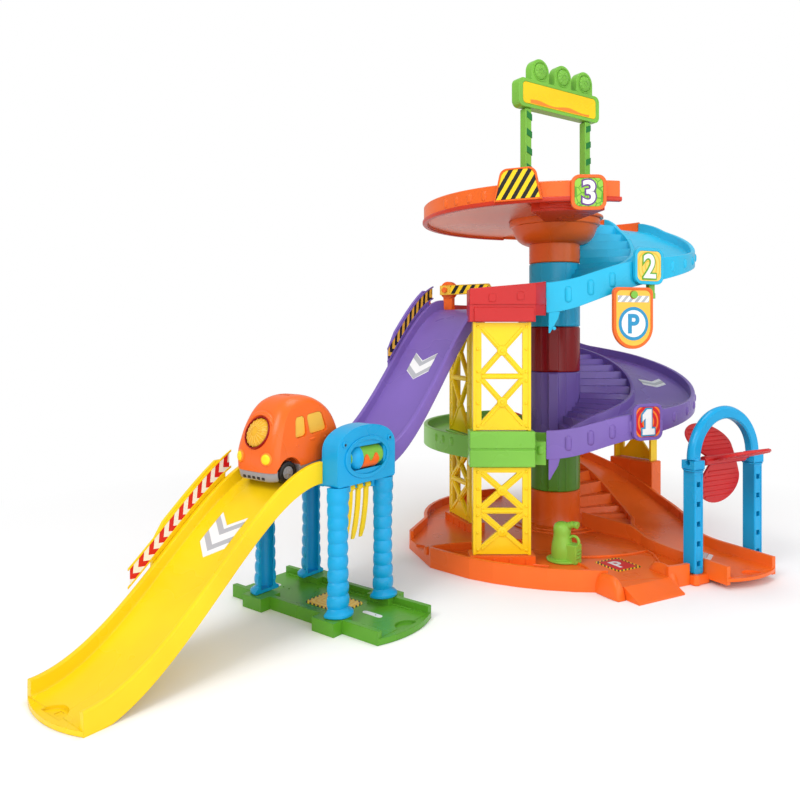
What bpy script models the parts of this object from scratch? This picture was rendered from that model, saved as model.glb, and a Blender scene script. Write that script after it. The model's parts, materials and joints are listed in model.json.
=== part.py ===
"""Toy parking garage: a spiral tower with three parking levels, two slides over a wash bridge, and a car.

Everything is in metres with +Z up. The tower's column is the reference: plan places are measured from its
axis, and the finished garage is then moved so that its bounding box stands centred on the origin.
"""

import math

import bmesh
import bpy
from mathutils import Matrix, Vector

MM = 0.001

# Fits
GAP = 0.3 * MM
RUNNING = 0.1 * MM
OVERLAP = 1.5 * MM
CUT_SPARE = 5 * MM

# Track, shared by the slides, the ramps and the decks
TRACK_WIDTH = 76 * MM
RIM_HEIGHT = 12 * MM
RIM_WALL = 5 * MM
FLOOR = 4 * MM
SKIRT = 7 * MM

# Column
COLUMN_RADIUS = 32.5 * MM
COLUMN_WALL = 3 * MM
SPIGOT_HEIGHT = 8 * MM
COLUMN_STEPS = 22

# Ring that every level follows round the column
RING_OUTER = 171 * MM
RING_INNER = RING_OUTER - TRACK_WIDTH
RING_MIDDLE = RING_OUTER - TRACK_WIDTH / 2
ARC_STEP = 7.5

# Floor heights of the levels
BASE_Z = 12 * MM
LEVEL_1_Z = 130 * MM
LEVEL_2_Z = 289 * MM
LEVEL_3_Z = 411 * MM
LEVEL_3_RIM = 14 * MM
HUB_RADIUS = 62 * MM
BOWL_RADIUS = 58 * MM
BRIDGE_Z = 135 * MM
RAMP_3_FOOT_Z = LEVEL_3_Z - 6 * MM

# Angles round the column, in degrees from +X
FRONT_LEFT = -105.0
BACK_LEFT = -255.0
BACK = 105.0
RAMP_3_END = 33.0
END_GAP = 0.2

# Ramps: level at their ends, and passing given shares of their drop at given angles
RAMP_LEVEL = 6.0
RAMP_OVERRUN = 20.0
RAMP_1_FALLS = ((66, 0.64), (38, 0.553), (15, 0.453), (-22, 0.277), (-77, 0.126))
RAMP_2_FALLS = ((22, 0.897), (1, 0.716), (-20, 0.526), (-75, 0.233))
BASE_RAMP_FALLS = ((66, 0.525), (46, 0.356), (20, 0.085))
BASE_RAMP_FOOT = -6.0
EXIT_START = -20.0
LEVEL_3_START = -78.0

# Outer rims of the two upper ramps: where they start to grow, and by how much
RIM_1_START = -22.0
RIM_1_EXTRA = 12 * MM
RIM_2_START = -20.0
RIM_2_EXTRA = 14 * MM

# Slides, in one straight line that falls away from level 2
SLIDE_HEADING = 52.0
SLIDE_TOP = (-121.4 * MM, -63.0 * MM)
PURPLE_LENGTH = 210 * MM
BRIDGE_LENGTH = 80 * MM
YELLOW_LENGTH = 220 * MM
SLIDE_STEP = 12 * MM
FENCE_THICKNESS = 3 * MM
FENCE_HEIGHT = 22 * MM
TONGUE_BULGE = 8 * MM

# Trusses
TRUSS_WIDTH = 62 * MM
TRUSS_PLATE = 4 * MM
TRUSS_DEPTH = 15 * MM
TRUSS_LEG = 9 * MM
TRUSS_BAR = 6 * MM
FRONT_TRUSS = (-93.0 * MM, -175.0 * MM)
LEFT_TRUSS = (-126.0 * MM, -14.0 * MM)
LEFT_TRUSS_TURN = -70.0
RIGHT_TRUSS_ANGLE = 38.0
RIGHT_TRUSS_RADIUS = RING_OUTER + TRUSS_DEPTH + 1 * MM
RIGHT_TRUSS_FOOT = 77 * MM
RIGHT_TRUSS_TOP = 200 * MM
SOCKET_MARGIN = 4.2 * MM
SOCKET_Z = 22 * MM
CLAMP_LOW_Z = LEVEL_1_Z - 13.5 * MM
CLAMP_TOP_Z = LEVEL_1_Z + 25 * MM
HEAD_LOW_Z = LEVEL_2_Z - 17 * MM
HEAD_SINK = 1 * MM
PAD_LIFT = 2 * MM

# Bridge
HEADER_THICKNESS = 19 * MM
HEADER_BELOW = 10 * MM
HEADER_ABOVE = 42 * MM
LEG_RADIUS = 11 * MM
LEG_WALL = 2.2 * MM
LEG_RIBS = 3
LEG_SPREAD = 31 * MM
FOOT_RADIUS = 15 * MM
ROLLER_RADIUS = 12 * MM
ROLLER_LENGTH = 42 * MM
STRIP_LENGTH = 50 * MM
STRIP_WIDTH = 6.5 * MM
STRIP_THICKNESS = 1.6 * MM
STRIP_PITCH = 11 * MM
ROD_RADIUS = 1.6 * MM
GREEN_TRACK_LENGTH = 186 * MM
GREEN_TRACK_SHIFT = 6 * MM

# Exit lane and spinner gate
EXIT_TURN = 48.0
EXIT_TURN_RADIUS = 126 * MM
EXIT_STRAIGHT = 62 * MM
GATE_BACK = 34 * MM
GATE_MARGIN = 9 * MM
GATE_HALF_SPAN = TRACK_WIDTH / 2 + GATE_MARGIN
GATE_LEG_WIDTH = 13 * MM
GATE_LEG_DEPTH = 14 * MM
GATE_LEG_TOP = 118 * MM
SPINNER_RADIUS = 50 * MM
SPINNER_WIDTH = 58 * MM
PADDLE_THICKNESS = 2.6 * MM

# Signs
SIGN_SIZE = 40 * MM
SIGN_THICKNESS = 4 * MM
SIGN_CORNER = 9 * MM

# Car
CAR_LENGTH = 88 * MM
CAR_WIDTH = 54 * MM
CAR_HEIGHT = 72 * MM
WHEEL_RADIUS = 10 * MM
WHEEL_WIDTH = 7 * MM
AXLE_RADIUS = 1.6 * MM
WHEELBASE = 52 * MM
SCREEN_RADIUS = 13 * MM

# Stepped webs between a ramp and the column
STAIR_STEP = 12.0
STAIR_RISER = 1.8
STAIR_THICKNESS = 11 * MM
STAIR_LIFT = 5 * MM

# Distances down the slides
PURPLE_START = GAP
BRIDGE_START = PURPLE_LENGTH + GAP
BRIDGE_END = PURPLE_LENGTH + BRIDGE_LENGTH
BRIDGE_CENTRE = (BRIDGE_START + BRIDGE_END) / 2
YELLOW_START = BRIDGE_END + GAP
YELLOW_END = BRIDGE_END + YELLOW_LENGTH
YELLOW_END_Z = 4.4 * MM

# Sockets in the tracks' ends
RECESS_RADIUS = 12 * MM
RECESS_DEPTH = 2.2 * MM
RECESS_SHIFT = 3 * MM

# Base: the plaza, the lane that leaves it at the left and the entry ramp
BASE_RADIUS = 226 * MM
PLAZA_START = -47.0
PLAZA_END = -125.0
LANE_TURN = 197.0
LANE_END = Vector((-180 * MM, -112 * MM, 0))
ENTRY_ANGLE = -80.0
ENTRY_TURN = -62.0
ENTRY_LENGTH = 20 * MM
ENTRY_WIDTH = 62 * MM
BASE_RIM = 10 * MM
BASE_WALL = 4 * MM
LUG_TOP_Z = BASE_Z - 2 * MM

# Heights at which the column's lengths meet
COLUMN_BREAKS = (BASE_Z, BASE_Z + 46 * MM, LEVEL_1_Z - 16 * MM, LEVEL_1_Z + 80 * MM, LEVEL_2_Z - 21 * MM,
                 LEVEL_3_Z - 61 * MM)

# Swinging parking sign
PARKING_PIN = (RING_OUTER + 8.5 * MM, -74.7, LEVEL_2_Z + 12 * MM)
BRACKET_RADIUS = RING_OUTER - 8 * MM
BRACKET_REACH = 34 * MM
PARKING_WIDTH = 48 * MM
PARKING_HEIGHT = 66 * MM
PARKING_THICKNESS = 4 * MM

# Sign over the top deck
ARCH_LEFT = Vector((-46 * MM, -56 * MM, 0))
ARCH_RIGHT = Vector((42 * MM, 4 * MM, 0))
ARCH_OVERHANG = 19 * MM
LAMP_PITCH = 40 * MM
LAMP_SHIFT = 5 * MM
LAMP_RISE = 13 * MM
POST_WIDTH = 10 * MM
BOARD_LOW = LEVEL_3_Z + 126 * MM
BOARD_HEIGHT = 35 * MM
LAMP_RADIUS = 15 * MM

# Barrier at the head of the slide
BARRIER_SIDE = -TRACK_WIDTH / 2 + 3 * MM
BARRIER_BACK = -9 * MM
BARRIER_PIVOT_Z = LEVEL_2_Z + 25 * MM
BARRIER_LENGTH = 62 * MM

# Places on the bridge
HEADER_MIDDLE = TRACK_WIDTH / 2 + HEADER_THICKNESS / 2 - OVERLAP
ROLLER_Z = BRIDGE_Z + 13 * MM
ROLLER_SIDE = TRACK_WIDTH / 2 + HEADER_THICKNESS - OVERLAP - ROLLER_RADIUS + 4 * MM
ROD_Z = BRIDGE_Z - HEADER_BELOW - 5 * MM
ROD_SIDE = HEADER_MIDDLE - 2 * MM
ROD_LUG = 4 * MM
ROD_LUG_ROOM = 0.35 * MM
ROD_HALF = STRIP_PITCH + STRIP_WIDTH / 2 + ROD_LUG_ROOM + ROD_LUG

# Green road
GREEN_FLOOR_Z = 6 * MM
GREEN_TOP_Z = GREEN_FLOOR_Z + 6 * MM

# Where the car stands
CAR_DISTANCE = BRIDGE_END + 2 * MM
CAR_LIFT = 0.4 * MM

COLOURS = {
    "orange": (0.90, 0.16, 0.03, 1.0),
    "yellow": (1.0, 0.75, 0.01, 1.0),
    "purple": (0.19, 0.10, 0.42, 1.0),
    "light_blue": (0.01, 0.45, 0.68, 1.0),
    "blue": (0.0, 0.29, 0.72, 1.0),
    "red": (0.62, 0.01, 0.02, 1.0),
    "dark_red": (0.38, 0.005, 0.01, 1.0),
    "green": (0.19, 0.47, 0.04, 1.0),
    "lime": (0.30, 0.62, 0.06, 1.0),
    "grey": (0.35, 0.34, 0.36, 1.0),
    "black": (0.02, 0.02, 0.02, 1.0),
    "amber": (0.9, 0.5, 0.02, 1.0),
    "gold": (1.0, 0.62, 0.08, 1.0),
}
PLASTIC_ROUGHNESS = 0.35


def clear_scene():
    for obj in list(bpy.data.objects):
        bpy.data.objects.remove(obj)


def new_collection(name):
    collection = bpy.data.collections.new(name)
    bpy.context.scene.collection.children.link(collection)
    return collection


def plastic(colour):
    name = "plastic_" + colour
    material = bpy.data.materials.get(name)
    if material is None:
        material = bpy.data.materials.new(name)
        material.use_nodes = True
        shader = material.node_tree.nodes["Principled BSDF"]
        shader.inputs["Base Color"].default_value = COLOURS[colour]
        shader.inputs["Roughness"].default_value = PLASTIC_ROUGHNESS
    return material


def heading(degrees):
    angle = math.radians(degrees)
    return Vector((math.cos(angle), math.sin(angle), 0.0))


def polar(radius, degrees, z=0.0):
    return heading(degrees) * radius + Vector((0, 0, z))


def steps_between(start, end, step):
    count = max(1, math.ceil(abs(end - start) / step - 1e-9))
    return [start + (end - start) * i / count for i in range(count + 1)]


def smooth_step(t):
    t = min(1.0, max(0.0, t))
    return t * t * (3 - 2 * t)


def object_from_bmesh(name, bm):
    bmesh.ops.recalc_face_normals(bm, faces=bm.faces)
    mesh = bpy.data.meshes.new(name)
    bm.to_mesh(mesh)
    bm.free()
    obj = bpy.data.objects.new(name, mesh)
    bpy.context.scene.collection.objects.link(obj)
    return obj


def sweep(name, stations):
    """A closed loft: each station is one ring of points, and the first and last rings are capped."""
    bm = bmesh.new()
    rings = [[bm.verts.new(point) for point in ring] for ring in stations]
    count = len(rings[0])
    for near, far in zip(rings, rings[1:]):
        for i in range(count):
            j = (i + 1) % count
            bm.faces.new((near[i], near[j], far[j], far[i]))
    bm.faces.new(rings[0][::-1])
    bm.faces.new(rings[-1])
    bmesh.ops.recalc_face_normals(bm, faces=bm.faces)
    bmesh.ops.triangulate(bm, faces=bm.faces)
    return object_from_bmesh(name, bm)


def placed_section(section, origin, across):
    """Section points are (across, up) pairs, set upright at origin."""
    return [origin + across * a + Vector((0, 0, b)) for a, b in section]


def track_section(skirt=SKIRT, width=TRACK_WIDTH, left_rim=RIM_HEIGHT, right_rim=RIM_HEIGHT):
    """The H of a track: a floor whose top is at 0 between two rims, with a skirt below."""
    half = width / 2
    inner = half - RIM_WALL
    return [
        (-half, -skirt),
        (-inner, -skirt),
        (-inner, -FLOOR),
        (inner, -FLOOR),
        (inner, -skirt),
        (half, -skirt),
        (half, right_rim),
        (inner, right_rim),
        (inner, 0),
        (-inner, 0),
        (-inner, left_rim),
        (-half, left_rim),
    ]


def bar_section(width, low, high):
    return [(-width / 2, low), (width / 2, low), (width / 2, high), (-width / 2, high)]


def box(name, size, centre, turn=0.0):
    """A box of the given size, turned about the vertical."""
    bm = bmesh.new()
    bmesh.ops.create_cube(bm, size=1.0)
    bmesh.ops.scale(bm, vec=Vector(size), verts=bm.verts)
    bmesh.ops.rotate(bm, matrix=Matrix.Rotation(math.radians(turn), 3, "Z"), verts=bm.verts)
    bmesh.ops.translate(bm, vec=Vector(centre), verts=bm.verts)
    return object_from_bmesh(name, bm)


def rod(name, start, end, radius, end_radius=None, segments=24):
    """A round bar or cone between two points."""
    start, end = Vector(start), Vector(end)
    along = end - start
    bm = bmesh.new()
    bmesh.ops.create_cone(
        bm,
        cap_ends=True,
        segments=segments,
        radius1=radius,
        radius2=radius if end_radius is None else end_radius,
        depth=along.length,
    )
    turn = Vector((0, 0, 1)).rotation_difference(along.normalized()).to_matrix()
    bmesh.ops.rotate(bm, matrix=turn, verts=bm.verts)
    bmesh.ops.translate(bm, vec=(start + end) / 2, verts=bm.verts)
    return object_from_bmesh(name, bm)


def outline_plate(name, outline, thickness, holes=()):
    """A flat plate from a 2D curve, centred on z = 0, as a welded mesh."""
    curve = bpy.data.curves.new(name, "CURVE")
    curve.dimensions = "2D"
    curve.fill_mode = "BOTH"
    curve.extrude = thickness / 2
    for points in (outline, *holes):
        spline = curve.splines.new("POLY")
        spline.points.add(len(points) - 1)
        for point, (x, y) in zip(spline.points, points):
            point.co = (x, y, 0, 1)
        spline.use_cyclic_u = True
    guide = bpy.data.objects.new(name, curve)
    bpy.context.scene.collection.objects.link(guide)
    bpy.context.view_layer.update()
    mesh = bpy.data.meshes.new_from_object(guide.evaluated_get(bpy.context.evaluated_depsgraph_get()))
    bpy.data.objects.remove(guide)
    bm = bmesh.new()
    bm.from_mesh(mesh)
    bmesh.ops.remove_doubles(bm, verts=bm.verts, dist=0.00001)
    bpy.data.meshes.remove(mesh)
    return object_from_bmesh(name, bm)


def transform(obj, matrix):
    obj.data.transform(matrix)
    if matrix.determinant() < 0:
        obj.data.flip_normals()
    return obj


def move(obj, offset):
    return transform(obj, Matrix.Translation(Vector(offset)))


def turned(name, profile, steps=COLUMN_STEPS):
    """A profile of (radius, z) pairs, listed top to bottom on the outside, turned about Z."""
    mesh = bpy.data.meshes.new(name)
    bm = bmesh.new()
    verts = [bm.verts.new((r, 0, z)) for r, z in profile]
    for a, b in zip(verts, verts[1:]):
        bm.edges.new((a, b))
    if profile[0][0] > 0 and profile[-1][0] > 0:
        bm.edges.new((verts[-1], verts[0]))
    bm.to_mesh(mesh)
    bm.free()
    obj = bpy.data.objects.new(name, mesh)
    bpy.context.scene.collection.objects.link(obj)
    screw = obj.modifiers.new("turn", "SCREW")
    screw.steps = steps
    screw.render_steps = steps
    screw.use_merge_vertices = True
    screw.merge_threshold = 0.00001
    return baked(obj)


def baked(obj):
    """Replaces an object's mesh and modifiers by its evaluated mesh."""
    bpy.context.view_layer.update()
    mesh = bpy.data.meshes.new_from_object(obj.evaluated_get(bpy.context.evaluated_depsgraph_get()))
    obj.modifiers.clear()
    obj.data = mesh
    return obj


def boolean(base, others, operation):
    helpers = bpy.data.collections.new("helpers")
    bpy.context.scene.collection.children.link(helpers)
    for other in others:
        helpers.objects.link(other)
    modifier = base.modifiers.new("shape", "BOOLEAN")
    modifier.operation = operation
    modifier.operand_type = "COLLECTION"
    modifier.collection = helpers
    modifier.solver = "EXACT"
    baked(base)
    for other in others:
        bpy.data.objects.remove(other)
    bpy.data.collections.remove(helpers)
    return base


def union(base, *others):
    return boolean(base, others, "UNION")


def cut(base, *cutters):
    return boolean(base, cutters, "DIFFERENCE")


def merged_flats(obj):
    """Joins neighbouring faces that lie in one plane, which unions leave split."""
    bm = bmesh.new()
    bm.from_mesh(obj.data)
    bmesh.ops.remove_doubles(bm, verts=bm.verts, dist=0.002 * MM)
    bmesh.ops.dissolve_limit(bm, angle_limit=math.radians(0.1), verts=bm.verts, edges=bm.edges)
    loose = [edge for edge in bm.edges if not edge.link_faces]
    bmesh.ops.delete(bm, geom=loose, context="EDGES")
    bmesh.ops.triangulate(bm, faces=bm.faces)
    bm.to_mesh(obj.data)
    bm.free()
    return obj


def bevelled(obj, width, segments=2, angle=40):
    bevel = obj.modifiers.new("edges", "BEVEL")
    bevel.width = width
    bevel.segments = segments
    bevel.limit_method = "ANGLE"
    bevel.angle_limit = math.radians(angle)
    return baked(obj)


def finish(obj, name, colour, garage, parts, pivot=None):
    """Names a solid, gives it its plastic, and sets its origin on its joint's axis."""
    merged_flats(obj)
    obj.name = name
    obj.data.name = name
    obj.data.materials.clear()
    obj.data.materials.append(plastic(colour))
    if pivot is not None:
        obj.data.transform(Matrix.Translation(-Vector(pivot)))
        obj.location = Vector(pivot)
    obj.data.shade_smooth()
    obj.data.set_sharp_from_angle(angle=math.radians(35))
    for collection in list(obj.users_collection):
        collection.objects.unlink(obj)
    parts.objects.link(obj)
    obj.parent = garage
    return obj


def eased(points):
    """A floor height for any angle, through (degrees, z) points that are in falling order of angle."""

    def height(degrees):
        for (a0, z0), (a1, z1) in zip(points, points[1:]):
            if degrees >= a1:
                return z0 + (z1 - z0) * min(1.0, max(0.0, (a0 - degrees) / (a0 - a1)))
        return points[-1][1]

    return height


def smoothed(height, span=12.0, count=5):
    """Averages a height function over a span of angle, so that its slope changes gently."""

    def average(degrees):
        offsets = [span * (i / (count - 1) - 0.5) for i in range(count)]
        return sum(height(degrees + offset) for offset in offsets) / count

    return average


def ring_stations(start, end, height, rim=None):
    """The rings of a track round the column; rim gives the outer rim's height where it isn't level."""
    rings = []
    for degrees in steps_between(start, end, ARC_STEP):
        z = height(degrees)
        outer = RIM_HEIGHT if rim is None else rim(degrees)
        section = track_section(min(SKIRT, z), right_rim=outer)
        rings.append(placed_section(section, polar(RING_MIDDLE, degrees, z), heading(degrees)))
    return rings


def stair_web(start, end, height, hub=COLUMN_RADIUS + GAP):
    """The stepped web that joins a ramp to the column: level treads with steep risers."""
    reach = RING_INNER + RIM_WALL / 2
    section = bar_section(reach - hub, -STAIR_THICKNESS, 0)
    edges = steps_between(start, end, STAIR_STEP)
    rings = []
    for near, far in zip(edges, edges[1:]):
        tread = height((near + far) / 2) + STAIR_LIFT
        for degrees in (near - STAIR_RISER if rings else near, far):
            rings.append(
                placed_section(section, polar((hub + reach) / 2, degrees, tread), heading(degrees))
            )
    return sweep("web", rings)


def pilasters(angles, height, rim):
    """Small upright ribs on the outside of a ramp's outer wall."""
    ribs = []
    for degrees in angles:
        z = height(degrees)
        foot = polar(RING_OUTER, degrees, z - SKIRT + 1.5 * MM)
        head = polar(RING_OUTER, degrees, z + rim(degrees) - 3 * MM)
        ribs.append(rod("rib", foot, head, 2.2 * MM, 1.2 * MM, 8))
    return ribs


def wall_along(name, points, thickness, low, high):
    """An upright wall on a plan polyline, mitred at its corners and lying to the left of the line."""
    rings = []
    for i, point in enumerate(points):
        before = (point - points[i - 1]).normalized() if i > 0 else None
        after = (points[i + 1] - point).normalized() if i < len(points) - 1 else None
        normals = [Vector((-d.y, d.x, 0)) for d in (before, after) if d is not None]
        side = sum(normals, Vector()).normalized()
        stretch = thickness / max(0.3, side.dot(normals[0]))
        rings.append([point + Vector((0, 0, low)), point + side * stretch + Vector((0, 0, low)),
                      point + side * stretch + Vector((0, 0, high)), point + Vector((0, 0, high))])
    return sweep(name, rings)


def arc_points(radius, start, end, step=ARC_STEP):
    return [polar(radius, degrees) for degrees in steps_between(start, end, step)]


def slab(name, points, low, high):
    plate = outline_plate(name, [(p.x, p.y) for p in points], high - low)
    return move(plate, (0, 0, (low + high) / 2))


def down_slide(distance, side=0.0, z=0.0):
    """A point at a plan distance down the slides' line; side is positive towards the viewer's right."""
    along = -heading(SLIDE_HEADING)
    across = heading(SLIDE_HEADING - 90)
    return Vector((*SLIDE_TOP, z)) + along * distance + across * side


SLIDE_ACROSS = heading(SLIDE_HEADING - 90)


def purple_floor(distance):
    return LEVEL_2_Z + (BRIDGE_Z - LEVEL_2_Z) * smooth_step(distance / PURPLE_LENGTH)


def yellow_floor(distance):
    return BRIDGE_Z + (YELLOW_END_Z - BRIDGE_Z) * smooth_step((distance - BRIDGE_END) / YELLOW_LENGTH)


def slide_track(name, start, end, floor):
    rings = []
    for distance in steps_between(start, end, SLIDE_STEP):
        z = floor(distance)
        skirt = min(SKIRT, z)
        rings.append(placed_section(track_section(skirt), down_slide(distance, z=z), SLIDE_ACROSS))
    return sweep(name, rings)


def tongue(name, centre, degrees, low, high):
    """The convex lip at a track's end: a circle segment whose chord is the track's width."""
    half = TRACK_WIDTH / 2 - GAP
    radius = (half * half + TONGUE_BULGE * TONGUE_BULGE) / (2 * TONGUE_BULGE)
    spread = math.degrees(math.asin(half / radius))
    out = heading(degrees)
    middle = Vector((centre.x, centre.y, 0)) + out * (TONGUE_BULGE - radius)
    points = [middle + polar(radius, degrees + a) for a in steps_between(-spread, spread, 6)]
    back = -out * OVERLAP * 2
    points += [points[-1] + back, points[0] + back]
    return slab(name, points, low, high)


def connector_recess(name, centre, degrees, floor_z):
    """The half-round socket in a track's end, where another track would hook in."""
    out = heading(degrees)
    middle = Vector((centre.x, centre.y, 0)) + out * RECESS_SHIFT
    points = [middle + polar(RECESS_RADIUS, degrees + 90 + a) for a in steps_between(0, 180, 20)]
    return slab(name, points, floor_z - RECESS_DEPTH, floor_z + CUT_SPARE)


def fence(name, start, end, floor):
    """The upright sign panel clipped on the outside of a slide's far rim."""
    side = -(TRACK_WIDTH / 2 + GAP + FENCE_THICKNESS / 2)
    rings = []
    for distance in steps_between(start, end, SLIDE_STEP):
        fade = min(1.0, (distance - start) / (6 * MM), (end - distance) / (6 * MM))
        top = RIM_HEIGHT + FENCE_HEIGHT * (0.7 + 0.3 * fade)
        section = bar_section(FENCE_THICKNESS, -1 * MM, top)
        rings.append(placed_section(section, down_slide(distance, side, floor(distance)), SLIDE_ACROSS))
    return sweep(name, rings)


def truss(name, height, filled_top):
    """A braced panel of two bays on z = 0, facing -Y, with its origin in the middle of its front."""
    half = TRUSS_WIDTH / 2
    inner = half - TRUSS_LEG
    middle = height / 2
    flange = 3 * MM
    lift = 0.5 * MM
    holes = []
    for low, high, filled in ((TRUSS_BAR, middle - TRUSS_BAR / 2, "low"),
                              (middle + TRUSS_BAR / 2, height - TRUSS_BAR, "high" if filled_top else "none")):
        centre = (low + high) / 2
        arm = TRUSS_BAR * 0.75
        rise = (high - low) / 2
        slant = inner / rise
        holes.append([(-inner, low + arm), (-arm * slant, centre), (-inner, high - arm)])
        holes.append([(inner, high - arm), (arm * slant, centre), (inner, low + arm)])
        if filled != "high":
            holes.append([(inner - arm * slant, high), (0, centre + arm), (-inner + arm * slant, high)])
        if filled != "low":
            holes.append([(-inner + arm * slant, low), (0, centre - arm), (inner - arm * slant, low)])
    side = half - flange / 2
    outline = [(-side, lift), (side, lift), (side, height - lift), (-side, height - lift)]
    panel = outline_plate(name, outline, TRUSS_PLATE, holes)
    transform(
        panel, Matrix.Translation((0, TRUSS_PLATE / 2 + lift, 0)) @ Matrix.Rotation(math.pi / 2, 4, "X")
    )
    sides = [
        box(name + "_flange", (flange, TRUSS_DEPTH, height), (sign * side, TRUSS_DEPTH / 2, middle))
        for sign in (-1, 1)
    ]
    return union(panel, *sides)


def stand_at(obj, place, turn, z):
    matrix = Matrix.Translation((place[0], place[1], z)) @ Matrix.Rotation(math.radians(turn), 4, "Z")
    return transform(obj, matrix)


def truss_block(name, place, turn, low, high):
    """A solid block that covers a truss's foot or head in plan."""
    size = (TRUSS_WIDTH + 2 * SOCKET_MARGIN, TRUSS_DEPTH + 2 * SOCKET_MARGIN, high - low)
    block = box(name, size, (0, TRUSS_DEPTH / 2, 0))
    return stand_at(block, place, turn, (low + high) / 2)


def column_section(name, low, high, foot_flare=0.0, spigot=True):
    """A length of the hollow column, with a spigot on top that plugs into the next length."""
    outer = COLUMN_RADIUS
    inner = outer - COLUMN_WALL
    peg = inner - GAP
    bore = peg - COLUMN_WALL
    top = []
    if spigot:
        top = [(bore, high + SPIGOT_HEIGHT), (peg, high + SPIGOT_HEIGHT), (peg, high), (outer, high)]
    else:
        top = [(inner, high), (outer, high)]
    shoulder = low + SPIGOT_HEIGHT + 4 * MM
    flare = [(outer, low + foot_flare), (outer + foot_flare * 0.5, low)] if foot_flare else [(outer, low)]
    inside = [(inner, low), (inner, shoulder), (bore, shoulder + COLUMN_WALL)] if spigot else [(inner, low)]
    return turned(name, top + flare + inside)


def base_outline():
    """The base plate's outline, walked clockwise from the right of the plaza."""
    lane_end = LANE_END
    across = heading(LANE_TURN + 90)
    near = lane_end + across * TRACK_WIDTH / 2
    far = lane_end - across * TRACK_WIDTH / 2
    points = arc_points(BASE_RADIUS, PLAZA_START, PLAZA_END)
    points += [near, far]
    points += arc_points(RING_OUTER, -176, BACK_LEFT + 1)
    return points


def exit_path():
    """The exit lane's centre line: points with their headings, from the ring to the gate and the end."""
    start = polar(RING_MIDDLE, EXIT_START)
    first = EXIT_START - 90
    pivot = start + heading(first + 90) * EXIT_TURN_RADIUS
    stations = []
    for turn in steps_between(0, EXIT_TURN, 8):
        stations.append((pivot + heading(first - 90 + turn) * EXIT_TURN_RADIUS, first + turn))
    last, direction = stations[-1]
    for distance in steps_between(0, EXIT_STRAIGHT, 31 * MM)[1:]:
        stations.append((last + heading(direction) * distance, direction))
    return stations


def make_base(garage, parts):
    outline = base_outline()
    inner = arc_points(COLUMN_RADIUS + GAP, BACK_LEFT + 1, PLAZA_START)
    plate = slab("base_deck", outline + inner, BASE_Z - FLOOR, BASE_Z)
    edge = wall_along("edge", outline[::-1], BASE_WALL, 0, BASE_Z + BASE_RIM)
    sockets = [
        truss_block("socket", FRONT_TRUSS, 0, BASE_Z - FLOOR, SOCKET_Z),
        truss_block("socket", LEFT_TRUSS, LEFT_TRUSS_TURN, BASE_Z - FLOOR, SOCKET_Z),
    ]
    union(plate, edge, *sockets)
    # The rim opens at the lane's end and at the entry ramp.
    lane_gap = box("lane_gap", (4 * BASE_WALL, TRACK_WIDTH - 2 * RIM_WALL, 2 * BASE_RIM),
                   LANE_END + Vector((0, 0, BASE_Z + BASE_RIM)), LANE_TURN)
    entry = polar(BASE_RADIUS - BASE_WALL / 2, ENTRY_ANGLE)
    entry_gap = box(
        "entry_gap", (40 * MM, ENTRY_WIDTH + 2 * GAP, 2 * BASE_RIM),
        entry + Vector((0, 0, BASE_Z + BASE_RIM)), ENTRY_TURN
    )
    exit_room = sweep(
        "exit_room",
        [
            placed_section(
                bar_section(TRACK_WIDTH + 2 * GAP, -CUT_SPARE, 2 * SOCKET_Z), place, heading(turn - 90)
            ) for place,
            turn in exit_stub() + exit_path() + exit_overrun()
        ]
    )
    cut(plate, lane_gap, entry_gap, exit_room)
    cut(plate, *gate_lugs(GAP, 2 * SOCKET_Z))
    ramp = sweep(
        "entry_ramp",
        [
            placed_section(
                bar_section(ENTRY_WIDTH, low, high), entry + heading(ENTRY_TURN) * reach,
                heading(ENTRY_TURN + 90)
            ) for reach,
            low,
            high in (
                (-14 * MM, BASE_Z - FLOOR + GAP, BASE_Z - GAP), (10 * MM, 0, BASE_Z - GAP),
                (10 * MM + ENTRY_LENGTH, 0, 2 * MM)
            )
        ]
    )
    union(plate, ramp)
    cut(plate, connector_recess("recess", LANE_END, LANE_TURN, BASE_Z))
    finish(plate, "base_deck", "orange", garage, parts)


def exit_stub():
    """The ring's last stretch before the exit lane, as points with headings."""
    return [(polar(RING_MIDDLE, degrees), degrees - 90) for degrees in (EXIT_START + 24, EXIT_START + 12)]


def exit_overrun():
    last, direction = exit_path()[-1]
    return [(last + heading(direction) * BASE_RADIUS, direction)]


def gate_frame():
    """The gate's foot point on the lane's centre line, and the lane's heading there."""
    last, direction = exit_path()[-1]
    return last - heading(direction) * GATE_BACK, direction


def base_ramp_floor():
    return ramp_floor(BACK, BASE_RAMP_FOOT, LEVEL_1_Z, BASE_Z, BASE_RAMP_FALLS)


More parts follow.
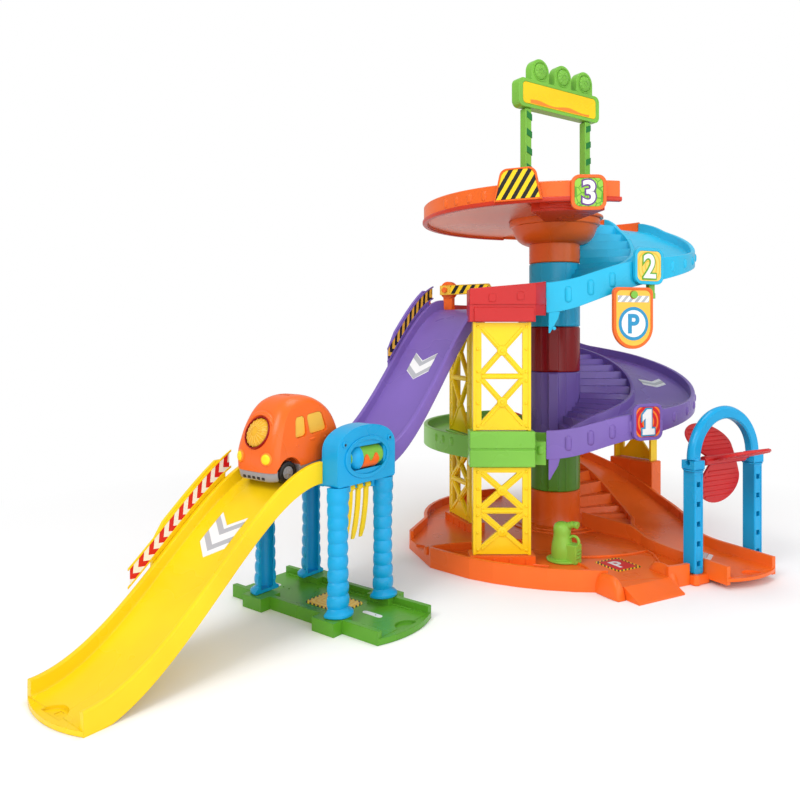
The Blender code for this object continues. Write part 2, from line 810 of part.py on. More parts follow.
def make_base_ramp(garage, parts):
    """The last ramp down to the floor: its track leaves the ring and bends to the spinner gate."""
    height = base_ramp_floor()
    start = BACK - END_GAP
    rings = ring_stations(start, EXIT_START, height)
    for place, turn in exit_path()[1:]:
        rings.append(placed_section(track_section(), place + Vector((0, 0, BASE_Z)), heading(turn + 90)))
    ramp = sweep("base_ramp", rings)
    web = stair_web(start - END_GAP, EXIT_START + END_GAP, height)
    end, end_turn = exit_path()[-1]
    lip = tongue("lip", end, end_turn, BASE_Z - FLOOR + GAP, BASE_Z - GAP)
    feet = [
        rod(
            "foot", polar(RING_OUTER - 8 * MM, degrees),
            polar(RING_OUTER - 8 * MM, degrees, height(degrees) - SKIRT + OVERLAP), 6 * MM, segments=12
        )
        for degrees in (90, 60, 30, 0)
    ]
    pedestal_place = polar(RIGHT_TRUSS_RADIUS - TRUSS_DEPTH / 2, RIGHT_TRUSS_ANGLE, RIGHT_TRUSS_FOOT / 2)
    pedestal_depth = TRUSS_DEPTH + 2 * SOCKET_MARGIN
    pedestal = box(
        "pedestal", (pedestal_depth, TRUSS_WIDTH + 2 * SOCKET_MARGIN, RIGHT_TRUSS_FOOT), pedestal_place,
        RIGHT_TRUSS_ANGLE
    )
    union(ramp, web, lip, pedestal, *gate_lugs(0, LUG_TOP_Z), *feet)
    cut(ramp, connector_recess("recess", end, end_turn, BASE_Z))
    finish(ramp, "base_ramp", "orange", garage, parts)


def gate_lugs(spare, height):
    """The blocks beside the lane that the gate's legs stand on."""
    foot, direction = gate_frame()
    across = heading(direction + 90)
    size = (GATE_LEG_DEPTH + 8 * MM + 2 * spare, GATE_LEG_WIDTH + 10 * MM + 2 * spare, height)
    reach = GATE_HALF_SPAN - 1 * MM
    return [
        box("lug", size, foot + across * sign * reach + Vector((0, 0, height / 2)), direction)
        for sign in (-1, 1)
    ]


def make_pump(garage, parts):
    """The fuel pump: a barrel body with a spout, a hose block and a ring handle."""
    place = polar(163 * MM, -99)
    z = BASE_Z + GAP
    body = turned(
        "pump",
        [
            (0, z + 42 * MM), (5 * MM, z + 41.5 * MM), (8 * MM, z + 39 * MM), (9.5 * MM, z + 33 * MM),
            (9 * MM, z + 26 * MM), (11 * MM, z + 19 * MM), (12 * MM, z + 10 * MM), (11 * MM, z + 3 * MM),
            (13 * MM, z), (0, z)
        ],
        14
    )
    move(body, (place.x, place.y, 0))
    out = heading(-40)
    spout = rod(
        "spout", place + Vector((0, 0, z + 36 * MM)), place + out * 17 * MM + Vector((0, 0, z + 41 * MM)),
        4 * MM, 3 * MM, 12
    )
    block = box(
        "block", (17 * MM, 14 * MM, 20 * MM), place + out * 13 * MM + Vector((0, 0, z + 10 * MM)), -40
    )
    handle = rod(
        "handle", place + out * 14 * MM + Vector((0, 0, z + 22 * MM)) + heading(50) * 3 * MM,
        place + out * 14 * MM + Vector((0, 0, z + 22 * MM)) - heading(50) * 3 * MM, 7 * MM, segments=12
    )
    tray = rod(
        "tray", place + Vector((0, 0, z)), place + Vector((0, 0, z + 2.5 * MM)), 17 * MM, segments=16
    )
    union(body, spout, block, handle, tray)
    finish(body, "fuel_pump", "green", garage, parts)


def make_column(garage, parts):
    names = (("column_foot", "orange"), ("column_green", "green"), ("column_purple", "purple"),
             ("column_red", "dark_red"), ("column_blue", "light_blue"))
    for (name, colour), low, high in zip(names, COLUMN_BREAKS, COLUMN_BREAKS[1:]):
        start = GAP if name != "column_foot" else -BASE_Z
        finish(column_section(name, low + start, high), name, colour, garage, parts)
    # The bowl carries the top deck: it widens in a funnel and two steps.
    low = COLUMN_BREAKS[-1] + GAP
    inner = COLUMN_RADIUS - COLUMN_WALL
    top = LEVEL_3_Z - FLOOR - GAP
    profile = [
        (46 * MM, top), (BOWL_RADIUS, top), (BOWL_RADIUS, top - 5 * MM), (50 * MM, top - 7 * MM),
        (47 * MM, top - 14 * MM), (40 * MM, top - 24 * MM), (COLUMN_RADIUS, top - 30 * MM),
        (COLUMN_RADIUS, low), (inner, low), (inner, top - 30 * MM), (37 * MM, top - 22 * MM)
    ]
    finish(turned("top_bowl", profile), "top_bowl", "orange", garage, parts)


def deck(name, outline, inner_radius, floor_z, rim_line, rim_height, below):
    """A flat level: a plate out to its outline, with a rim and a skirt along rim_line."""
    inner = arc_points(inner_radius, BACK_LEFT, FRONT_LEFT)
    plate = slab(name, outline + inner, floor_z - FLOOR, floor_z)
    walls = [wall_along(name + "_rim", line, RIM_WALL, floor_z - below, floor_z + height)
             for line, height in zip(rim_line, rim_height)]
    curb = wall_along(name + "_curb", arc_points(RING_INNER, BACK_LEFT, FRONT_LEFT), -RIM_WALL,
                      floor_z - FLOOR / 2, floor_z + RIM_HEIGHT)
    return union(plate, curb, *walls)


def deck_rim(start=FRONT_LEFT, end=BACK_LEFT):
    return arc_points(RING_OUTER, start, end)


def make_level_1(garage, parts):
    rim = deck_rim(FRONT_LEFT, BACK_LEFT)
    plate = deck("level_1_deck", rim, COLUMN_RADIUS + GAP, LEVEL_1_Z, [rim[::-1]], [RIM_HEIGHT],
                 LEVEL_1_Z - CLAMP_LOW_Z)
    clamp = truss_block("clamp", FRONT_TRUSS, 0, CLAMP_LOW_Z, CLAMP_TOP_Z)
    pad = truss_block("pad", LEFT_TRUSS, LEFT_TRUSS_TURN, CLAMP_LOW_Z, LEVEL_1_Z + PAD_LIFT)
    union(plate, clamp, pad)
    finish(plate, "level_1_deck", "lime", garage, parts)


def ramp_floor(start, end, high, low, falls):
    """A ramp's floor height at any angle: level at both ends, and falling by the given shares between."""
    points = [(start + RAMP_OVERRUN, high), (start - RAMP_LEVEL, high)]
    points += [(degrees, low + (high - low) * share) for degrees, share in falls]
    points += [(end + RAMP_LEVEL, low), (end - RAMP_OVERRUN, low)]
    return smoothed(eased(points))


def spiral_1_floor():
    return ramp_floor(BACK, FRONT_LEFT, LEVEL_2_Z, LEVEL_1_Z, RAMP_1_FALLS)


def spiral_2_floor():
    return ramp_floor(RAMP_3_END, FRONT_LEFT, RAMP_3_FOOT_Z, LEVEL_2_Z, RAMP_2_FALLS)


def rising_rim(start, end, extra):
    """An outer rim that grows by extra between two angles, on the way down."""
    return lambda degrees: RIM_HEIGHT + extra * smooth_step((start - degrees) / (start - end))


def make_spirals(garage, parts):
    height, rim = spiral_1_floor(), rising_rim(RIM_1_START, FRONT_LEFT, RIM_1_EXTRA)
    start, end = BACK - END_GAP, FRONT_LEFT + END_GAP
    lower = sweep("spiral_1", ring_stations(start, end, height, rim))
    web = stair_web(start - END_GAP, end + END_GAP, height)
    lug_height = 13 * MM
    lug_place = polar(
        RIGHT_TRUSS_RADIUS - TRUSS_DEPTH / 2, RIGHT_TRUSS_ANGLE, RIGHT_TRUSS_TOP + GAP + lug_height / 2
    )
    lug = box("lug", (TRUSS_DEPTH + 4 * MM, TRUSS_WIDTH * 0.8, lug_height), lug_place, RIGHT_TRUSS_ANGLE)
    union(lower, web, lug, *pilasters((-96, -87, -78, -38, -30, -22), height, rim))
    finish(lower, "spiral_1", "purple", garage, parts)
    height, rim = spiral_2_floor(), rising_rim(RIM_2_START, FRONT_LEFT, RIM_2_EXTRA)
    start = RAMP_3_END - END_GAP
    upper = sweep("spiral_2", ring_stations(start, end, height, rim))
    web = stair_web(start - END_GAP, end + END_GAP, height)
    union(upper, web, *pilasters((-96, -87, -78), height, rim))
    room = rod(
        "room", (0, 0, COLUMN_BREAKS[-1]), (0, 0, LEVEL_3_Z + RIM_HEIGHT), BOWL_RADIUS + 1 * MM, segments=32
    )
    cut(upper, room)
    finish(upper, "spiral_2", "light_blue", garage, parts)


def make_level_2(garage, parts):
    corner = FRONT_TRUSS[0] - TRUSS_WIDTH / 2 - SOCKET_MARGIN
    front = FRONT_TRUSS[1] - SOCKET_MARGIN
    near_top = down_slide(-GAP, TRACK_WIDTH / 2 + 2 * GAP)
    far_top = down_slide(-GAP, -TRACK_WIDTH / 2 - 2 * GAP)
    left_arc = arc_points(RING_OUTER, -170, BACK_LEFT)
    front_edge = [polar(RING_OUTER, FRONT_LEFT), Vector((-58 * MM, front, 0)), Vector((corner, front, 0)),
                  Vector((corner, -145 * MM, 0)), near_top]
    outline = front_edge + [far_top] + left_arc
    floor_z = LEVEL_2_Z
    near_wall = front_edge[::-1]
    far_wall = left_arc[::-1]
    plate = deck("level_2_deck", outline, COLUMN_RADIUS + GAP, floor_z, [near_wall, far_wall],
                 [18 * MM, RIM_HEIGHT], FLOOR + 6 * MM)
    head = truss_block("head", FRONT_TRUSS, 0, HEAD_LOW_Z, floor_z - HEAD_SINK)
    pad = truss_block("pad", LEFT_TRUSS, LEFT_TRUSS_TURN, HEAD_LOW_Z, floor_z - HEAD_SINK)
    room = sweep(
        "slide_room",
        [
            placed_section(
                bar_section(TRACK_WIDTH + 4 * GAP, -60 * MM, 60 * MM), down_slide(distance, z=floor_z),
                SLIDE_ACROSS
            )
            for distance in (-GAP, 120 * MM)
        ]
    )
    union(plate, head, pad)
    cut(plate, room)
    finish(plate, "level_2_deck", "red", garage, parts)


def make_level_3(garage, parts):
    """The top deck: a hub that the bowl carries, a ring round the left, and the ramp at the back."""
    rim = arc_points(RING_OUTER, LEVEL_3_START, BACK_LEFT)
    hub = arc_points(HUB_RADIUS, BACK_LEFT, LEVEL_3_START - 360, 15)
    plate = slab("level_3_deck", rim + hub, LEVEL_3_Z - FLOOR, LEVEL_3_Z)
    wall_line = arc_points(RING_OUTER, BACK_LEFT, LEVEL_3_START)
    wall = wall_along("rim", wall_line, RIM_WALL, LEVEL_3_Z - SKIRT, LEVEL_3_Z + LEVEL_3_RIM)
    curb_line = arc_points(RING_INNER, BACK_LEFT + 1, LEVEL_3_START - 1)
    curb = wall_along("curb", curb_line, -RIM_WALL, LEVEL_3_Z - FLOOR / 2, LEVEL_3_Z + RIM_HEIGHT)
    union(plate, wall, curb)
    finish(plate, "level_3_deck", "orange", garage, parts)
    height = smoothed(
        eased(
            [
                (BACK + RAMP_OVERRUN, LEVEL_3_Z), (BACK - RAMP_LEVEL, LEVEL_3_Z),
                (RAMP_3_END, RAMP_3_FOOT_Z), (RAMP_3_END - RAMP_OVERRUN, RAMP_3_FOOT_Z)
            ]
        )
    )
    start = BACK - END_GAP
    ramp = sweep("level_3_ramp", ring_stations(start, RAMP_3_END, height, lambda degrees: LEVEL_3_RIM))
    union(ramp, stair_web(start - END_GAP, RAMP_3_END + END_GAP, height, HUB_RADIUS + GAP))
    finish(ramp, "level_3_ramp", "orange", garage, parts)


def make_trusses(garage, parts):
    lower_height = CLAMP_LOW_Z - SOCKET_Z - 2 * GAP
    upper_low = {"front": CLAMP_TOP_Z + GAP, "left": LEVEL_1_Z + PAD_LIFT + GAP}
    places = {"front": (FRONT_TRUSS, 0.0), "left": (LEFT_TRUSS, LEFT_TRUSS_TURN)}
    for side, (place, turn) in places.items():
        lower = stand_at(truss("truss", lower_height, False), place, turn, SOCKET_Z + GAP)
        finish(lower, "truss_" + side + "_lower", "yellow", garage, parts)
        low = upper_low[side]
        upper = stand_at(truss("truss", HEAD_LOW_Z - GAP - low, True), place, turn, low)
        finish(upper, "truss_" + side + "_upper", "yellow", garage, parts)
    place = polar(RIGHT_TRUSS_RADIUS, RIGHT_TRUSS_ANGLE)
    right = truss("truss", RIGHT_TRUSS_TOP - RIGHT_TRUSS_FOOT - GAP, True)
    finish(
        stand_at(right, (place.x, place.y), RIGHT_TRUSS_ANGLE + 90, RIGHT_TRUSS_FOOT + GAP), "truss_right",
        "yellow", garage, parts
    )


def rounded_outline(width, height, radius, segments=5):
    points = []
    for cx, cy, start in ((1, 1, 0), (-1, 1, 90), (-1, -1, 180), (1, -1, 270)):
        centre = Vector((cx * (width / 2 - radius), cy * (height / 2 - radius), 0))
        for a in steps_between(0, 90, 90 / segments):
            point = centre + polar(radius, start + a)
            points.append((point.x, point.y))
    return points


def upright(obj, degrees, centre):
    """Stands a flat plate up so that its face looks along the given heading."""
    matrix = (Matrix.Translation(Vector(centre)) @ Matrix.Rotation(math.radians(degrees + 90), 4, "Z")
              @ Matrix.Rotation(math.pi / 2, 4, "X"))
    return transform(obj, matrix)


def sign_plate(name, width, height, degrees, z, colour, garage, parts):
    plate = outline_plate(name, rounded_outline(width, height, SIGN_CORNER), SIGN_THICKNESS)
    centre = polar(RING_OUTER + GAP + SIGN_THICKNESS / 2, degrees, z)
    finish(upright(plate, degrees, centre), name, colour, garage, parts)


def make_signs(garage, parts):
    sign_plate("sign_1", SIGN_SIZE, SIGN_SIZE, -67, LEVEL_1_Z + 33 * MM, "purple", garage, parts)
    sign_plate("sign_2", SIGN_SIZE, SIGN_SIZE, -66.5, LEVEL_2_Z + 44 * MM, "light_blue", garage, parts)
    small = SIGN_SIZE * 0.95
    sign_plate("sign_3", small, small, -90, LEVEL_3_Z, "orange", garage, parts)
    sign_plate(
        "hazard_sign", SIGN_SIZE * 1.05, SIGN_SIZE * 0.72, -115, LEVEL_3_Z + 9 * MM, "orange", garage, parts
    )


def make_parking_sign(garage, parts):
    """The bracket under the upper ramp, and the plate that swings on its pin."""
    radius, degrees, pin_z = PARKING_PIN
    out = heading(degrees)
    across = heading(degrees + 90)
    reach = BRACKET_REACH
    arm = box(
        "bracket", (7 * MM, reach + 6 * MM, 6 * MM),
        polar(BRACKET_RADIUS, degrees, pin_z) + across * reach / 2, degrees
    )
    grip = polar(BRACKET_RADIUS, degrees) + across * (reach - 1 * MM)
    top = spiral_2_floor()(math.degrees(math.atan2(grip.y, grip.x)) - 1.5) - SKIRT - GAP
    post = box("post", (6 * MM, 7 * MM, top - pin_z), grip + Vector((0, 0, (top + pin_z) / 2)), degrees)
    boss = rod(
        "boss", polar(BRACKET_RADIUS, degrees, pin_z),
        polar(radius - PARKING_THICKNESS / 2 - GAP, degrees, pin_z), 6 * MM, segments=20
    )
    pin = rod(
        "pin", polar(BRACKET_RADIUS, degrees, pin_z),
        polar(radius + PARKING_THICKNESS / 2 + 1.2 * MM, degrees, pin_z), 2.2 * MM, segments=16
    )
    head = rod("head", polar(radius + PARKING_THICKNESS / 2 + GAP, degrees, pin_z),
               polar(radius + PARKING_THICKNESS / 2 + 2 * MM, degrees, pin_z), 4 * MM, segments=16)
    union(arm, post, boss, pin, head)
    finish(arm, "parking_bracket", "lime", garage, parts)

    half = PARKING_WIDTH / 2
    top = 8 * MM
    low = PARKING_HEIGHT - top - half
    outline = [
        (half * math.cos(math.radians(a)), -low + half * math.sin(math.radians(a)))
        for a in steps_between(180, 360, 12)
    ]
    outline += [(half, top - 6 * MM), (half - 6 * MM, top), (-half + 6 * MM, top), (-half, top - 6 * MM)]
    hole = [(p.x, p.y) for p in arc_points(2.2 * MM + RUNNING, 0, 337.5, 22.5)]
    plate = outline_plate("parking_sign", outline, PARKING_THICKNESS, [hole])
    upright(plate, degrees, polar(radius, degrees, pin_z))
    finish(plate, "parking_sign", "orange", garage, parts, polar(radius, degrees, pin_z))


def make_arch(garage, parts):
    """The sign over the top deck: two posts, a board with three lamp domes, its plate and the lenses."""
    line = ARCH_RIGHT - ARCH_LEFT
    turn = math.degrees(math.atan2(line.y, line.x))
    along = line.normalized()
    facing = turn - 90
    out = heading(facing)
    middle = (ARCH_LEFT + ARCH_RIGHT) / 2
    foot = LEVEL_3_Z + GAP
    height = BOARD_LOW - GAP - foot
    for name, place in (("arch_post_left", ARCH_LEFT), ("arch_post_right", ARCH_RIGHT)):
        post = box(
            name, (POST_WIDTH, POST_WIDTH * 0.8, height), place + Vector((0, 0, foot + height / 2)), turn
        )
        finish(bevelled(post, 1 * MM, 1), name, "lime", garage, parts)
    width = line.length + 2 * ARCH_OVERHANG
    depth = 13 * MM
    centre = middle + Vector((0, 0, BOARD_LOW + BOARD_HEIGHT / 2))
    board = outline_plate("board", rounded_outline(width, BOARD_HEIGHT, 8 * MM), depth)
    upright(board, facing, centre)
    plate_width = width - 14 * MM
    plate_height = BOARD_HEIGHT - 9 * MM
    recess = 2 * MM
    pocket = outline_plate(
        "pocket", rounded_outline(plate_width + 2 * GAP, plate_height + 2 * GAP, 5 * MM + GAP), 2 * recess
    )
    upright(pocket, facing, centre + out * depth / 2)
    hubs = [
        centre + along * (LAMP_SHIFT + i * LAMP_PITCH) + Vector((0, 0, BOARD_HEIGHT / 2 + LAMP_RISE))
        for i in (-1, 0, 1)
    ]
    dome_half = depth / 2 - 1 * MM
    domes = [
        rod("dome", hub - out * dome_half, hub + out * dome_half, LAMP_RADIUS, segments=24) for hub in hubs
    ]
    union(board, *domes)
    lens_radius = LAMP_RADIUS - 5 * MM
    sockets = [
        rod("socket", hub + out * (dome_half - recess), hub + out * depth, lens_radius + GAP, segments=20)
        for hub in hubs
    ]
    cut(board, pocket, *sockets)
    finish(board, "arch_board", "lime", garage, parts)
    thickness = recess - GAP
    plate = outline_plate("arch_plate", rounded_outline(plate_width, plate_height, 5 * MM), thickness)
    finish(
        upright(plate, facing, centre + out * (depth / 2 - thickness / 2)), "arch_plate", "yellow", garage,
        parts
    )
    for name, hub in zip(("lamp_lens_left", "lamp_lens_middle", "lamp_lens_right"), hubs):
        start = hub + out * (dome_half - recess + GAP)
        lens = rod(name, start, start + out * 4 * MM, lens_radius, lens_radius - 2.5 * MM, segments=20)
        finish(lens, name, "green", garage, parts)


def make_barrier(garage, parts):
    """The hazard arm that closes the slide's top, and the round-headed stand that it turns on."""
    along = heading(SLIDE_HEADING)
    foot = down_slide(BARRIER_BACK, BARRIER_SIDE)
    pivot = down_slide(BARRIER_BACK, BARRIER_SIDE, BARRIER_PIVOT_Z)
    thickness = 5 * MM
    front, back = 1.5 * MM, 9 * MM
    middle = foot + along * (front + back) / 2 + Vector((0, 0, (BARRIER_PIVOT_Z + LEVEL_2_Z) / 2 + GAP))
    stand = box(
        "stand", (back - front - 1 * MM, 13 * MM, BARRIER_PIVOT_Z - LEVEL_2_Z), middle, SLIDE_HEADING
    )
    disc = rod("disc", pivot + along * front, pivot + along * back, 11 * MM, segments=24)
    pin = rod("pin", pivot + along * 3 * MM, pivot - along * (thickness + 1 * MM), 2 * MM, segments=12)
    cap = rod(
        "cap", pivot - along * (thickness - 1.5 * MM + GAP), pivot - along * (thickness + 1 * MM), 3.5 * MM,
        segments=12
    )
    union(stand, disc, pin, cap)
    finish(stand, "barrier_stand", "orange", garage, parts)
    outline = [(-8 * MM, -6 * MM), (BARRIER_LENGTH, -6 * MM), (BARRIER_LENGTH + 3 * MM, -2 * MM),
               (BARRIER_LENGTH + 3 * MM, 2 * MM), (BARRIER_LENGTH, 6 * MM), (-8 * MM, 6 * MM)]
    hole = [(p.x, p.y) for p in arc_points(2 * MM + RUNNING, 0, 337.5, 22.5)]
    arm = outline_plate("arm", outline, thickness - GAP, [hole])
    # The arm stands across the track, on the downhill side of its stand.
    upright(arm, SLIDE_HEADING + 180, pivot + along * (front - GAP - (thickness - GAP) / 2))
    finish(arm, "barrier_arm", "gold", garage, parts, pivot)


def make_slides(garage, parts):
    purple = slide_track("purple_slide", PURPLE_START, PURPLE_LENGTH, purple_floor)
    finish(purple, "purple_slide", "purple", garage, parts)
    finish(fence("purple_fence", 24 * MM, 102 * MM, purple_floor), "purple_fence", "purple", garage, parts)
    yellow = slide_track("yellow_slide", YELLOW_START, YELLOW_END, yellow_floor)
    end = down_slide(YELLOW_END)
    lip = tongue("lip", end, SLIDE_HEADING + 180, GAP, YELLOW_END_Z - GAP)
    union(yellow, lip)
    cut(yellow, connector_recess("recess", end, SLIDE_HEADING + 180, YELLOW_END_Z))
    finish(yellow, "yellow_slide", "yellow", garage, parts)
    start = BRIDGE_END + 46 * MM
    finish(
        fence("yellow_fence", start, start + 74 * MM, yellow_floor), "yellow_fence", "yellow", garage, parts
    )


def header_outline():
    """A side panel of the bridge in its own plane: x runs uphill, y is height above the deck's floor."""
    half = BRIDGE_LENGTH / 2
    points = [(half, -HEADER_BELOW), (half, HEADER_ABOVE * 0.45)]
    for a in steps_between(10, 170, 20):
        angle = math.radians(a)
        points.append((half * math.cos(angle), HEADER_ABOVE * (0.45 + 0.55 * math.sin(angle) ** 0.8)))
    points += [(-half, HEADER_ABOVE * 0.45), (-half, -HEADER_BELOW)]
    return points


def make_bridge(garage, parts):
    rings = [placed_section(track_section(HEADER_BELOW), down_slide(distance, z=BRIDGE_Z), SLIDE_ACROSS)
             for distance in (BRIDGE_START, BRIDGE_CENTRE, BRIDGE_END)]
    bridge = sweep("bridge_deck", rings)
    headers = []
    for sign in (-1, 1):
        panel = outline_plate("header", header_outline(), HEADER_THICKNESS)
        bevelled(panel, 2.5 * MM, 1, 60)
        headers.append(
            upright(panel, SLIDE_HEADING - 90, down_slide(BRIDGE_CENTRE, sign * HEADER_MIDDLE, BRIDGE_Z))
        )
    lugs = []
    for sign in (-1, 1):
        place = down_slide(BRIDGE_CENTRE + sign * (ROD_HALF - ROD_LUG / 2), ROD_SIDE, ROD_Z + 2 * MM)
        lugs.append(box("lug", (ROD_LUG, 8 * MM, 9.5 * MM), place, SLIDE_HEADING))
    union(bridge, *headers, *lugs)
    along = -heading(SLIDE_HEADING)
    middle = down_slide(BRIDGE_CENTRE, ROLLER_SIDE, ROLLER_Z)
    room = rod(
        "room", middle - along * (ROLLER_LENGTH / 2 + 1.5 * MM),
        middle + along * (ROLLER_LENGTH / 2 + 1.5 * MM), ROLLER_RADIUS + 1 * MM, segments=32
    )
    bearing = rod(
        "bearing", middle - along * (ROLLER_LENGTH / 2 + 5 * MM),
        middle + along * (ROLLER_LENGTH / 2 + 5 * MM), 2.5 * MM + RUNNING, segments=16
    )
    rod_middle = down_slide(BRIDGE_CENTRE, ROD_SIDE, ROD_Z)
    rod_hole = rod(
        "rod_hole", rod_middle - along * 40 * MM, rod_middle + along * 40 * MM, ROD_RADIUS + RUNNING,
        segments=16
    )
    cut(bridge, room, bearing, rod_hole)
    finish(bridge, "bridge_deck", "blue", garage, parts)
    make_roller(middle, along, garage, parts)
    make_strips(rod_middle, along, garage, parts)


def make_roller(middle, along, garage, parts):
    """The waisted drum in the header's window, with stub axles."""
    half = ROLLER_LENGTH / 2
    profile = [
        (0, half + 4.2 * MM), (2.5 * MM, half + 4.2 * MM), (2.5 * MM, half), (ROLLER_RADIUS * 0.75, half),
        (ROLLER_RADIUS, half - 5 * MM), (ROLLER_RADIUS, half - 11 * MM),
        (ROLLER_RADIUS - 1.5 * MM, half - 12.5 * MM), (ROLLER_RADIUS - 1.5 * MM, -half + 5 * MM),
        (ROLLER_RADIUS * 0.75, -half), (2.5 * MM, -half), (2.5 * MM, -half - 4.2 * MM),
        (0, -half - 4.2 * MM)
    ]
    drum = turned("roller", profile, 20)
    turn = Vector((0, 0, 1)).rotation_difference(along).to_matrix().to_4x4()
    transform(drum, Matrix.Translation(middle) @ turn)
    finish(drum, "bridge_roller", "lime", garage, parts, middle)


def make_strips(middle, along, garage, parts):
    """The wash strips hang by their eyes from one rod under the right header."""
    bar = rod("rod", middle - along * ROD_HALF, middle + along * ROD_HALF, ROD_RADIUS, segments=16)
    finish(bar, "strip_rod", "blue", garage, parts)
    for name, offset in (("wash_strip_front", 1), ("wash_strip_middle", 0), ("wash_strip_back", -1)):
        centre = middle + along * offset * STRIP_PITCH
        eye = rod(
            "eye", centre - along * STRIP_WIDTH / 2, centre + along * STRIP_WIDTH / 2,
            ROD_RADIUS + GAP + 1.4 * MM, segments=14
        )
        blade = strip_blade()
        turn = Matrix.Rotation(math.radians(SLIDE_HEADING), 4, "Z")
        transform(blade, Matrix.Translation(centre) @ turn)
        union(eye, blade)
        hole = rod(
            "hole", centre - along * STRIP_WIDTH, centre + along * STRIP_WIDTH, ROD_RADIUS + RUNNING,
            segments=14
        )
        cut(eye, hole)
        finish(eye, name, "yellow", garage, parts, centre)


def strip_blade():
    """A thin tongue that hangs from z = 0, its width along X and a gentle curl towards +Y."""
    bm = bmesh.new()
    rows = []
    for drop in steps_between(ROD_RADIUS + 1 * MM, STRIP_LENGTH, 8 * MM):
        curl = 7 * MM * (drop / STRIP_LENGTH) ** 2
        half = (STRIP_WIDTH / 2 - GAP) * (1 if drop < STRIP_LENGTH * 0.95 else 0.6)
        rows.append(
            [
                bm.verts.new((x, curl + y, -drop)) for x,
                y in (
                    (-half, -STRIP_THICKNESS / 2), (half, -STRIP_THICKNESS / 2),
                    (half, STRIP_THICKNESS / 2), (-half, STRIP_THICKNESS / 2)
                )
            ]
        )
    for near, far in zip(rows, rows[1:]):
        for i in range(4):
            bm.faces.new((near[i], near[(i + 1) % 4], far[(i + 1) % 4], far[i]))
    bm.faces.new(rows[0][::-1])
    bm.faces.new(rows[-1])
    bmesh.ops.triangulate(bm, faces=bm.faces)
    return object_from_bmesh("blade", bm)


def make_legs(garage, parts):
    """Four ribbed half-shell legs with their open side under the bridge, on round feet."""
    top = BRIDGE_Z - HEADER_BELOW - GAP
    low = GREEN_TOP_Z + GAP
    height = top - low
    for name, sign_side, sign_along in (("bridge_leg_near_right", 1, 1), ("bridge_leg_far_right", 1, -1),
                                        ("bridge_leg_near_left", -1, 1), ("bridge_leg_far_left", -1, -1)):
        profile = [(0, top), (LEG_RADIUS, top)]
        for i in range(LEG_RIBS):
            z = top - (height - 6 * MM) * (i + 1) / LEG_RIBS
            wide = LEG_RADIUS - 1.2 * MM * math.sin(math.pi * (i + 1) / LEG_RIBS)
            profile += [(wide + 0.9 * MM, z + 3 * MM), (wide - 0.2 * MM, z)]
        profile += [
            (FOOT_RADIUS * 0.8, low + 4.5 * MM), (FOOT_RADIUS, low + 3 * MM), (FOOT_RADIUS, low), (0, low)
        ]
        leg = turned(name, profile, 12)
        core = rod(
            "core", (0, 0, low + 3 * MM), (0, 0, top - 3 * MM), LEG_RADIUS - LEG_WALL - 1.2 * MM,
            segments=10
        )
        mouth = box(
            "mouth", (2 * FOOT_RADIUS, FOOT_RADIUS * 2, height + 20 * MM),
            (0, FOOT_RADIUS + 1.5 * MM, (top + low) / 2)
        )
        cut(leg, core, mouth)
        centre = down_slide(BRIDGE_CENTRE + sign_along * LEG_SPREAD, sign_side * HEADER_MIDDLE)
        inward = SLIDE_HEADING + 90 if sign_side > 0 else SLIDE_HEADING - 90
        transform(leg, Matrix.Translation(centre) @ Matrix.Rotation(math.radians(inward - 90), 4, "Z"))
        finish(leg, name, "blue", garage, parts)


def make_green_track(garage, parts):
    """The road under the bridge, square to the slides, with lugs for the legs' feet."""
    across = heading(SLIDE_HEADING)
    out = SLIDE_ACROSS
    half = GREEN_TRACK_LENGTH / 2
    middle = down_slide(BRIDGE_CENTRE, GREEN_TRACK_SHIFT)
    section = track_section(
        GREEN_FLOOR_Z, left_rim=GREEN_TOP_Z - GREEN_FLOOR_Z, right_rim=GREEN_TOP_Z - GREEN_FLOOR_Z
    )
    track = sweep(
        "green_track",
        [
            placed_section(section, middle + out * reach + Vector((0, 0, GREEN_FLOOR_Z)), across)
            for reach in (-half, 0, half)
        ]
    )
    lugs = []
    for sign_side in (-1, 1):
        for sign_along in (-1, 1):
            place = down_slide(
                BRIDGE_CENTRE + sign_along * (LEG_SPREAD + 6 * MM), sign_side * HEADER_MIDDLE,
                GREEN_TOP_Z / 2
            )
            lugs.append(box("lug", (24 * MM, 26 * MM, GREEN_TOP_Z), place, SLIDE_HEADING))
    right_end = middle + out * half
    left_end = middle - out * half
    turn = SLIDE_HEADING - 90
    lip = tongue("lip", right_end, turn, GAP, GREEN_FLOOR_Z - GAP)
    union(track, lip, *lugs)
    cut(track, connector_recess("recess", right_end, turn, GREEN_FLOOR_Z),
        connector_recess("recess", left_end, turn + 180, GREEN_FLOOR_Z))
    finish(track, "green_track", "green", garage, parts)


def gate_place(side, z, forward=0.0):
    foot, direction = gate_frame()
    return foot + heading(direction + 90) * side + heading(direction) * forward + Vector((0, 0, z))


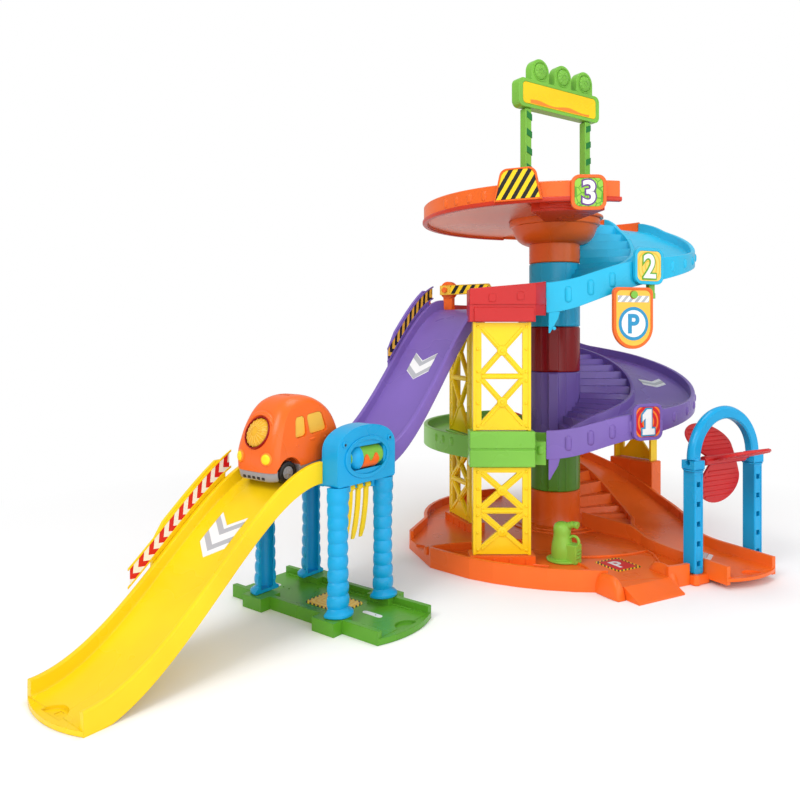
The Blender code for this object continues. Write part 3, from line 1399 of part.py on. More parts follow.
def make_gate(garage, parts):
    """The spinner gate across the exit lane: two pierced legs, an arch, and a three-paddle wheel."""
    _, direction = gate_frame()
    low = BASE_Z - 2 * MM + GAP
    pivot_z = GATE_LEG_TOP + 4 * MM
    leg_height = GATE_LEG_TOP - low
    for name, sign in (("gate_leg_left", -1), ("gate_leg_right", 1)):
        outline = rounded_outline(GATE_LEG_WIDTH, leg_height, 1.5 * MM, 1)
        holes = []
        for i in range(5):
            middle = leg_height * (0.36 - 0.19 * i)
            half = 2.6 * MM
            holes.append(
                [
                    (-half, middle - half), (half, middle - half), (half, middle + half),
                    (-half, middle + half)
                ]
            )
        leg = outline_plate(name, outline, GATE_LEG_DEPTH, holes)
        upright(leg, direction, gate_place(sign * GATE_HALF_SPAN, low + leg_height / 2))
        finish(leg, name, "blue", garage, parts)
    bar = 6.5 * MM
    rings = []
    for a in steps_between(0, 180, 15):
        middle = gate_place(
            GATE_HALF_SPAN * math.cos(math.radians(a)),
            pivot_z + 6 * MM + GATE_HALF_SPAN * math.sin(math.radians(a))
        )
        radial = heading(direction + 90) * math.cos(math.radians(a)) + Vector(
            (0, 0, math.sin(math.radians(a)))
        )
        along = heading(direction)
        rings.append(
            [
                middle + radial * x + along * y for x,
                y in ((-bar, -5 * MM), (bar, -5 * MM), (bar, 5 * MM), (-bar, 5 * MM))
            ]
        )
    arch = sweep("arch", rings)
    collars = []
    for sign in (-1, 1):
        low_z = GATE_LEG_TOP + GAP
        size = (GATE_LEG_DEPTH + 2 * MM, GATE_LEG_WIDTH + 3 * MM, 13 * MM)
        collars.append(
            bevelled(
                box("collar", size, gate_place(sign * GATE_HALF_SPAN, low_z + size[2] / 2), direction),
                1.5 * MM, 1
            )
        )
    union(arch, *collars)
    axle_radius = 2.5 * MM
    hole = rod(
        "hole", gate_place(-GATE_HALF_SPAN, pivot_z + 3 * MM), gate_place(GATE_HALF_SPAN, pivot_z + 3 * MM),
        axle_radius + RUNNING, segments=20
    )
    cut(arch, hole)
    finish(arch, "gate_arch", "blue", garage, parts)
    make_spinner(gate_place(0, pivot_z + 3 * MM), direction, axle_radius, garage, parts)


def make_spinner(pivot, direction, axle_radius, garage, parts):
    """Three ribbed paddles on one axle, a third of a turn apart."""
    across = heading(direction + 90)
    reach = GATE_HALF_SPAN - 1 * MM
    wheel = rod("axle", pivot - across * reach, pivot + across * reach, axle_radius, segments=20)
    hub = rod(
        "hub", pivot - across * (SPINNER_WIDTH / 2 + 3 * MM), pivot + across * (SPINNER_WIDTH / 2 + 3 * MM),
        5 * MM, segments=16
    )
    pieces = [hub]
    half = SPINNER_WIDTH / 2
    outline = [(-half * 0.72, 2 * MM)]
    for a in steps_between(200, 340, 20):
        angle = math.radians(a)
        outline.append(
            (
                half * 1.05 * math.cos(angle),
                -SPINNER_RADIUS * 0.52 + SPINNER_RADIUS * 0.48 * math.sin(angle)
            )
        )
    outline.append((half * 0.72, 2 * MM))
    for turn in (12, 132, 252):
        paddle = outline_plate("paddle", outline, PADDLE_THICKNESS)
        ribs = []
        for i in range(3):
            drop = -SPINNER_RADIUS * (0.32 + 0.19 * i)
            ribs.append(
                box("rib", (half * (1.7 - 0.25 * i), 2 * MM, PADDLE_THICKNESS + 1.6 * MM), (0, drop, 0))
            )
        union(paddle, *ribs)
        transform(paddle, Matrix.Rotation(math.pi / 2, 4, "X"))
        transform(paddle, Matrix.Rotation(math.radians(turn), 4, "X"))
        matrix = Matrix.Translation(pivot) @ Matrix.Rotation(math.radians(direction + 90), 4, "Z")
        pieces.append(transform(paddle, matrix))
    union(wheel, *pieces)
    finish(wheel, "spinner", "red", garage, parts, pivot)


def car_matrix():
    """The car's frame: X forwards (down the slide), Y to its left, Z up from the floor under its wheels."""
    half = WHEELBASE / 2
    rear = CAR_DISTANCE - half
    front = CAR_DISTANCE + half
    drop = yellow_floor(rear) - yellow_floor(front)
    pitch = math.atan2(drop, WHEELBASE)
    low = (yellow_floor(rear) + yellow_floor(front)) / 2
    place = down_slide(CAR_DISTANCE, z=low + GAP + CAR_LIFT)
    return (Matrix.Translation(place) @ Matrix.Rotation(math.radians(SLIDE_HEADING + 180), 4, "Z")
            @ Matrix.Rotation(pitch, 4, "Y"))


def car_shell_outline(scale=1.0, sink=0.0):
    """The car's side view: x forwards, z up."""
    front = CAR_LENGTH / 2 * scale
    points = [
        (-1, 0.18), (-0.99, 0.39), (-0.92, 0.62), (-0.76, 0.80), (-0.45, 0.94), (-0.1, 1.0), (0.25, 0.985),
        (0.5, 0.90), (0.72, 0.73), (0.86, 0.56), (0.97, 0.38), (1, 0.18)
    ]
    return [(front * x, CAR_HEIGHT * z - sink) for x, z in points]


def car_loft(name, outline, half_width, low):
    """A body lofted across its width: each side slice is drawn in towards the roof."""
    slices = []
    for t in (-1.0, -0.85, -0.4, 0.4, 0.85, 1.0):
        shrink = 1 - 0.16 * abs(t) ** 5
        ring = []
        for x, z in outline:
            height = max(0.0, (z / CAR_HEIGHT - 0.4) / 0.6)
            y = t * half_width * (1 - 0.22 * height ** 1.5)
            ring.append(Vector((x * shrink, y, low + (z - low) * (1 - 0.10 * abs(t) ** 4))))
        slices.append(ring)
    return sweep(name, slices)


def make_car(garage, parts):
    """The toy car: shell, windows, windscreen button, chassis and two wheelsets."""
    matrix = car_matrix()
    half = CAR_WIDTH / 2
    shell = car_loft("car_body", car_shell_outline(), half, 13 * MM)
    hollow = car_loft(
        "hollow", [(x * 0.93, z) for x, z in car_shell_outline(0.98, 2.6 * MM)], half - 2.6 * MM, 8 * MM
    )
    window_z = CAR_HEIGHT * 0.64
    window_height = CAR_HEIGHT * 0.2
    openings = [
        box("opening", (length, CAR_WIDTH * 2, window_height), (x, 0, window_z)) for x,
        length in ((-11 * MM, 17 * MM), (8 * MM, 11 * MM))
    ]
    screen_centre = Vector((CAR_LENGTH * 0.36, 0, CAR_HEIGHT * 0.6))
    screen_way = Vector((0.87, 0, 0.49)).normalized()
    screen = rod(
        "screen_hole", screen_centre - screen_way * 8 * MM, screen_centre + screen_way * 22 * MM,
        SCREEN_RADIUS + GAP, segments=24
    )
    slots = [
        box("slot", (2 * MM, 14 * MM, 20 * MM), ((-14 + 5 * i) * MM, 0, CAR_HEIGHT + 3 * MM))
        for i in range(4)
    ]
    wheel_rooms = [
        rod(
            "wheel_room", (sign * WHEELBASE / 2, -CAR_WIDTH, WHEEL_RADIUS),
            (sign * WHEELBASE / 2, CAR_WIDTH, WHEEL_RADIUS), WHEEL_RADIUS + 3.5 * MM, segments=20
        )
        for sign in (-1, 1)
    ]
    cut(shell, hollow, screen, *openings, *slots, *wheel_rooms)
    finish(transform(shell, matrix), "car_body", "orange", garage, parts)

    glazing = box(
        "glazing", (36 * MM, 2 * (half - 5.7 * MM), window_height + 2 * MM), (-4 * MM, 0, window_z)
    )
    bevelled(glazing, 2 * MM, 2)
    finish(transform(glazing, matrix), "car_windows", "gold", garage, parts)

    base = box("base", (CAR_LENGTH * 0.97, CAR_WIDTH * 0.9, 9 * MM), (0, 0, 8.2 * MM))
    bevelled(base, 3 * MM, 2)
    rooms = [
        rod(
            "room", (sign * WHEELBASE / 2, -CAR_WIDTH, WHEEL_RADIUS),
            (sign * WHEELBASE / 2, -14 * MM, WHEEL_RADIUS), WHEEL_RADIUS + 1.5 * MM, segments=16
        )
        for sign in (-1, 1)
    ]
    rooms += [
        rod(
            "room", (sign * WHEELBASE / 2, CAR_WIDTH, WHEEL_RADIUS),
            (sign * WHEELBASE / 2, 14 * MM, WHEEL_RADIUS), WHEEL_RADIUS + 1.5 * MM, segments=16
        )
        for sign in (-1, 1)
    ]
    rooms += [
        rod(
            "bore", (sign * WHEELBASE / 2, -CAR_WIDTH, WHEEL_RADIUS),
            (sign * WHEELBASE / 2, CAR_WIDTH, WHEEL_RADIUS), AXLE_RADIUS + RUNNING, segments=16
        )
        for sign in (-1, 1)
    ]
    cut(base, *rooms)
    finish(transform(base, matrix), "car_chassis", "grey", garage, parts)

    for name, sign in (("car_front_wheels", 1), ("car_rear_wheels", -1)):
        hub = Vector((sign * WHEELBASE / 2, 0, WHEEL_RADIUS))
        outer = CAR_WIDTH / 2 - 2 * MM
        wheels = rod(
            "axle", hub - Vector((0, outer, 0)), hub + Vector((0, outer, 0)), AXLE_RADIUS, segments=16
        )
        discs = [
            rod(
                "wheel", hub + Vector((0, s * outer, 0)), hub + Vector((0, s * (outer - WHEEL_WIDTH), 0)),
                WHEEL_RADIUS, segments=20
            )
            for s in (-1, 1)
        ]
        union(wheels, *discs)
        finish(transform(wheels, matrix), name, "black", garage, parts, matrix @ hub)

    profile = [
        (0, 8 * MM), (SCREEN_RADIUS * 0.5, 7.4 * MM), (SCREEN_RADIUS * 0.85, 5.6 * MM),
        (SCREEN_RADIUS, 3 * MM), (SCREEN_RADIUS, -4 * MM), (0, -4 * MM)
    ]
    button = turned("button", profile, 24)
    turn = Vector((0, 0, 1)).rotation_difference(screen_way).to_matrix().to_4x4()
    transform(button, Matrix.Translation(screen_centre) @ turn)
    finish(transform(button, matrix), "car_windscreen", "amber", garage, parts, matrix @ screen_centre)


def centre_on_floor(garage, parts):
    """Moves the whole garage so that its bounding box stands centred on the origin."""
    bpy.context.view_layer.update()
    corners = [
        obj.matrix_world @ Vector(corner) for obj in parts.objects if obj.type == "MESH"
        for corner in obj.bound_box
    ]
    low = Vector(map(min, zip(*corners)))
    high = Vector(map(max, zip(*corners)))
    garage.location = Vector((-(low.x + high.x) / 2, -(low.y + high.y) / 2, -low.z))
    bpy.context.view_layer.update()
    print(
        "garage moved by", [round(v * 1000, 3) for v in garage.location], "size",
        [round(v * 1000, 1) for v in high - low]
    )


def main():
    clear_scene()
    parts = new_collection("toy_parking_garage")
    garage = bpy.data.objects.new("garage", None)
    parts.objects.link(garage)
    make_base(garage, parts)
    make_base_ramp(garage, parts)
    make_pump(garage, parts)
    make_column(garage, parts)
    make_level_1(garage, parts)
    make_spirals(garage, parts)
    make_level_2(garage, parts)
    make_level_3(garage, parts)
    make_trusses(garage, parts)
    make_signs(garage, parts)
    make_parking_sign(garage, parts)
    make_arch(garage, parts)
    make_barrier(garage, parts)
    make_slides(garage, parts)
    make_bridge(garage, parts)
    make_legs(garage, parts)
    make_green_track(garage, parts)
    make_gate(garage, parts)
    make_car(garage, parts)
    centre_on_floor(garage, parts)


main()
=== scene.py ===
# %% [markdown]
# # A toy parking garage
# This lesson dresses the solids of a toy parking garage: a spiral tower with three levels, two slides
# over a wash bridge, a spinner gate and a small car. The solids come in as a fixed frame. Each step
# adds what a moulded toy shows up close: soft edges, ribs, rivets, printed labels and the gloss of
# plastic.

# %% Load the frame
import json
import math
from math import cos, pi, radians, sin

import bmesh
import bpy
from mathutils import Matrix, Vector


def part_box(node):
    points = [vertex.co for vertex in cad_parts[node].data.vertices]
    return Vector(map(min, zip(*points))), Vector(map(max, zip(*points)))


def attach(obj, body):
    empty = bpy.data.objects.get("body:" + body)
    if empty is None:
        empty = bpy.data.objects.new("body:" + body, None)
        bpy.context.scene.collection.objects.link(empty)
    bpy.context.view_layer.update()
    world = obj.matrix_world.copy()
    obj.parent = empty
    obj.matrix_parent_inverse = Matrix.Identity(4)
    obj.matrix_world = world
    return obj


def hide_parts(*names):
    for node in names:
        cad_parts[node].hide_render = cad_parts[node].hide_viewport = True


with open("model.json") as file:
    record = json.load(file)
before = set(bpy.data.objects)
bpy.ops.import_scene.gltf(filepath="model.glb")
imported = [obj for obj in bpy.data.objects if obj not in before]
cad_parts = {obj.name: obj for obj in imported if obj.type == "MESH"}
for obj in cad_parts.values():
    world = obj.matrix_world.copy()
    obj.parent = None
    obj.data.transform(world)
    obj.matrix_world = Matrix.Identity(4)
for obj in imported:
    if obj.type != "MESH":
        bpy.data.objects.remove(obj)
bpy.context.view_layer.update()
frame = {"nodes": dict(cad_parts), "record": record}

MM = 0.001


def mm(*values):
    """Sizes given in millimetres, as a tuple in metres."""
    return tuple(value * MM for value in values)


def in_mm(*points):
    """Points given in millimetres."""
    return [mm(*point) for point in points]


def upward(height):
    return Vector((0, 0, height))


def sideways(distance):
    return Vector((0, distance, 0))


# %% [markdown]
# ## Where things are
# The column's axis is the reference for the tower, and a second frame runs down the slides. Two small
# functions give a point from an angle and radius, or from a distance down the slides, so every rib and
# label is placed by the same few numbers as the solid that carries it.

# %% Shared sizes and places
TRACK_WIDTH = 76 * MM
RIM_HEIGHT = 12 * MM
RIM_WALL = 5 * MM
FLOOR = 4 * MM
SKIRT = 7 * MM
GAP = 0.3 * MM
COLUMN_RADIUS = 32.5 * MM
RING_OUTER = 171 * MM
RING_INNER = RING_OUTER - TRACK_WIDTH
RING_MIDDLE = RING_OUTER - TRACK_WIDTH / 2
BASE_Z = 12 * MM
LEVEL_1_Z = 130 * MM
LEVEL_2_Z = 289 * MM
LEVEL_3_Z = 411 * MM
BRIDGE_Z = 135 * MM
SLIDE_HEADING = 52.0
PURPLE_LENGTH = 210 * MM
BRIDGE_LENGTH = 80 * MM
YELLOW_LENGTH = 220 * MM
YELLOW_END_Z = 4.4 * MM

column_low, column_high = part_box("column_purple")
TOWER = Vector(((column_low.x + column_high.x) / 2, (column_low.y + column_high.y) / 2, 0))


def heading(degrees):
    return Vector((cos(radians(degrees)), sin(radians(degrees)), 0))


def polar(radius, degrees, z=0.0):
    """A point round the column."""
    return TOWER + heading(degrees) * radius + upward(z)


SLIDE_TOP = TOWER + Vector((-121.4 * MM, -63.0 * MM, 0))
DOWNHILL = -heading(SLIDE_HEADING)
ACROSS = heading(SLIDE_HEADING - 90)
BRIDGE_END = PURPLE_LENGTH + BRIDGE_LENGTH
BRIDGE_MIDDLE = PURPLE_LENGTH + GAP / 2 + BRIDGE_LENGTH / 2


def down_slide(distance, side=0.0, z=0.0):
    """A point at a plan distance down the slides."""
    return SLIDE_TOP + DOWNHILL * distance + ACROSS * side + upward(z)


def smooth_step(t):
    t = min(1.0, max(0.0, t))
    return t * t * (3 - 2 * t)


def purple_floor(distance):
    return LEVEL_2_Z + (BRIDGE_Z - LEVEL_2_Z) * smooth_step(distance / PURPLE_LENGTH)


def yellow_floor(distance):
    return BRIDGE_Z + (YELLOW_END_Z - BRIDGE_Z) * smooth_step((distance - BRIDGE_END) / YELLOW_LENGTH)


print("column at", [round(v, 3) for v in TOWER], "slide top at", [round(v, 3) for v in SLIDE_TOP])

# %% [markdown]
# ## Ramp heights
# A spiral ramp is level where it meets a deck and falls in between. The same falls as in the solids are
# listed as shares of the drop, then averaged over a small angle so that the floor has no kinks.

# %% Ramp floors
BACK = 105.0
FRONT_LEFT = -105.0
BACK_LEFT = -255.0
RAMP_3_END = 33.0
RAMP_3_FOOT_Z = LEVEL_3_Z - 6 * MM
RAMP_LEVEL = 6.0
RAMP_OVERRUN = 20.0
AVERAGE_SPAN = 12.0
PURPLE_FALLS = ((66, 0.64), (38, 0.553), (15, 0.453), (-22, 0.277), (-77, 0.126))
BLUE_FALLS = ((22, 0.897), (1, 0.716), (-20, 0.526), (-75, 0.233))
BASE_FALLS = ((66, 0.525), (46, 0.356), (20, 0.085))


def ramp_floor(start, end, high, low, falls):
    points = [(start + RAMP_OVERRUN, high), (start - RAMP_LEVEL, high)]
    points += [(degrees, low + (high - low) * share) for degrees, share in falls]
    points += [(end + RAMP_LEVEL, low), (end - RAMP_OVERRUN, low)]

    def raw(degrees):
        for (a0, z0), (a1, z1) in zip(points, points[1:]):
            if degrees >= a1:
                return z0 + (z1 - z0) * min(1.0, max(0.0, (a0 - degrees) / (a0 - a1)))
        return points[-1][1]

    def floor(degrees):
        return sum(raw(degrees + AVERAGE_SPAN * (i / 4 - 0.5)) for i in range(5)) / 5

    return floor


purple_ramp_floor = ramp_floor(BACK, FRONT_LEFT, LEVEL_2_Z, LEVEL_1_Z, PURPLE_FALLS)
blue_ramp_floor = ramp_floor(RAMP_3_END, FRONT_LEFT, RAMP_3_FOOT_Z, LEVEL_2_Z, BLUE_FALLS)
base_ramp_floor = ramp_floor(BACK, -6.0, LEVEL_1_Z, BASE_Z, BASE_FALLS)
top_ramp_floor = ramp_floor(BACK, RAMP_3_END, LEVEL_3_Z, RAMP_3_FOOT_Z, ())


def rising_rim(start, end, extra):
    """An outer rim that grows by extra on the way down."""
    return lambda degrees: RIM_HEIGHT + extra * smooth_step((start - degrees) / (start - end))


purple_rim = rising_rim(-22, FRONT_LEFT, 12 * MM)
blue_rim = rising_rim(-20, FRONT_LEFT, 14 * MM)
print("purple ramp falls from", purple_ramp_floor(BACK), "to", purple_ramp_floor(FRONT_LEFT))

# %% [markdown]
# ## Moulded plastic
# Toy plastic is one colour right through, glossy but not mirror-like, with a faint orange-peel skin and
# slightly duller patches where hands have rubbed it. One function builds it: a broad noise shifts the
# shade and the roughness, a fine noise gives the skin, and a bevel node rounds the light on edges that
# the solids leave sharp.

# %% Plastic materials
EDGE_RADIUS = 0.7 * MM
SKIN_DEPTH = 0.1 * MM
SKIN_SCALE = 520
CLOUD_SCALE = 11


def new_material(name, roughness, specular=0.32):
    material = bpy.data.materials.new(name)
    material.use_nodes = True
    shader = material.node_tree.nodes["Principled BSDF"]
    shader.inputs["Roughness"].default_value = roughness
    shader.inputs["Specular IOR Level"].default_value = specular
    return material, material.node_tree, shader


def add_node(tree, kind, inputs):
    """A shader node with its named inputs set to a value or linked to another node's output."""
    node = tree.nodes.new("ShaderNode" + kind)
    for name, value in inputs.items():
        if isinstance(value, bpy.types.NodeSocket):
            tree.links.new(value, node.inputs[name])
        else:
            node.inputs[name].default_value = value
    return node


def own_coordinates(tree):
    return add_node(tree, "TexCoord", {}).outputs["Object"]


def map_range(tree, value, low, high, to_low, to_high):
    inputs = {"Value": value, "From Min": low, "From Max": high, "To Min": to_low, "To Max": to_high}
    return add_node(tree, "MapRange", inputs).outputs["Result"]


def noise(tree, scale, detail):
    inputs = {"Vector": own_coordinates(tree), "Scale": scale, "Detail": detail}
    return add_node(tree, "TexNoise", inputs).outputs["Fac"]


def mix_colours(tree, factor, first, second):
    """The first colour where factor is 0, the second where it is 1."""
    node = tree.nodes.new("ShaderNodeMix")
    node.data_type = "RGBA"
    tree.links.new(factor, node.inputs["Factor"])
    colour_inputs = [socket for socket in node.inputs if socket.type == "RGBA"]
    for socket, colour in zip(colour_inputs, (first, second)):
        socket.default_value = (*colour, 1.0)
    return [socket for socket in node.outputs if socket.type == "RGBA"][0]


def add_skin(tree, shader, grain, edge=EDGE_RADIUS):
    """The orange-peel bump, over edges that catch the light as if they were rounded."""
    rounding = add_node(tree, "Bevel", {"Radius": edge})
    rounding.samples = 4
    inputs = {"Strength": grain, "Distance": SKIN_DEPTH, "Normal": rounding.outputs["Normal"]}
    bump = add_node(tree, "Bump", {"Height": noise(tree, SKIN_SCALE, 2), **inputs})
    tree.links.new(bump.outputs["Normal"], shader.inputs["Normal"])


def moulded(name, colour, gloss=0.27, shade=0.86, grain=0.10):
    material, tree, shader = new_material(name, gloss)
    cloud = noise(tree, CLOUD_SCALE, 3)
    factor = map_range(tree, cloud, 0.35, 0.65, 0.0, 1.0)
    darker = tuple(value * shade for value in colour)
    tree.links.new(mix_colours(tree, factor, darker, colour), shader.inputs["Base Color"])
    tree.links.new(map_range(tree, cloud, 0.3, 0.7, gloss - 0.04, gloss + 0.08), shader.inputs["Roughness"])
    add_skin(tree, shader, grain)
    return material


COLOURS = {
    "orange": (0.90, 0.145, 0.014),
    "yellow": (0.95, 0.64, 0.006),
    "purple": (0.20, 0.12, 0.44),
    "light_blue": (0.012, 0.47, 0.74),
    "blue": (0.003, 0.36, 0.70),
    "red": (0.56, 0.014, 0.014),
    "dark_red": (0.32, 0.003, 0.005),
    "green": (0.10, 0.34, 0.02),
    "lime": (0.20, 0.52, 0.055),
    "grey": (0.33, 0.32, 0.34),
    "black": (0.018, 0.018, 0.02),
    "amber": (0.80, 0.42, 0.02),
    "gold": (0.86, 0.52, 0.05),
    "deep_orange": (0.62, 0.035, 0.010),
    # Painted bounce light: the paler salmon of the top deck's underside stands in for light reflected up
    # onto it.
    "salmon": (0.95, 0.28, 0.15),
    "bright_green": (0.27, 0.56, 0.06),
}
PRINTS = {
    "white": (0.80, 0.80, 0.80),
    "pale_grey": (0.50, 0.51, 0.54),
    "blue": (0.02, 0.27, 0.50),
    "green": (0.12, 0.40, 0.03),
    "purple": (0.14, 0.05, 0.26),
    "gold": (0.88, 0.50, 0.06),
    "yellow": (0.95, 0.70, 0.01),
    "orange": (0.90, 0.25, 0.02),
    "red": (0.66, 0.012, 0.02),
}
PRINT_LOOK = (0.35, 0.96, 0.03)
plastic = {name: moulded("moulded_" + name, colour) for name, colour in COLOURS.items()}
for name, colour in PRINTS.items():
    key = name if name in ("white", "pale_grey") else "ink_" + name
    plastic[key] = moulded("printed_" + name, colour, *PRINT_LOOK)
# Painted shade: a dark green for thin plates that stand in for the shadowed slanted recesses on the sign's
# posts.
plastic["deep_green"] = moulded("inset_deep_green", (0.01, 0.20, 0.03))

slot_of = {row["node"]: row["material_slot"] for row in frame["record"]["subparts"]}
for node, obj in frame["nodes"].items():
    colour = slot_of[node].replace("plastic_", "")
    obj.data.materials.clear()
    obj.data.materials.append(plastic[colour])
print(len(plastic), "plastics on", len(slot_of), "nodes")

# %% [markdown]
# ## Tools for shapes
# Nearly every piece is a loft, a turned profile, a flat plate or a rounded box, so each gets a short
# function that adds it to a mesh. A piece is then finished in one place: normals, smooth shading up to
# an angle, an optional bevel, its plastic, and the body that it moves with.

# %% Shape helpers
TURN_STEPS = 32
STUD_STEPS = 16
SHARP = 35
BEVEL_FROM = 30


def add_loft(bm, rings, caps=True):
    """A skin over closed rings that all have as many points."""
    rows = [[bm.verts.new(point) for point in ring] for ring in rings]
    count = len(rows[0])
    for near, far in zip(rows, rows[1:]):
        for i in range(count):
            j = (i + 1) % count
            bm.faces.new((near[i], near[j], far[j], far[i]))
    if caps:
        bm.faces.new(rows[0][::-1])
        bm.faces.new(rows[-1])


def add_box(bm, size, centre, turn=0.0):
    verts = bmesh.ops.create_cube(bm, size=1.0)["verts"]
    bmesh.ops.scale(bm, vec=Vector(size), verts=verts)
    bmesh.ops.rotate(bm, matrix=Matrix.Rotation(radians(turn), 3, "Z"), verts=verts)
    bmesh.ops.translate(bm, vec=Vector(centre), verts=verts)


def add_turned(bm, profile, matrix, steps=TURN_STEPS):
    """A profile of (radius, height) pairs, turned about its own Z and set in place by matrix."""
    angles = [2 * pi * i / steps for i in range(steps)]
    add_loft(bm, [[matrix @ Vector((radius * cos(a), radius * sin(a), height)) for a in angles]
                  for radius, height in profile])


def turned(degrees, axis="Z"):
    return Matrix.Rotation(radians(degrees), 4, axis)


def along_axis(start, way):
    """A matrix whose Z runs along way from start."""
    turn = upward(1).rotation_difference(Vector(way).normalized())
    return Matrix.Translation(Vector(start)) @ turn.to_matrix().to_4x4()


def add_rod(bm, start, end, radius, end_radius=None, steps=24):
    start, end = Vector(start), Vector(end)
    tip = radius if end_radius is None else end_radius
    add_turned(bm, [(radius, 0), (tip, (end - start).length)], along_axis(start, end - start), steps)


def add_stud(bm, place, way, radius, height):
    """A low dome, such as a rivet's head."""
    profile = [(radius, -0.3 * MM), (radius, height * 0.2)]
    profile += [(radius * cos(a), height * (0.2 + 0.8 * sin(a))) for a in (0.5, 0.95, 1.3, 1.5)]
    add_turned(bm, profile, along_axis(place, way), STUD_STEPS)


def add_plate(bm, outline, thickness, matrix):
    """A flat plate from a 2D outline, centred on its own z = 0."""
    half = thickness / 2
    add_loft(bm, [[matrix @ Vector((x, y, z)) for x, y in outline] for z in (-half, half)])


def make_object(name, bm, colour, bevel, steps, sharp, bevel_from):
    """The mesh as an object: normals out, its plastic, and smooth shading up to the angle called sharp."""
    bmesh.ops.recalc_face_normals(bm, faces=bm.faces)
    mesh = bpy.data.meshes.new(name)
    bm.to_mesh(mesh)
    bm.free()
    obj = bpy.data.objects.new(name, mesh)
    bpy.context.scene.collection.objects.link(obj)
    mesh.materials.append(plastic[colour])
    mesh.shade_smooth()
    mesh.set_sharp_from_angle(angle=radians(sharp))
    if bevel:
        rounding = obj.modifiers.new("soft_edges", "BEVEL")
        rounding.width = bevel
        rounding.segments = steps
        rounding.limit_method = "ANGLE"
        rounding.angle_limit = radians(bevel_from)
        rounding.harden_normals = True
    return obj


def piece(name, bm, colour, body="garage", bevel=0.0, steps=2, sharp=SHARP, stands_for=()):
    """A finished piece that was built in place."""
    obj = make_object(name, bm, colour, bevel, steps, sharp, sharp)
    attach(obj, body)
    if stands_for:
        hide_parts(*stands_for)


def placed(name, bm, colour, matrix, body="garage", bevel=0.0, steps=2, stands_for=()):
    """A finished piece that was built flat in its own coordinates and is set in place by matrix."""
    obj = make_object(name, bm, colour, bevel, steps, SHARP, BEVEL_FROM)
    obj.matrix_world = matrix
    bpy.context.view_layer.update()
    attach(obj, body)
    if stands_for:
        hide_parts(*stands_for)


def spread(start, end, step):
    """Values from start to end, evenly spaced and at most step apart."""
    count = max(1, math.ceil(abs(end - start) / step - 1e-9))
    return [start + (end - start) * i / count for i in range(count + 1)]


def arc(x, y, radius, start, end, step):
    """Points of a round stretch between two angles in degrees."""
    return [(x + radius * cos(radians(a)), y + radius * sin(radians(a))) for a in spread(start, end, step)]


def rounded_outline(width, height, radius, steps=6):
    points = []
    for cx, cy, start in ((1, 1, 0), (-1, 1, 90), (-1, -1, 180), (1, -1, 270)):
        points += arc(
            cx * (width / 2 - radius), cy * (height / 2 - radius), radius, start, start + 90, 90 / steps
        )
    return points


def circle(radius, steps, x=0.0, y=0.0):
    angles = [2 * pi * i / steps for i in range(steps)]
    return [(x + radius * cos(a), y + radius * sin(a)) for a in angles]


def facing(degrees, centre):
    """A matrix for a flat plate that stands up and looks along a heading."""
    turn = turned(degrees + 90) @ turned(90, "X")
    return Matrix.Translation(Vector(centre)) @ turn


print("helpers ready")

# %% [markdown]
# ## The track
# Slides, ramps and lanes share one cross-section: a floor between two rims, with a skirt that hides the
# hollow underside. Sweeping it along a path with short steps gives long clean curves. The rims' tops
# are eased by two points each and the floor meets them in a small fillet, as in the mould.

# %% Track sections and paths
RIM_EASE = 1.1 * MM
FILLET = 2.6 * MM
SLIDE_STEP = 5 * MM
ARC_STEP = 2.5


def track_section(skirt=SKIRT, right=RIM_HEIGHT):
    """(across, up) pairs, listed round the section."""
    half = TRACK_WIDTH / 2
    inner = half - RIM_WALL

    def rim(height):
        ease = RIM_EASE * 0.3
        return [
            (half, -skirt), (half, height - RIM_EASE), (half - ease, height - ease),
            (half - RIM_EASE, height), (inner + RIM_EASE, height), (inner + ease, height - ease),
            (inner, height - RIM_EASE), (inner, FILLET), (inner - FILLET * 0.29, FILLET * 0.29),
            (inner - FILLET, 0)
        ]

    under = [(-half, -skirt), (-inner, -skirt), (-inner, -FLOOR), (inner, -FLOOR), (inner, -skirt)]
    left_side = [(-a, b) for a, b in rim(RIM_HEIGHT)][1:]
    return rim(right) + left_side[::-1] + under


def on_section(section, origin, across):
    return [origin + across * a + upward(b) for a, b in section]


def add_slide(bm, start, end, floor):
    rings = []
    for distance in spread(start, end, SLIDE_STEP):
        z = floor(distance)
        rings.append(on_section(track_section(min(SKIRT, z)), down_slide(distance, z=z), ACROSS))
    add_loft(bm, rings)


def ramp_rings(start, end, floor, rim):
    rings = []
    for degrees in spread(start, end, ARC_STEP):
        z = floor(degrees)
        section = track_section(min(SKIRT, z), right=rim(degrees))
        rings.append(on_section(section, polar(RING_MIDDLE, degrees, z), heading(degrees)))
    return rings


STAIR_STEP = 12.0
STAIR_RISER = 1.8
STAIR_THICKNESS = 11 * MM
STAIR_LIFT = 5 * MM


def add_stairs(bm, start, end, floor, hub=COLUMN_RADIUS + GAP):
    """The stepped web between a ramp and the column."""
    reach = RING_INNER + RIM_WALL / 2
    half = (reach - hub) / 2
    section = [(-half, -STAIR_THICKNESS), (half, -STAIR_THICKNESS), (half, 0), (-half, 0)]
    edges = spread(start, end, STAIR_STEP)
    rings = []
    for near, far in zip(edges, edges[1:]):
        tread = floor((near + far) / 2) + STAIR_LIFT
        for degrees in (near - STAIR_RISER if rings else near, far):
            rings.append(on_section(section, polar((hub + reach) / 2, degrees, tread), heading(degrees)))
    add_loft(bm, rings)


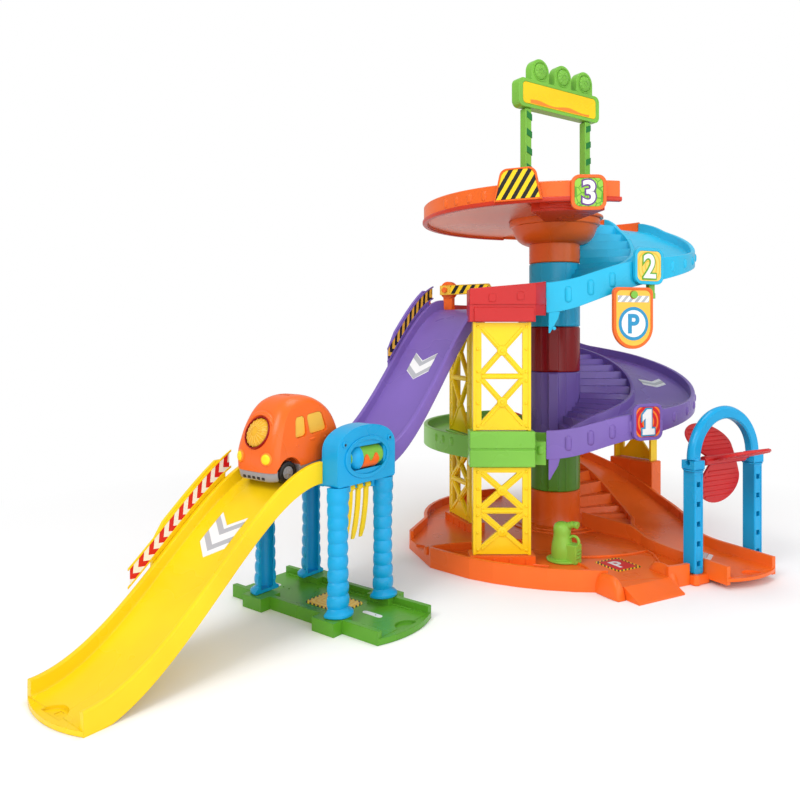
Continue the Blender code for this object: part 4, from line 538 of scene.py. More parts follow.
def add_bumps(bm, angles, floor, rim):
    """Short flattened capsules on the outside of a wall, half way up."""
    wide = 3.6 * MM
    ends = (0.35, 0.7, 1.05, 1.35)
    for degrees in angles:
        middle = floor(degrees) + (rim(degrees) - SKIRT) / 2
        tall = 0.27 * (rim(degrees) + SKIRT) - wide
        profile = [(wide * cos(a), -tall - wide * sin(a)) for a in reversed(ends)]
        profile += [(wide, -tall), (wide, tall)]
        profile += [(wide * cos(a), tall + wide * sin(a)) for a in ends]
        place = Matrix.Translation(polar(RING_OUTER - 0.3 * MM, degrees, middle))
        turn = turned(degrees)
        add_turned(bm, profile, place @ turn @ Matrix.Diagonal((0.55, 1, 1, 1)), 20)


bm = bmesh.new()
add_slide(bm, GAP, PURPLE_LENGTH, purple_floor)
piece("purple_chute", bm, "purple", stands_for=["purple_slide"])
print("track section has", len(track_section()), "points")

# %% [markdown]
# ## Spiral ramps
# Each ramp is one swept track with a stepped web that ties it to the column and short capsules on its
# outer wall. The two long ones also get a small fin under their foot. Each is one mesh, as each is one
# moulding.

# %% Ramps
END_GAP = 0.2
FIN_DROP = 22 * MM


def add_fin(bm, degrees, top_z):
    """The tapered fin under the foot of a ramp."""
    root = polar(RING_OUTER - 2.2 * MM, degrees, top_z)
    along = heading(degrees + 90)
    outline = [(0, 1 * MM), mm(12, 1), (10 * MM, -FIN_DROP * 0.3), (1.5 * MM, -FIN_DROP), (0, -FIN_DROP)]
    rings = [[root + along * x + heading(degrees) * y + upward(z) for x, z in outline]
             for y in mm(-1.8, 1.8)]
    add_loft(bm, rings)


def make_ramp(start, end, floor, rim, bumps, hub=COLUMN_RADIUS + GAP):
    bm = bmesh.new()
    add_loft(bm, ramp_rings(start - END_GAP, end + END_GAP, floor, rim))
    add_stairs(bm, start - 2 * END_GAP, end + 2 * END_GAP, floor, hub)
    add_bumps(bm, bumps, floor, rim)
    return bm


bm = make_ramp(
    BACK, FRONT_LEFT, purple_ramp_floor, purple_rim, (-97, -89, -81, -73, -51, -40, -29, -18, -7, 5, 18)
)
add_fin(bm, FRONT_LEFT + 1, LEVEL_1_Z - SKIRT)
TRUSS_DEPTH = 15 * MM
TRUSS_WIDTH = 62 * MM
RIGHT_TRUSS_ANGLE = 38.0
RIGHT_TRUSS_RADIUS = RING_OUTER + TRUSS_DEPTH + 1 * MM
RIGHT_TRUSS_TOP = 200 * MM
LUG_HEIGHT = 13 * MM
lug_place = polar(
    RIGHT_TRUSS_RADIUS - TRUSS_DEPTH / 2, RIGHT_TRUSS_ANGLE, RIGHT_TRUSS_TOP + GAP + LUG_HEIGHT / 2
)
add_box(bm, (TRUSS_DEPTH + 4 * MM, TRUSS_WIDTH * 0.8, LUG_HEIGHT), lug_place, RIGHT_TRUSS_ANGLE)
piece("purple_ramp", bm, "purple", stands_for=["spiral_1"])

bm = make_ramp(
    RAMP_3_END, FRONT_LEFT, blue_ramp_floor, blue_rim, (-97, -89, -81, -52, -42, -32, -22, -12, -2, 9)
)
add_fin(bm, FRONT_LEFT + 1, LEVEL_2_Z - SKIRT)
piece("blue_ramp", bm, "light_blue", stands_for=["spiral_2"])

HUB_RADIUS = 62 * MM
LEVEL_3_RIM = 14 * MM
bm = make_ramp(BACK, RAMP_3_END, top_ramp_floor, lambda degrees: LEVEL_3_RIM, (), HUB_RADIUS + GAP)
piece("top_ramp", bm, "orange", stands_for=["level_3_ramp"])
print("ramps made")

# %% [markdown]
# ## Yellow slide
# The lower slide ends in a convex lip with a half-round socket, where another track would hook in. The
# socket is cut from the finished shape, like a side action in the mould.

# %% Cutting helper and the yellow slide
TONGUE_BULGE = 8 * MM
RECESS_RADIUS = 12 * MM
RECESS_DEPTH = 2.2 * MM
RECESS_SHIFT = 3 * MM
PEG_SIZE = 5 * MM
PEG_BACK = 3.6 * MM


def combine(bm, others, operation="DIFFERENCE"):
    """The first mesh cut by, or joined with, the others."""
    made = []
    for shape in [bm] + others:
        bmesh.ops.recalc_face_normals(shape, faces=shape.faces)
        mesh = bpy.data.meshes.new("work")
        shape.to_mesh(mesh)
        shape.free()
        obj = bpy.data.objects.new("work", mesh)
        bpy.context.scene.collection.objects.link(obj)
        made.append(obj)
    for other in made[1:]:
        step = made[0].modifiers.new("cut", "BOOLEAN")
        step.operation = operation
        step.solver = "EXACT"
        step.use_self = True
        step.object = other
    graph = bpy.context.evaluated_depsgraph_get()
    result = bmesh.new()
    result.from_mesh(made[0].evaluated_get(graph).to_mesh())
    for obj in made:
        bpy.data.objects.remove(obj)
    return result


def add_slab(bm, points, low, high):
    """An upright prism over points in the plan."""
    add_loft(bm, [[Vector((p.x, p.y, z)) for p in points] for z in (low, high)])


def add_lip(bm, centre, degrees, low, high):
    """The convex end of a track."""
    half = TRACK_WIDTH / 2 - GAP
    radius = (half * half + TONGUE_BULGE * TONGUE_BULGE) / (2 * TONGUE_BULGE)
    half_angle = math.degrees(math.asin(half / radius))
    out = heading(degrees)
    middle = Vector((centre.x, centre.y, 0)) + out * (TONGUE_BULGE - radius)
    points = [middle + heading(degrees + a) * radius for a in spread(-half_angle, half_angle, 2.5)]
    points += [points[-1] - out * 3 * MM, points[0] - out * 3 * MM]
    add_slab(bm, points, low, high)


def socket_cutter(centre, degrees, floor_z):
    middle = Vector((centre.x, centre.y, 0)) + heading(degrees) * RECESS_SHIFT
    points = [middle + heading(degrees + 90 + a) * RECESS_RADIUS for a in spread(0, 180, 6)]
    bm = bmesh.new()
    add_slab(bm, points, floor_z - RECESS_DEPTH, floor_z + 5 * MM)
    return bm


def peg_cutter(centre, degrees, floor_z):
    """A small square hole behind the socket's edge."""
    bm = bmesh.new()
    place = Vector((centre.x, centre.y, floor_z)) - heading(degrees) * PEG_BACK
    add_box(bm, (PEG_SIZE, PEG_SIZE, 2 * RECESS_DEPTH + 1.2 * MM), place, degrees)
    return bm


bm = bmesh.new()
yellow_end = BRIDGE_END + YELLOW_LENGTH
add_slide(bm, BRIDGE_END + 2 * GAP, yellow_end, yellow_floor)
end_place = down_slide(yellow_end)
add_lip(bm, end_place, SLIDE_HEADING + 180, GAP, YELLOW_END_Z - GAP)
bm = combine(bm, [socket_cutter(end_place, SLIDE_HEADING + 180, YELLOW_END_Z),
                  peg_cutter(end_place, SLIDE_HEADING + 180, YELLOW_END_Z)])
piece("yellow_chute", bm, "yellow", stands_for=["yellow_slide"])
print("yellow slide made")

# %% [markdown]
# ## Exit ramp
# The last ramp leaves the ring and bends to the spinner gate. The same section is swept along the ring
# and then along the lane, and the blocks under it carry the right truss and the gate.

# %% Exit ramp
EXIT_START = -20.0
EXIT_TURN = 48.0
EXIT_TURN_RADIUS = 126 * MM
EXIT_STRAIGHT = 62 * MM
GATE_BACK = 34 * MM
GATE_HALF_SPAN = TRACK_WIDTH / 2 + 9 * MM
GATE_LEG_WIDTH = 13 * MM
GATE_LEG_DEPTH = 14 * MM
GATE_LEG_TOP = 118 * MM
LUG_TOP_Z = BASE_Z - 2 * MM
PEDESTAL_TOP = 77 * MM
SOCKET_MARGIN = 4.2 * MM

lane_pivot = polar(RING_MIDDLE, EXIT_START) + heading(EXIT_START) * EXIT_TURN_RADIUS
exit_heading = EXIT_START - 90 + EXIT_TURN
lane_bend = [(lane_pivot + heading(EXIT_START + 180 + turn) * EXIT_TURN_RADIUS, EXIT_START - 90 + turn)
             for turn in spread(0, EXIT_TURN, 3)]
bend_end = lane_bend[-1][0]
lane_straight = [
    (bend_end + heading(exit_heading) * d, exit_heading) for d in spread(0, EXIT_STRAIGHT, 8 * MM)[1:]
]
exit_end = lane_straight[-1][0]
gate_foot = exit_end - heading(exit_heading) * GATE_BACK


def gate_place(side, z, forward=0.0):
    return gate_foot + heading(exit_heading + 90) * side + heading(exit_heading) * forward + upward(z)


bm = bmesh.new()
rings = ramp_rings(BACK - END_GAP, EXIT_START, base_ramp_floor, lambda degrees: RIM_HEIGHT)
for place, turn in lane_bend[1:] + lane_straight:
    rings.append(on_section(track_section(), place + upward(BASE_Z), heading(turn + 90)))
add_loft(bm, rings)
add_stairs(bm, BACK - 2 * END_GAP, EXIT_START + END_GAP, base_ramp_floor)
add_lip(bm, exit_end, exit_heading, BASE_Z - FLOOR + GAP, BASE_Z - GAP)
bm = combine(
    bm, [socket_cutter(exit_end, exit_heading, BASE_Z), peg_cutter(exit_end, exit_heading, BASE_Z)]
)
for degrees in (90, 60, 30, 0):
    top = polar(RING_OUTER - 8 * MM, degrees, base_ramp_floor(degrees) - SKIRT + 1.5 * MM)
    add_rod(bm, polar(RING_OUTER - 8 * MM, degrees), top, 6 * MM)
piece("exit_ramp", bm, "orange", stands_for=["base_ramp"])

bm = bmesh.new()
pedestal = polar(RIGHT_TRUSS_RADIUS - TRUSS_DEPTH / 2, RIGHT_TRUSS_ANGLE, PEDESTAL_TOP / 2)
add_box(
    bm, (TRUSS_DEPTH + 2 * SOCKET_MARGIN, TRUSS_WIDTH + 2 * SOCKET_MARGIN, PEDESTAL_TOP), pedestal,
    RIGHT_TRUSS_ANGLE
)
for sign in (-1, 1):
    size = (GATE_LEG_DEPTH + 8 * MM, GATE_LEG_WIDTH + 10 * MM, LUG_TOP_Z)
    add_box(bm, size, gate_place(sign * (GATE_HALF_SPAN - 1 * MM), LUG_TOP_Z / 2), exit_heading)
piece("ramp_blocks", bm, "orange", bevel=1.6 * MM)
bm = bmesh.new()
for sign in (-1, 1):
    for forward in (-1, 1):
        side = sign * (GATE_HALF_SPAN + 6 * MM)
        foot, head = (gate_place(side, z, forward * 9 * MM) for z in (0.5 * MM, LUG_TOP_Z + 1 * MM))
        add_rod(bm, foot, head, 3.5 * MM)
piece("gate_lugs", bm, "orange", bevel=0.8 * MM)
print("exit ramp made")

# %% [markdown]
# ## Levels
# A level is a flat ring that goes round the back of the column, with a rim outside and a curb inside.
# It is swept like a ramp, so its wall stays smooth. Level 1 also clamps the front truss. Level 3 has a
# closed hub, and under it a thin lip coloured darker as painted shade, an underside painted paler for the
# light bounced up onto it, and a few steps that show where the top ramp begins.

# %% Levels 1 and 3
CLAMP_LOW_Z = LEVEL_1_Z - 13.5 * MM
CLAMP_TOP_Z = LEVEL_1_Z + 25 * MM
FRONT_TRUSS = (TOWER.x - 93 * MM, TOWER.y - 175 * MM)
LEFT_TRUSS = (TOWER.x - 126 * MM, TOWER.y - 14 * MM)
LEFT_TRUSS_TURN = -70.0
LEVEL_3_START = -78.0
BOWL_RADIUS = 58 * MM
PAD_LIFT = 2 * MM


def level_section(hub, rim, below):
    """(radius, up) pairs of a level, listed round the section."""
    outer, wall = RING_OUTER, RING_OUTER - RIM_WALL
    curb, curb_out = RING_INNER, RING_INNER + RIM_WALL
    return [
        (hub, -FLOOR), (wall, -FLOOR), (wall, -below), (outer, -below), (outer, rim - RIM_EASE),
        (outer - RIM_EASE, rim), (wall + RIM_EASE, rim), (wall, rim - RIM_EASE), (wall, FILLET),
        (wall - FILLET * 0.29, FILLET * 0.29), (wall - FILLET, 0), (curb_out + FILLET, 0),
        (curb_out, FILLET), (curb_out, RIM_HEIGHT - RIM_EASE), (curb_out - RIM_EASE, RIM_HEIGHT),
        (curb + RIM_EASE, RIM_HEIGHT), (curb, RIM_HEIGHT - RIM_EASE), (curb, 0), (hub, 0)
    ]


def add_ring(bm, section, floor_z, angles):
    """A section of (radius, up) pairs, swept round the column."""
    add_loft(bm, [[polar(radius, degrees, floor_z + up) for radius, up in section] for degrees in angles])


def add_level(bm, start, end, floor_z, hub, rim, below):
    add_ring(bm, level_section(hub, rim, below), floor_z, spread(start, end, ARC_STEP))


def block_at(bm, place, turn, low, high, margin=SOCKET_MARGIN):
    """A block round a truss's end."""
    centre = Vector((place[0], place[1], (low + high) / 2)) + heading(turn + 90) * TRUSS_DEPTH / 2
    add_box(bm, (TRUSS_WIDTH + 2 * margin, TRUSS_DEPTH + 2 * margin, high - low), centre, turn)


bm = bmesh.new()
add_level(bm, FRONT_LEFT, BACK_LEFT, LEVEL_1_Z, COLUMN_RADIUS + GAP, RIM_HEIGHT, LEVEL_1_Z - CLAMP_LOW_Z)
add_bumps(bm, (-158, -152, -146, -124, -112.5, -107), lambda degrees: LEVEL_1_Z, lambda degrees: RIM_HEIGHT)
piece("green_level", bm, "lime", stands_for=["level_1_deck"])
bm = bmesh.new()
seam = (CLAMP_LOW_Z + CLAMP_TOP_Z) / 2
block_at(bm, FRONT_TRUSS, 0, CLAMP_LOW_Z, seam - 0.5 * MM)
block_at(bm, FRONT_TRUSS, 0, seam + 0.5 * MM, CLAMP_TOP_Z)
block_at(bm, LEFT_TRUSS, LEFT_TRUSS_TURN, CLAMP_LOW_Z, LEVEL_1_Z + PAD_LIFT)
piece("truss_clamps", bm, "lime", bevel=1.4 * MM)
bm = bmesh.new()
block_at(bm, FRONT_TRUSS, 0, seam - 1 * MM, seam + 1 * MM, SOCKET_MARGIN - 1.2 * MM)
piece("clamp_seam", bm, "lime", bevel=0.3 * MM)

bm = bmesh.new()
add_level(bm, LEVEL_3_START, BACK_LEFT, LEVEL_3_Z, HUB_RADIUS - 4 * MM, LEVEL_3_RIM, SKIRT)
hub_inside = HUB_RADIUS - 1 * MM
hub = [(hub_inside, -FLOOR), (HUB_RADIUS, -FLOOR + 1 * MM), (HUB_RADIUS, -1 * MM), (hub_inside, -0.05 * MM)]
add_turned(bm, hub, Matrix.Translation(TOWER + upward(LEVEL_3_Z)), 72)
add_bumps(bm, (-150, -143, -136, -129), lambda degrees: LEVEL_3_Z, lambda degrees: LEVEL_3_RIM)
piece("orange_level", bm, "orange", stands_for=["level_3_deck"])

bm = bmesh.new()
for i in range(4):
    low = LEVEL_3_Z - FLOOR - 2.6 * MM * (4 - i)
    high = LEVEL_3_Z - FLOOR + 0.5 * MM
    angles = spread(LEVEL_3_START - 2 - 6 * i, LEVEL_3_START - 34 + 4 * i, 4)
    inside, outside = HUB_RADIUS + 2 * MM + 7 * MM * i, RING_OUTER - 24 * MM + 5 * MM * i
    section = [(inside, low), (outside, low), (outside, high), (inside, high)]
    add_ring(bm, section, 0, angles)
piece("deck_steps", bm, "deep_orange", bevel=0.5 * MM)

# Painted shade: the lip's darker orange stands in for the shade along the lower edge of the deck's rim. The
# lip also stands 1.8 mm out from the rim.
bm = bmesh.new()
lip = [(RING_OUTER + out * MM, up * MM - SKIRT)
       for out, up in ((-4, -1.6), (0.8, -1.6), (1.8, -0.4), (1.8, 2.2), (0.8, 3.4), (-4, 3.4))]
add_ring(bm, lip, LEVEL_3_Z, spread(LEVEL_3_START + 0.5, BACK_LEFT, ARC_STEP))
piece("deck_lip", bm, "deep_orange")
# Painted bounce light: a thin plate in paler salmon under the top deck stands in for light reflected up
# onto the underside.
bm = bmesh.new()
inside, outside = BOWL_RADIUS + 1 * MM, RING_OUTER - RIM_WALL - 0.6 * MM
low, high = -FLOOR - 0.8 * MM, -FLOOR + 0.4 * MM
under = [(inside, low), (outside, low), (outside, high), (inside, high)]
add_ring(bm, under, LEVEL_3_Z, spread(LEVEL_3_START - 36, BACK_LEFT + 1, ARC_STEP))
piece("deck_underside", bm, "salmon")
print("levels made")

# %% [markdown]
# ## Column and bowl
# The column is stacked from short tubes in the colours of the levels. Each has an eased end, a raised
# seam strip at the front left and thin mould lines. The bowl under the top deck is one turned piece
# with a polished inside curve.

# %% Column
COLUMN_BREAKS = (
    0, BASE_Z + 46 * MM, LEVEL_1_Z - 16 * MM, LEVEL_1_Z + 80 * MM, LEVEL_2_Z - 21 * MM, LEVEL_3_Z - 61 * MM
)
STACK = (
    ("foot", "orange"), ("green", "green"), ("purple", "purple"), ("red", "dark_red"),
    ("blue", "light_blue")
)
EASE = 1.2 * MM

for (name, colour), low, high in zip(STACK, COLUMN_BREAKS, COLUMN_BREAKS[1:]):
    bm = bmesh.new()
    low = low + GAP if low else 0.5 * MM
    foot = COLUMN_RADIUS + (10 * MM if name == "foot" else 0)
    profile = [(foot - EASE, low), (foot, low + EASE)]
    if name == "foot":
        profile += [
            (COLUMN_RADIUS + 10 * MM * (1 - t) ** 2, low + 34 * MM * t) for t in (0.2, 0.4, 0.6, 0.8, 1.0)
        ]
    profile += [(COLUMN_RADIUS, high - EASE), (COLUMN_RADIUS - EASE, high)]
    add_turned(bm, profile, Matrix.Translation(TOWER), 72)
    if name != "foot":
        for degrees in (-160, -132, -76, -48, -20):
            foot, head = (polar(COLUMN_RADIUS - 0.25 * MM, degrees, z) for z in (low + EASE, high - EASE))
            add_rod(bm, foot, head, 0.6 * MM, steps=8)
    piece("column_tube_" + name, bm, colour, stands_for=["column_" + name])
    if name in ("green", "purple", "red"):
        bm = bmesh.new()
        centre = polar(COLUMN_RADIUS - 0.5 * MM, FRONT_LEFT + 1, (low + high) / 2)
        add_box(bm, (7 * MM, 13 * MM, high - low - 2 * EASE), centre, FRONT_LEFT + 1)
        piece("column_strip_" + name, bm, colour, bevel=1.5 * MM, steps=3)

bm = bmesh.new()
top = LEVEL_3_Z - FLOOR - GAP
low = COLUMN_BREAKS[-1] + GAP
curve = [(COLUMN_RADIUS - EASE, low), (COLUMN_RADIUS, low + EASE), (COLUMN_RADIUS, top - 32 * MM)]
curve += [
    (COLUMN_RADIUS + 21 * MM * sin(a), top - 32 * MM + 23 * MM * (1 - cos(a)))
    for a in (0.25, 0.5, 0.75, 1.0, 1.25)
]
curve += [
    (BOWL_RADIUS - inset * MM, top - drop * MM) for inset, drop in ((3, 9), (0.8, 8.4), (0, 7), (0, 0))
]
add_turned(bm, curve, Matrix.Translation(TOWER), 96)
piece("deck_bowl", bm, "orange", stands_for=["top_bowl"])
print("column of", len(STACK), "tubes and a bowl")

# %% [markdown]
# ## Yellow trusses
# The panels come as pierced plates. What makes them look braced is on the front: raised diagonals,
# round bosses where they cross, and rivets down the legs. These are built once in the panel's own plane
# and set against each of the five panels.

# %% Truss details
TRUSS_LEG = 9 * MM
TRUSS_BAR = 6 * MM
HEAD_LOW_Z = LEVEL_2_Z - 17 * MM
SOCKET_Z = 22 * MM
FACE_Y = 0.5 * MM


def add_strut(bm, start, end, width, y_low, y_high):
    """A raised bar between two (x, z) points on a panel's front."""
    a, b = Vector((start[0], 0, start[1])), Vector((end[0], 0, end[1]))
    side = (b - a).normalized().cross(sideways(1)) * width / 2
    corners = [(side, y_low), (side * 0.7, y_high), (-side * 0.7, y_high), (-side, y_low)]
    add_loft(bm, [[point + shift + sideways(y) for shift, y in corners] for point in (a, b)])


def truss_face(name, place, turn, low, high):
    half = TRUSS_WIDTH / 2
    inner = half - TRUSS_LEG
    height = high - low
    middle = height / 2
    bm = bmesh.new()
    for z0, z1 in ((TRUSS_BAR, middle - TRUSS_BAR / 2), (middle + TRUSS_BAR / 2, height - TRUSS_BAR)):
        add_strut(bm, (-inner, z0), (inner, z1), 3.6 * MM, FACE_Y + 0.3 * MM, FACE_Y - 1.1 * MM)
        add_strut(bm, (inner, z0), (-inner, z1), 3.6 * MM, FACE_Y + 0.35 * MM, FACE_Y - 1.0 * MM)
        centre = (0, FACE_Y, (z0 + z1) / 2)
        add_turned(bm, in_mm((5.6, -0.3), (5.4, 1.6), (4.6, 2.0)), along_axis(centre, (0, -1, 0)), 28)
        add_turned(bm, in_mm((2.2, 1.7), (2.0, 2.6)), along_axis(centre, (0, -1, 0)), 18)
    add_strut(bm, (-inner, middle), (inner, middle), 4.6 * MM, FACE_Y + 0.3 * MM, FACE_Y - 1.3 * MM)
    for x in (-half + TRUSS_LEG * 0.56, half - TRUSS_LEG * 0.56):
        for z in (5 * MM, middle * 0.5, middle - 5 * MM, middle + 5 * MM, middle * 1.5, height - 5 * MM):
            add_stud(bm, (x, FACE_Y, z), (0, -1, 0), 1.7 * MM, 1.2 * MM)
    matrix = Matrix.Translation((place[0], place[1], low)) @ turned(turn)
    bmesh.ops.transform(bm, matrix=matrix, verts=bm.verts)
    piece(name, bm, "yellow", bevel=0.25 * MM)


right_place = polar(RIGHT_TRUSS_RADIUS, RIGHT_TRUSS_ANGLE)
truss_face("bracing_front_lower", FRONT_TRUSS, 0, SOCKET_Z + GAP, CLAMP_LOW_Z - GAP)
truss_face("bracing_front_upper", FRONT_TRUSS, 0, CLAMP_TOP_Z + GAP, HEAD_LOW_Z - GAP)
truss_face("bracing_left_lower", LEFT_TRUSS, LEFT_TRUSS_TURN, SOCKET_Z + GAP, CLAMP_LOW_Z - GAP)
truss_face("bracing_left_upper", LEFT_TRUSS, LEFT_TRUSS_TURN, LEVEL_1_Z + PAD_LIFT + GAP, HEAD_LOW_Z - GAP)
truss_face("bracing_right", right_place, RIGHT_TRUSS_ANGLE + 90, PEDESTAL_TOP + GAP, RIGHT_TRUSS_TOP)
print("five trusses braced")

# %% [markdown]
# ## Printed patterns
# The labels are thin plates with a pattern worked out from their own flat coordinates: slanted stripes,
# chevrons, rings or facets. Each pattern is a repeating distance, cut in two at its middle, so its
# edges are crisp at any size.

# %% Pattern materials
def math_node(tree, operation, first, second=0.0):
    node = tree.nodes.new("ShaderNodeMath")
    node.operation = operation
    for socket, value in zip(node.inputs, (first, second)):
        if isinstance(value, float):
            socket.default_value = value
        else:
            tree.links.new(value, socket)
    return node.outputs[0]


def repeated(tree, value, pitch, share=0.5):
    """1 on share of every pitch, 0 on the rest."""
    phase = math_node(tree, "FRACT", math_node(tree, "DIVIDE", value, pitch))
    return math_node(tree, "LESS_THAN", phase, share)


def slanted(pitch, slant, share=0.5):
    def field(tree, x, y):
        shift = math_node(tree, "MULTIPLY", y, slant)
        return repeated(tree, math_node(tree, "ADD", x, shift), pitch, share)
    return field


def chevrons(pitch, lean, share=0.5):
    straight = slanted(pitch, lean, share)
    return lambda tree, x, y: straight(tree, x, math_node(tree, "ABSOLUTE", y))


def rings_of(pitch, squareness=2.0):
    def field(tree, x, y):
        powers = [
            math_node(tree, "POWER", math_node(tree, "ABSOLUTE", value), squareness) for value in (x, y)
        ]
        total = math_node(tree, "ADD", *powers)
        return repeated(tree, math_node(tree, "POWER", total, 1.0 / squareness), pitch, 0.35)
    return field


def facets(scale, width):
    def field(tree, x, y):
        cells = add_node(tree, "TexVoronoi", {"Vector": own_coordinates(tree), "Scale": scale})
        cells.feature = "DISTANCE_TO_EDGE"
        return math_node(tree, "LESS_THAN", cells.outputs["Distance"], width)
    return field


PRINT_GLOSS = 0.33
PRINT_CLOUD = 60


def patterned(name, on, off, field):
    material, tree, shader = new_material(name, PRINT_GLOSS)
    split = add_node(tree, "SeparateXYZ", {"Vector": own_coordinates(tree)})
    pattern = field(tree, split.outputs["X"], split.outputs["Y"])
    tree.links.new(mix_colours(tree, pattern, off, on), shader.inputs["Base Color"])
    cloud = noise(tree, PRINT_CLOUD, 2)
    roughness = map_range(tree, cloud, 0.3, 0.7, PRINT_GLOSS - 0.05, PRINT_GLOSS + 0.08)
    tree.links.new(roughness, shader.inputs["Roughness"])
    add_skin(tree, shader, 0.04, 0.2 * MM)
    plastic[name] = material


BLACK_INK = (0.012, 0.012, 0.012)
YELLOW_INK = (0.95, 0.62, 0.01)
WHITE_INK = (0.80, 0.80, 0.80)
GREY_INK = (0.42, 0.43, 0.46)
RED_INK = (0.62, 0.012, 0.015)
ORANGE_INK = (0.88, 0.20, 0.02)
GOLD_INK = (0.84, 0.46, 0.04)
PALE_GOLD_INK = (0.90, 0.60, 0.12)
patterned("hazard_stripes", BLACK_INK, YELLOW_INK, slanted(11 * MM, -0.62))
patterned("arm_stripes", BLACK_INK, YELLOW_INK, slanted(12 * MM, -0.7))
patterned("border_stripes", BLACK_INK, YELLOW_INK, slanted(5 * MM, 1.0))
patterned("gold_rings", GOLD_INK, PALE_GOLD_INK, rings_of(4.6 * MM, 3.0))
patterned("red_rings", ORANGE_INK, RED_INK, rings_of(6.0 * MM))
patterned("green_facets", (0.10, 0.33, 0.02), (0.28, 0.56, 0.05), facets(120.0, 0.055))
patterned("grey_chevrons", GREY_INK, WHITE_INK, chevrons(8 * MM, 0.9))
patterned("gold_chevrons", BLACK_INK, GOLD_INK, chevrons(12 * MM, 1.0))
patterned("red_chevrons", RED_INK, WHITE_INK, chevrons(12 * MM, 1.0))
patterned("arrow_chevrons", GREY_INK, WHITE_INK, chevrons(12 * MM, 0.56, 0.4))
print("patterns ready")

# %% [markdown]
# ## Signs
# Every sign has a raised border, a face that lies a little below it, and a number in two layers: a wide
# outline under a narrower white figure. The parts are built flat and stood up against the ramp.

# %% Sign helpers
SIGN_SIZE = 40 * MM
SIGN_THICKNESS = 4 * MM
SIGN_CORNER = 9 * MM


def add_flat(bm, outline, low, high):
    add_loft(bm, [[Vector((x, y, z)) for x, y in outline] for z in (low, high)])


def flat_piece(name, outline, low, high, colour, matrix, body="garage", **finish):
    bm = bmesh.new()
    add_flat(bm, outline, low, high)
    placed(name, bm, colour, matrix, body, **finish)


def add_frame(bm, outer, inner, low, high):
    loops = ((outer, low), (outer, high), (inner, high), (inner, low), (outer, low))
    add_loft(bm, [[Vector((x, y, z)) for x, y in outline] for outline, z in loops], caps=False)
    bmesh.ops.remove_doubles(bm, verts=bm.verts, dist=1e-7)


def add_figure(bm, text, size, low, high, grow, x=0.0, y=0.0):
    """A letter or number as a thin solid."""
    curve = bpy.data.curves.new("figure", "FONT")
    curve.body = text
    curve.size = size
    curve.extrude = (high - low) / 2
    curve.offset = grow
    curve.align_x = "CENTER"
    curve.align_y = "CENTER"
    obj = bpy.data.objects.new("figure", curve)
    bpy.context.scene.collection.objects.link(obj)
    graph = bpy.context.evaluated_depsgraph_get()
    shape = bmesh.new()
    shape.from_mesh(obj.evaluated_get(graph).to_mesh())
    bmesh.ops.remove_doubles(shape, verts=shape.verts, dist=1e-6)
    centre_x = (min(v.co.x for v in shape.verts) + max(v.co.x for v in shape.verts)) / 2
    centre_y = (min(v.co.y for v in shape.verts) + max(v.co.y for v in shape.verts)) / 2
    bmesh.ops.translate(
        shape, vec=Vector((x - centre_x, y - centre_y, (low + high) / 2)), verts=shape.verts
    )
    mesh = bpy.data.meshes.new("figure")
    shape.to_mesh(mesh)
    shape.free()
    bm.from_mesh(mesh)
    bpy.data.objects.remove(obj)
    bpy.data.curves.remove(curve)


def add_one(bm, size, low, high, grow):
    """The number 1 with a flag and a foot, as the printed figure has them."""
    height, stem, foot = size * 0.33, size * 0.085, size * 0.19
    base, foot_top = -height - grow, -height + stem * 1.5 + grow
    outline = [
        (-foot - grow, base), (foot + grow, base), (foot + grow, foot_top), (stem + grow, foot_top),
        (stem + grow, height + grow), (-stem * 0.4 - grow, height + grow),
        (-foot - grow, height - stem * 1.6 + grow * 0.4), (-foot - grow, height - stem * 3.4 - grow),
        (-stem - grow, height - stem * 2.4 - grow), (-stem - grow, foot_top), (-foot - grow, foot_top)
    ]
    add_flat(bm, outline, low, high)


SIGN_BORDER = 3.5 * MM


def number_sign(node, figure, size, degrees, z, border, face, outline_ink):
    matrix = facing(degrees, polar(RING_OUTER + GAP + SIGN_THICKNESS / 2, degrees, z))
    half = SIGN_THICKNESS / 2
    inner = rounded_outline(size - 2 * SIGN_BORDER, size - 2 * SIGN_BORDER, SIGN_CORNER * 0.7)
    bm = bmesh.new()
    add_flat(bm, rounded_outline(size, size, SIGN_CORNER), -half, half - 1 * MM)
    add_frame(bm, rounded_outline(size, size, SIGN_CORNER), inner, half - 1.5 * MM, half)
    placed(node + "_plate", bm, border, matrix, bevel=0.5 * MM, stands_for=[node])
    face_outline = rounded_outline(size - 7.4 * MM, size - 7.4 * MM, SIGN_CORNER * 0.68)
    flat_piece(node + "_face", face_outline, half - 1.2 * MM, half - 0.5 * MM, face, matrix)
    layers = (("_outline", half - 0.6 * MM, half - 0.1 * MM, 2.3 * MM, outline_ink),
              ("_figure", half - 0.2 * MM, half + 0.4 * MM, 0.7 * MM, "white"))
    for part, low, high, grow, ink in layers:
        bm = bmesh.new()
        if figure == "1":
            add_one(bm, size, low, high, grow)
        else:
            add_figure(bm, figure, size * 0.92, low, high, grow)
        placed(node + part, bm, ink, matrix)


number_sign("sign_1", "1", SIGN_SIZE, -67, LEVEL_1_Z + 33 * MM, "purple", "red_rings", "ink_blue")
number_sign("sign_2", "2", SIGN_SIZE, -66.5, LEVEL_2_Z + 44 * MM, "light_blue", "gold_rings", "ink_green")
number_sign("sign_3", "3", SIGN_SIZE * 0.95, -90, LEVEL_3_Z, "orange", "green_facets", "ink_purple")
print("number signs made")

# %% [markdown]
# ## Hazard plate and parking sign
# The hazard plate is a trapezium with round shoulders. The parking sign hangs on a pin and swings, so
# all its layers ride on one body of their own: plate, border, face, band, ring and letter. A hole is
# cut for the pin.

# %% Hazard plate and parking sign
SHOULDER_EASE = 9 * MM
HAZARD_LOW_HALF = 27 * MM
HAZARD_TOP_HALF = 21 * MM
HAZARD_LOW = -15 * MM
HAZARD_TOP = 21 * MM


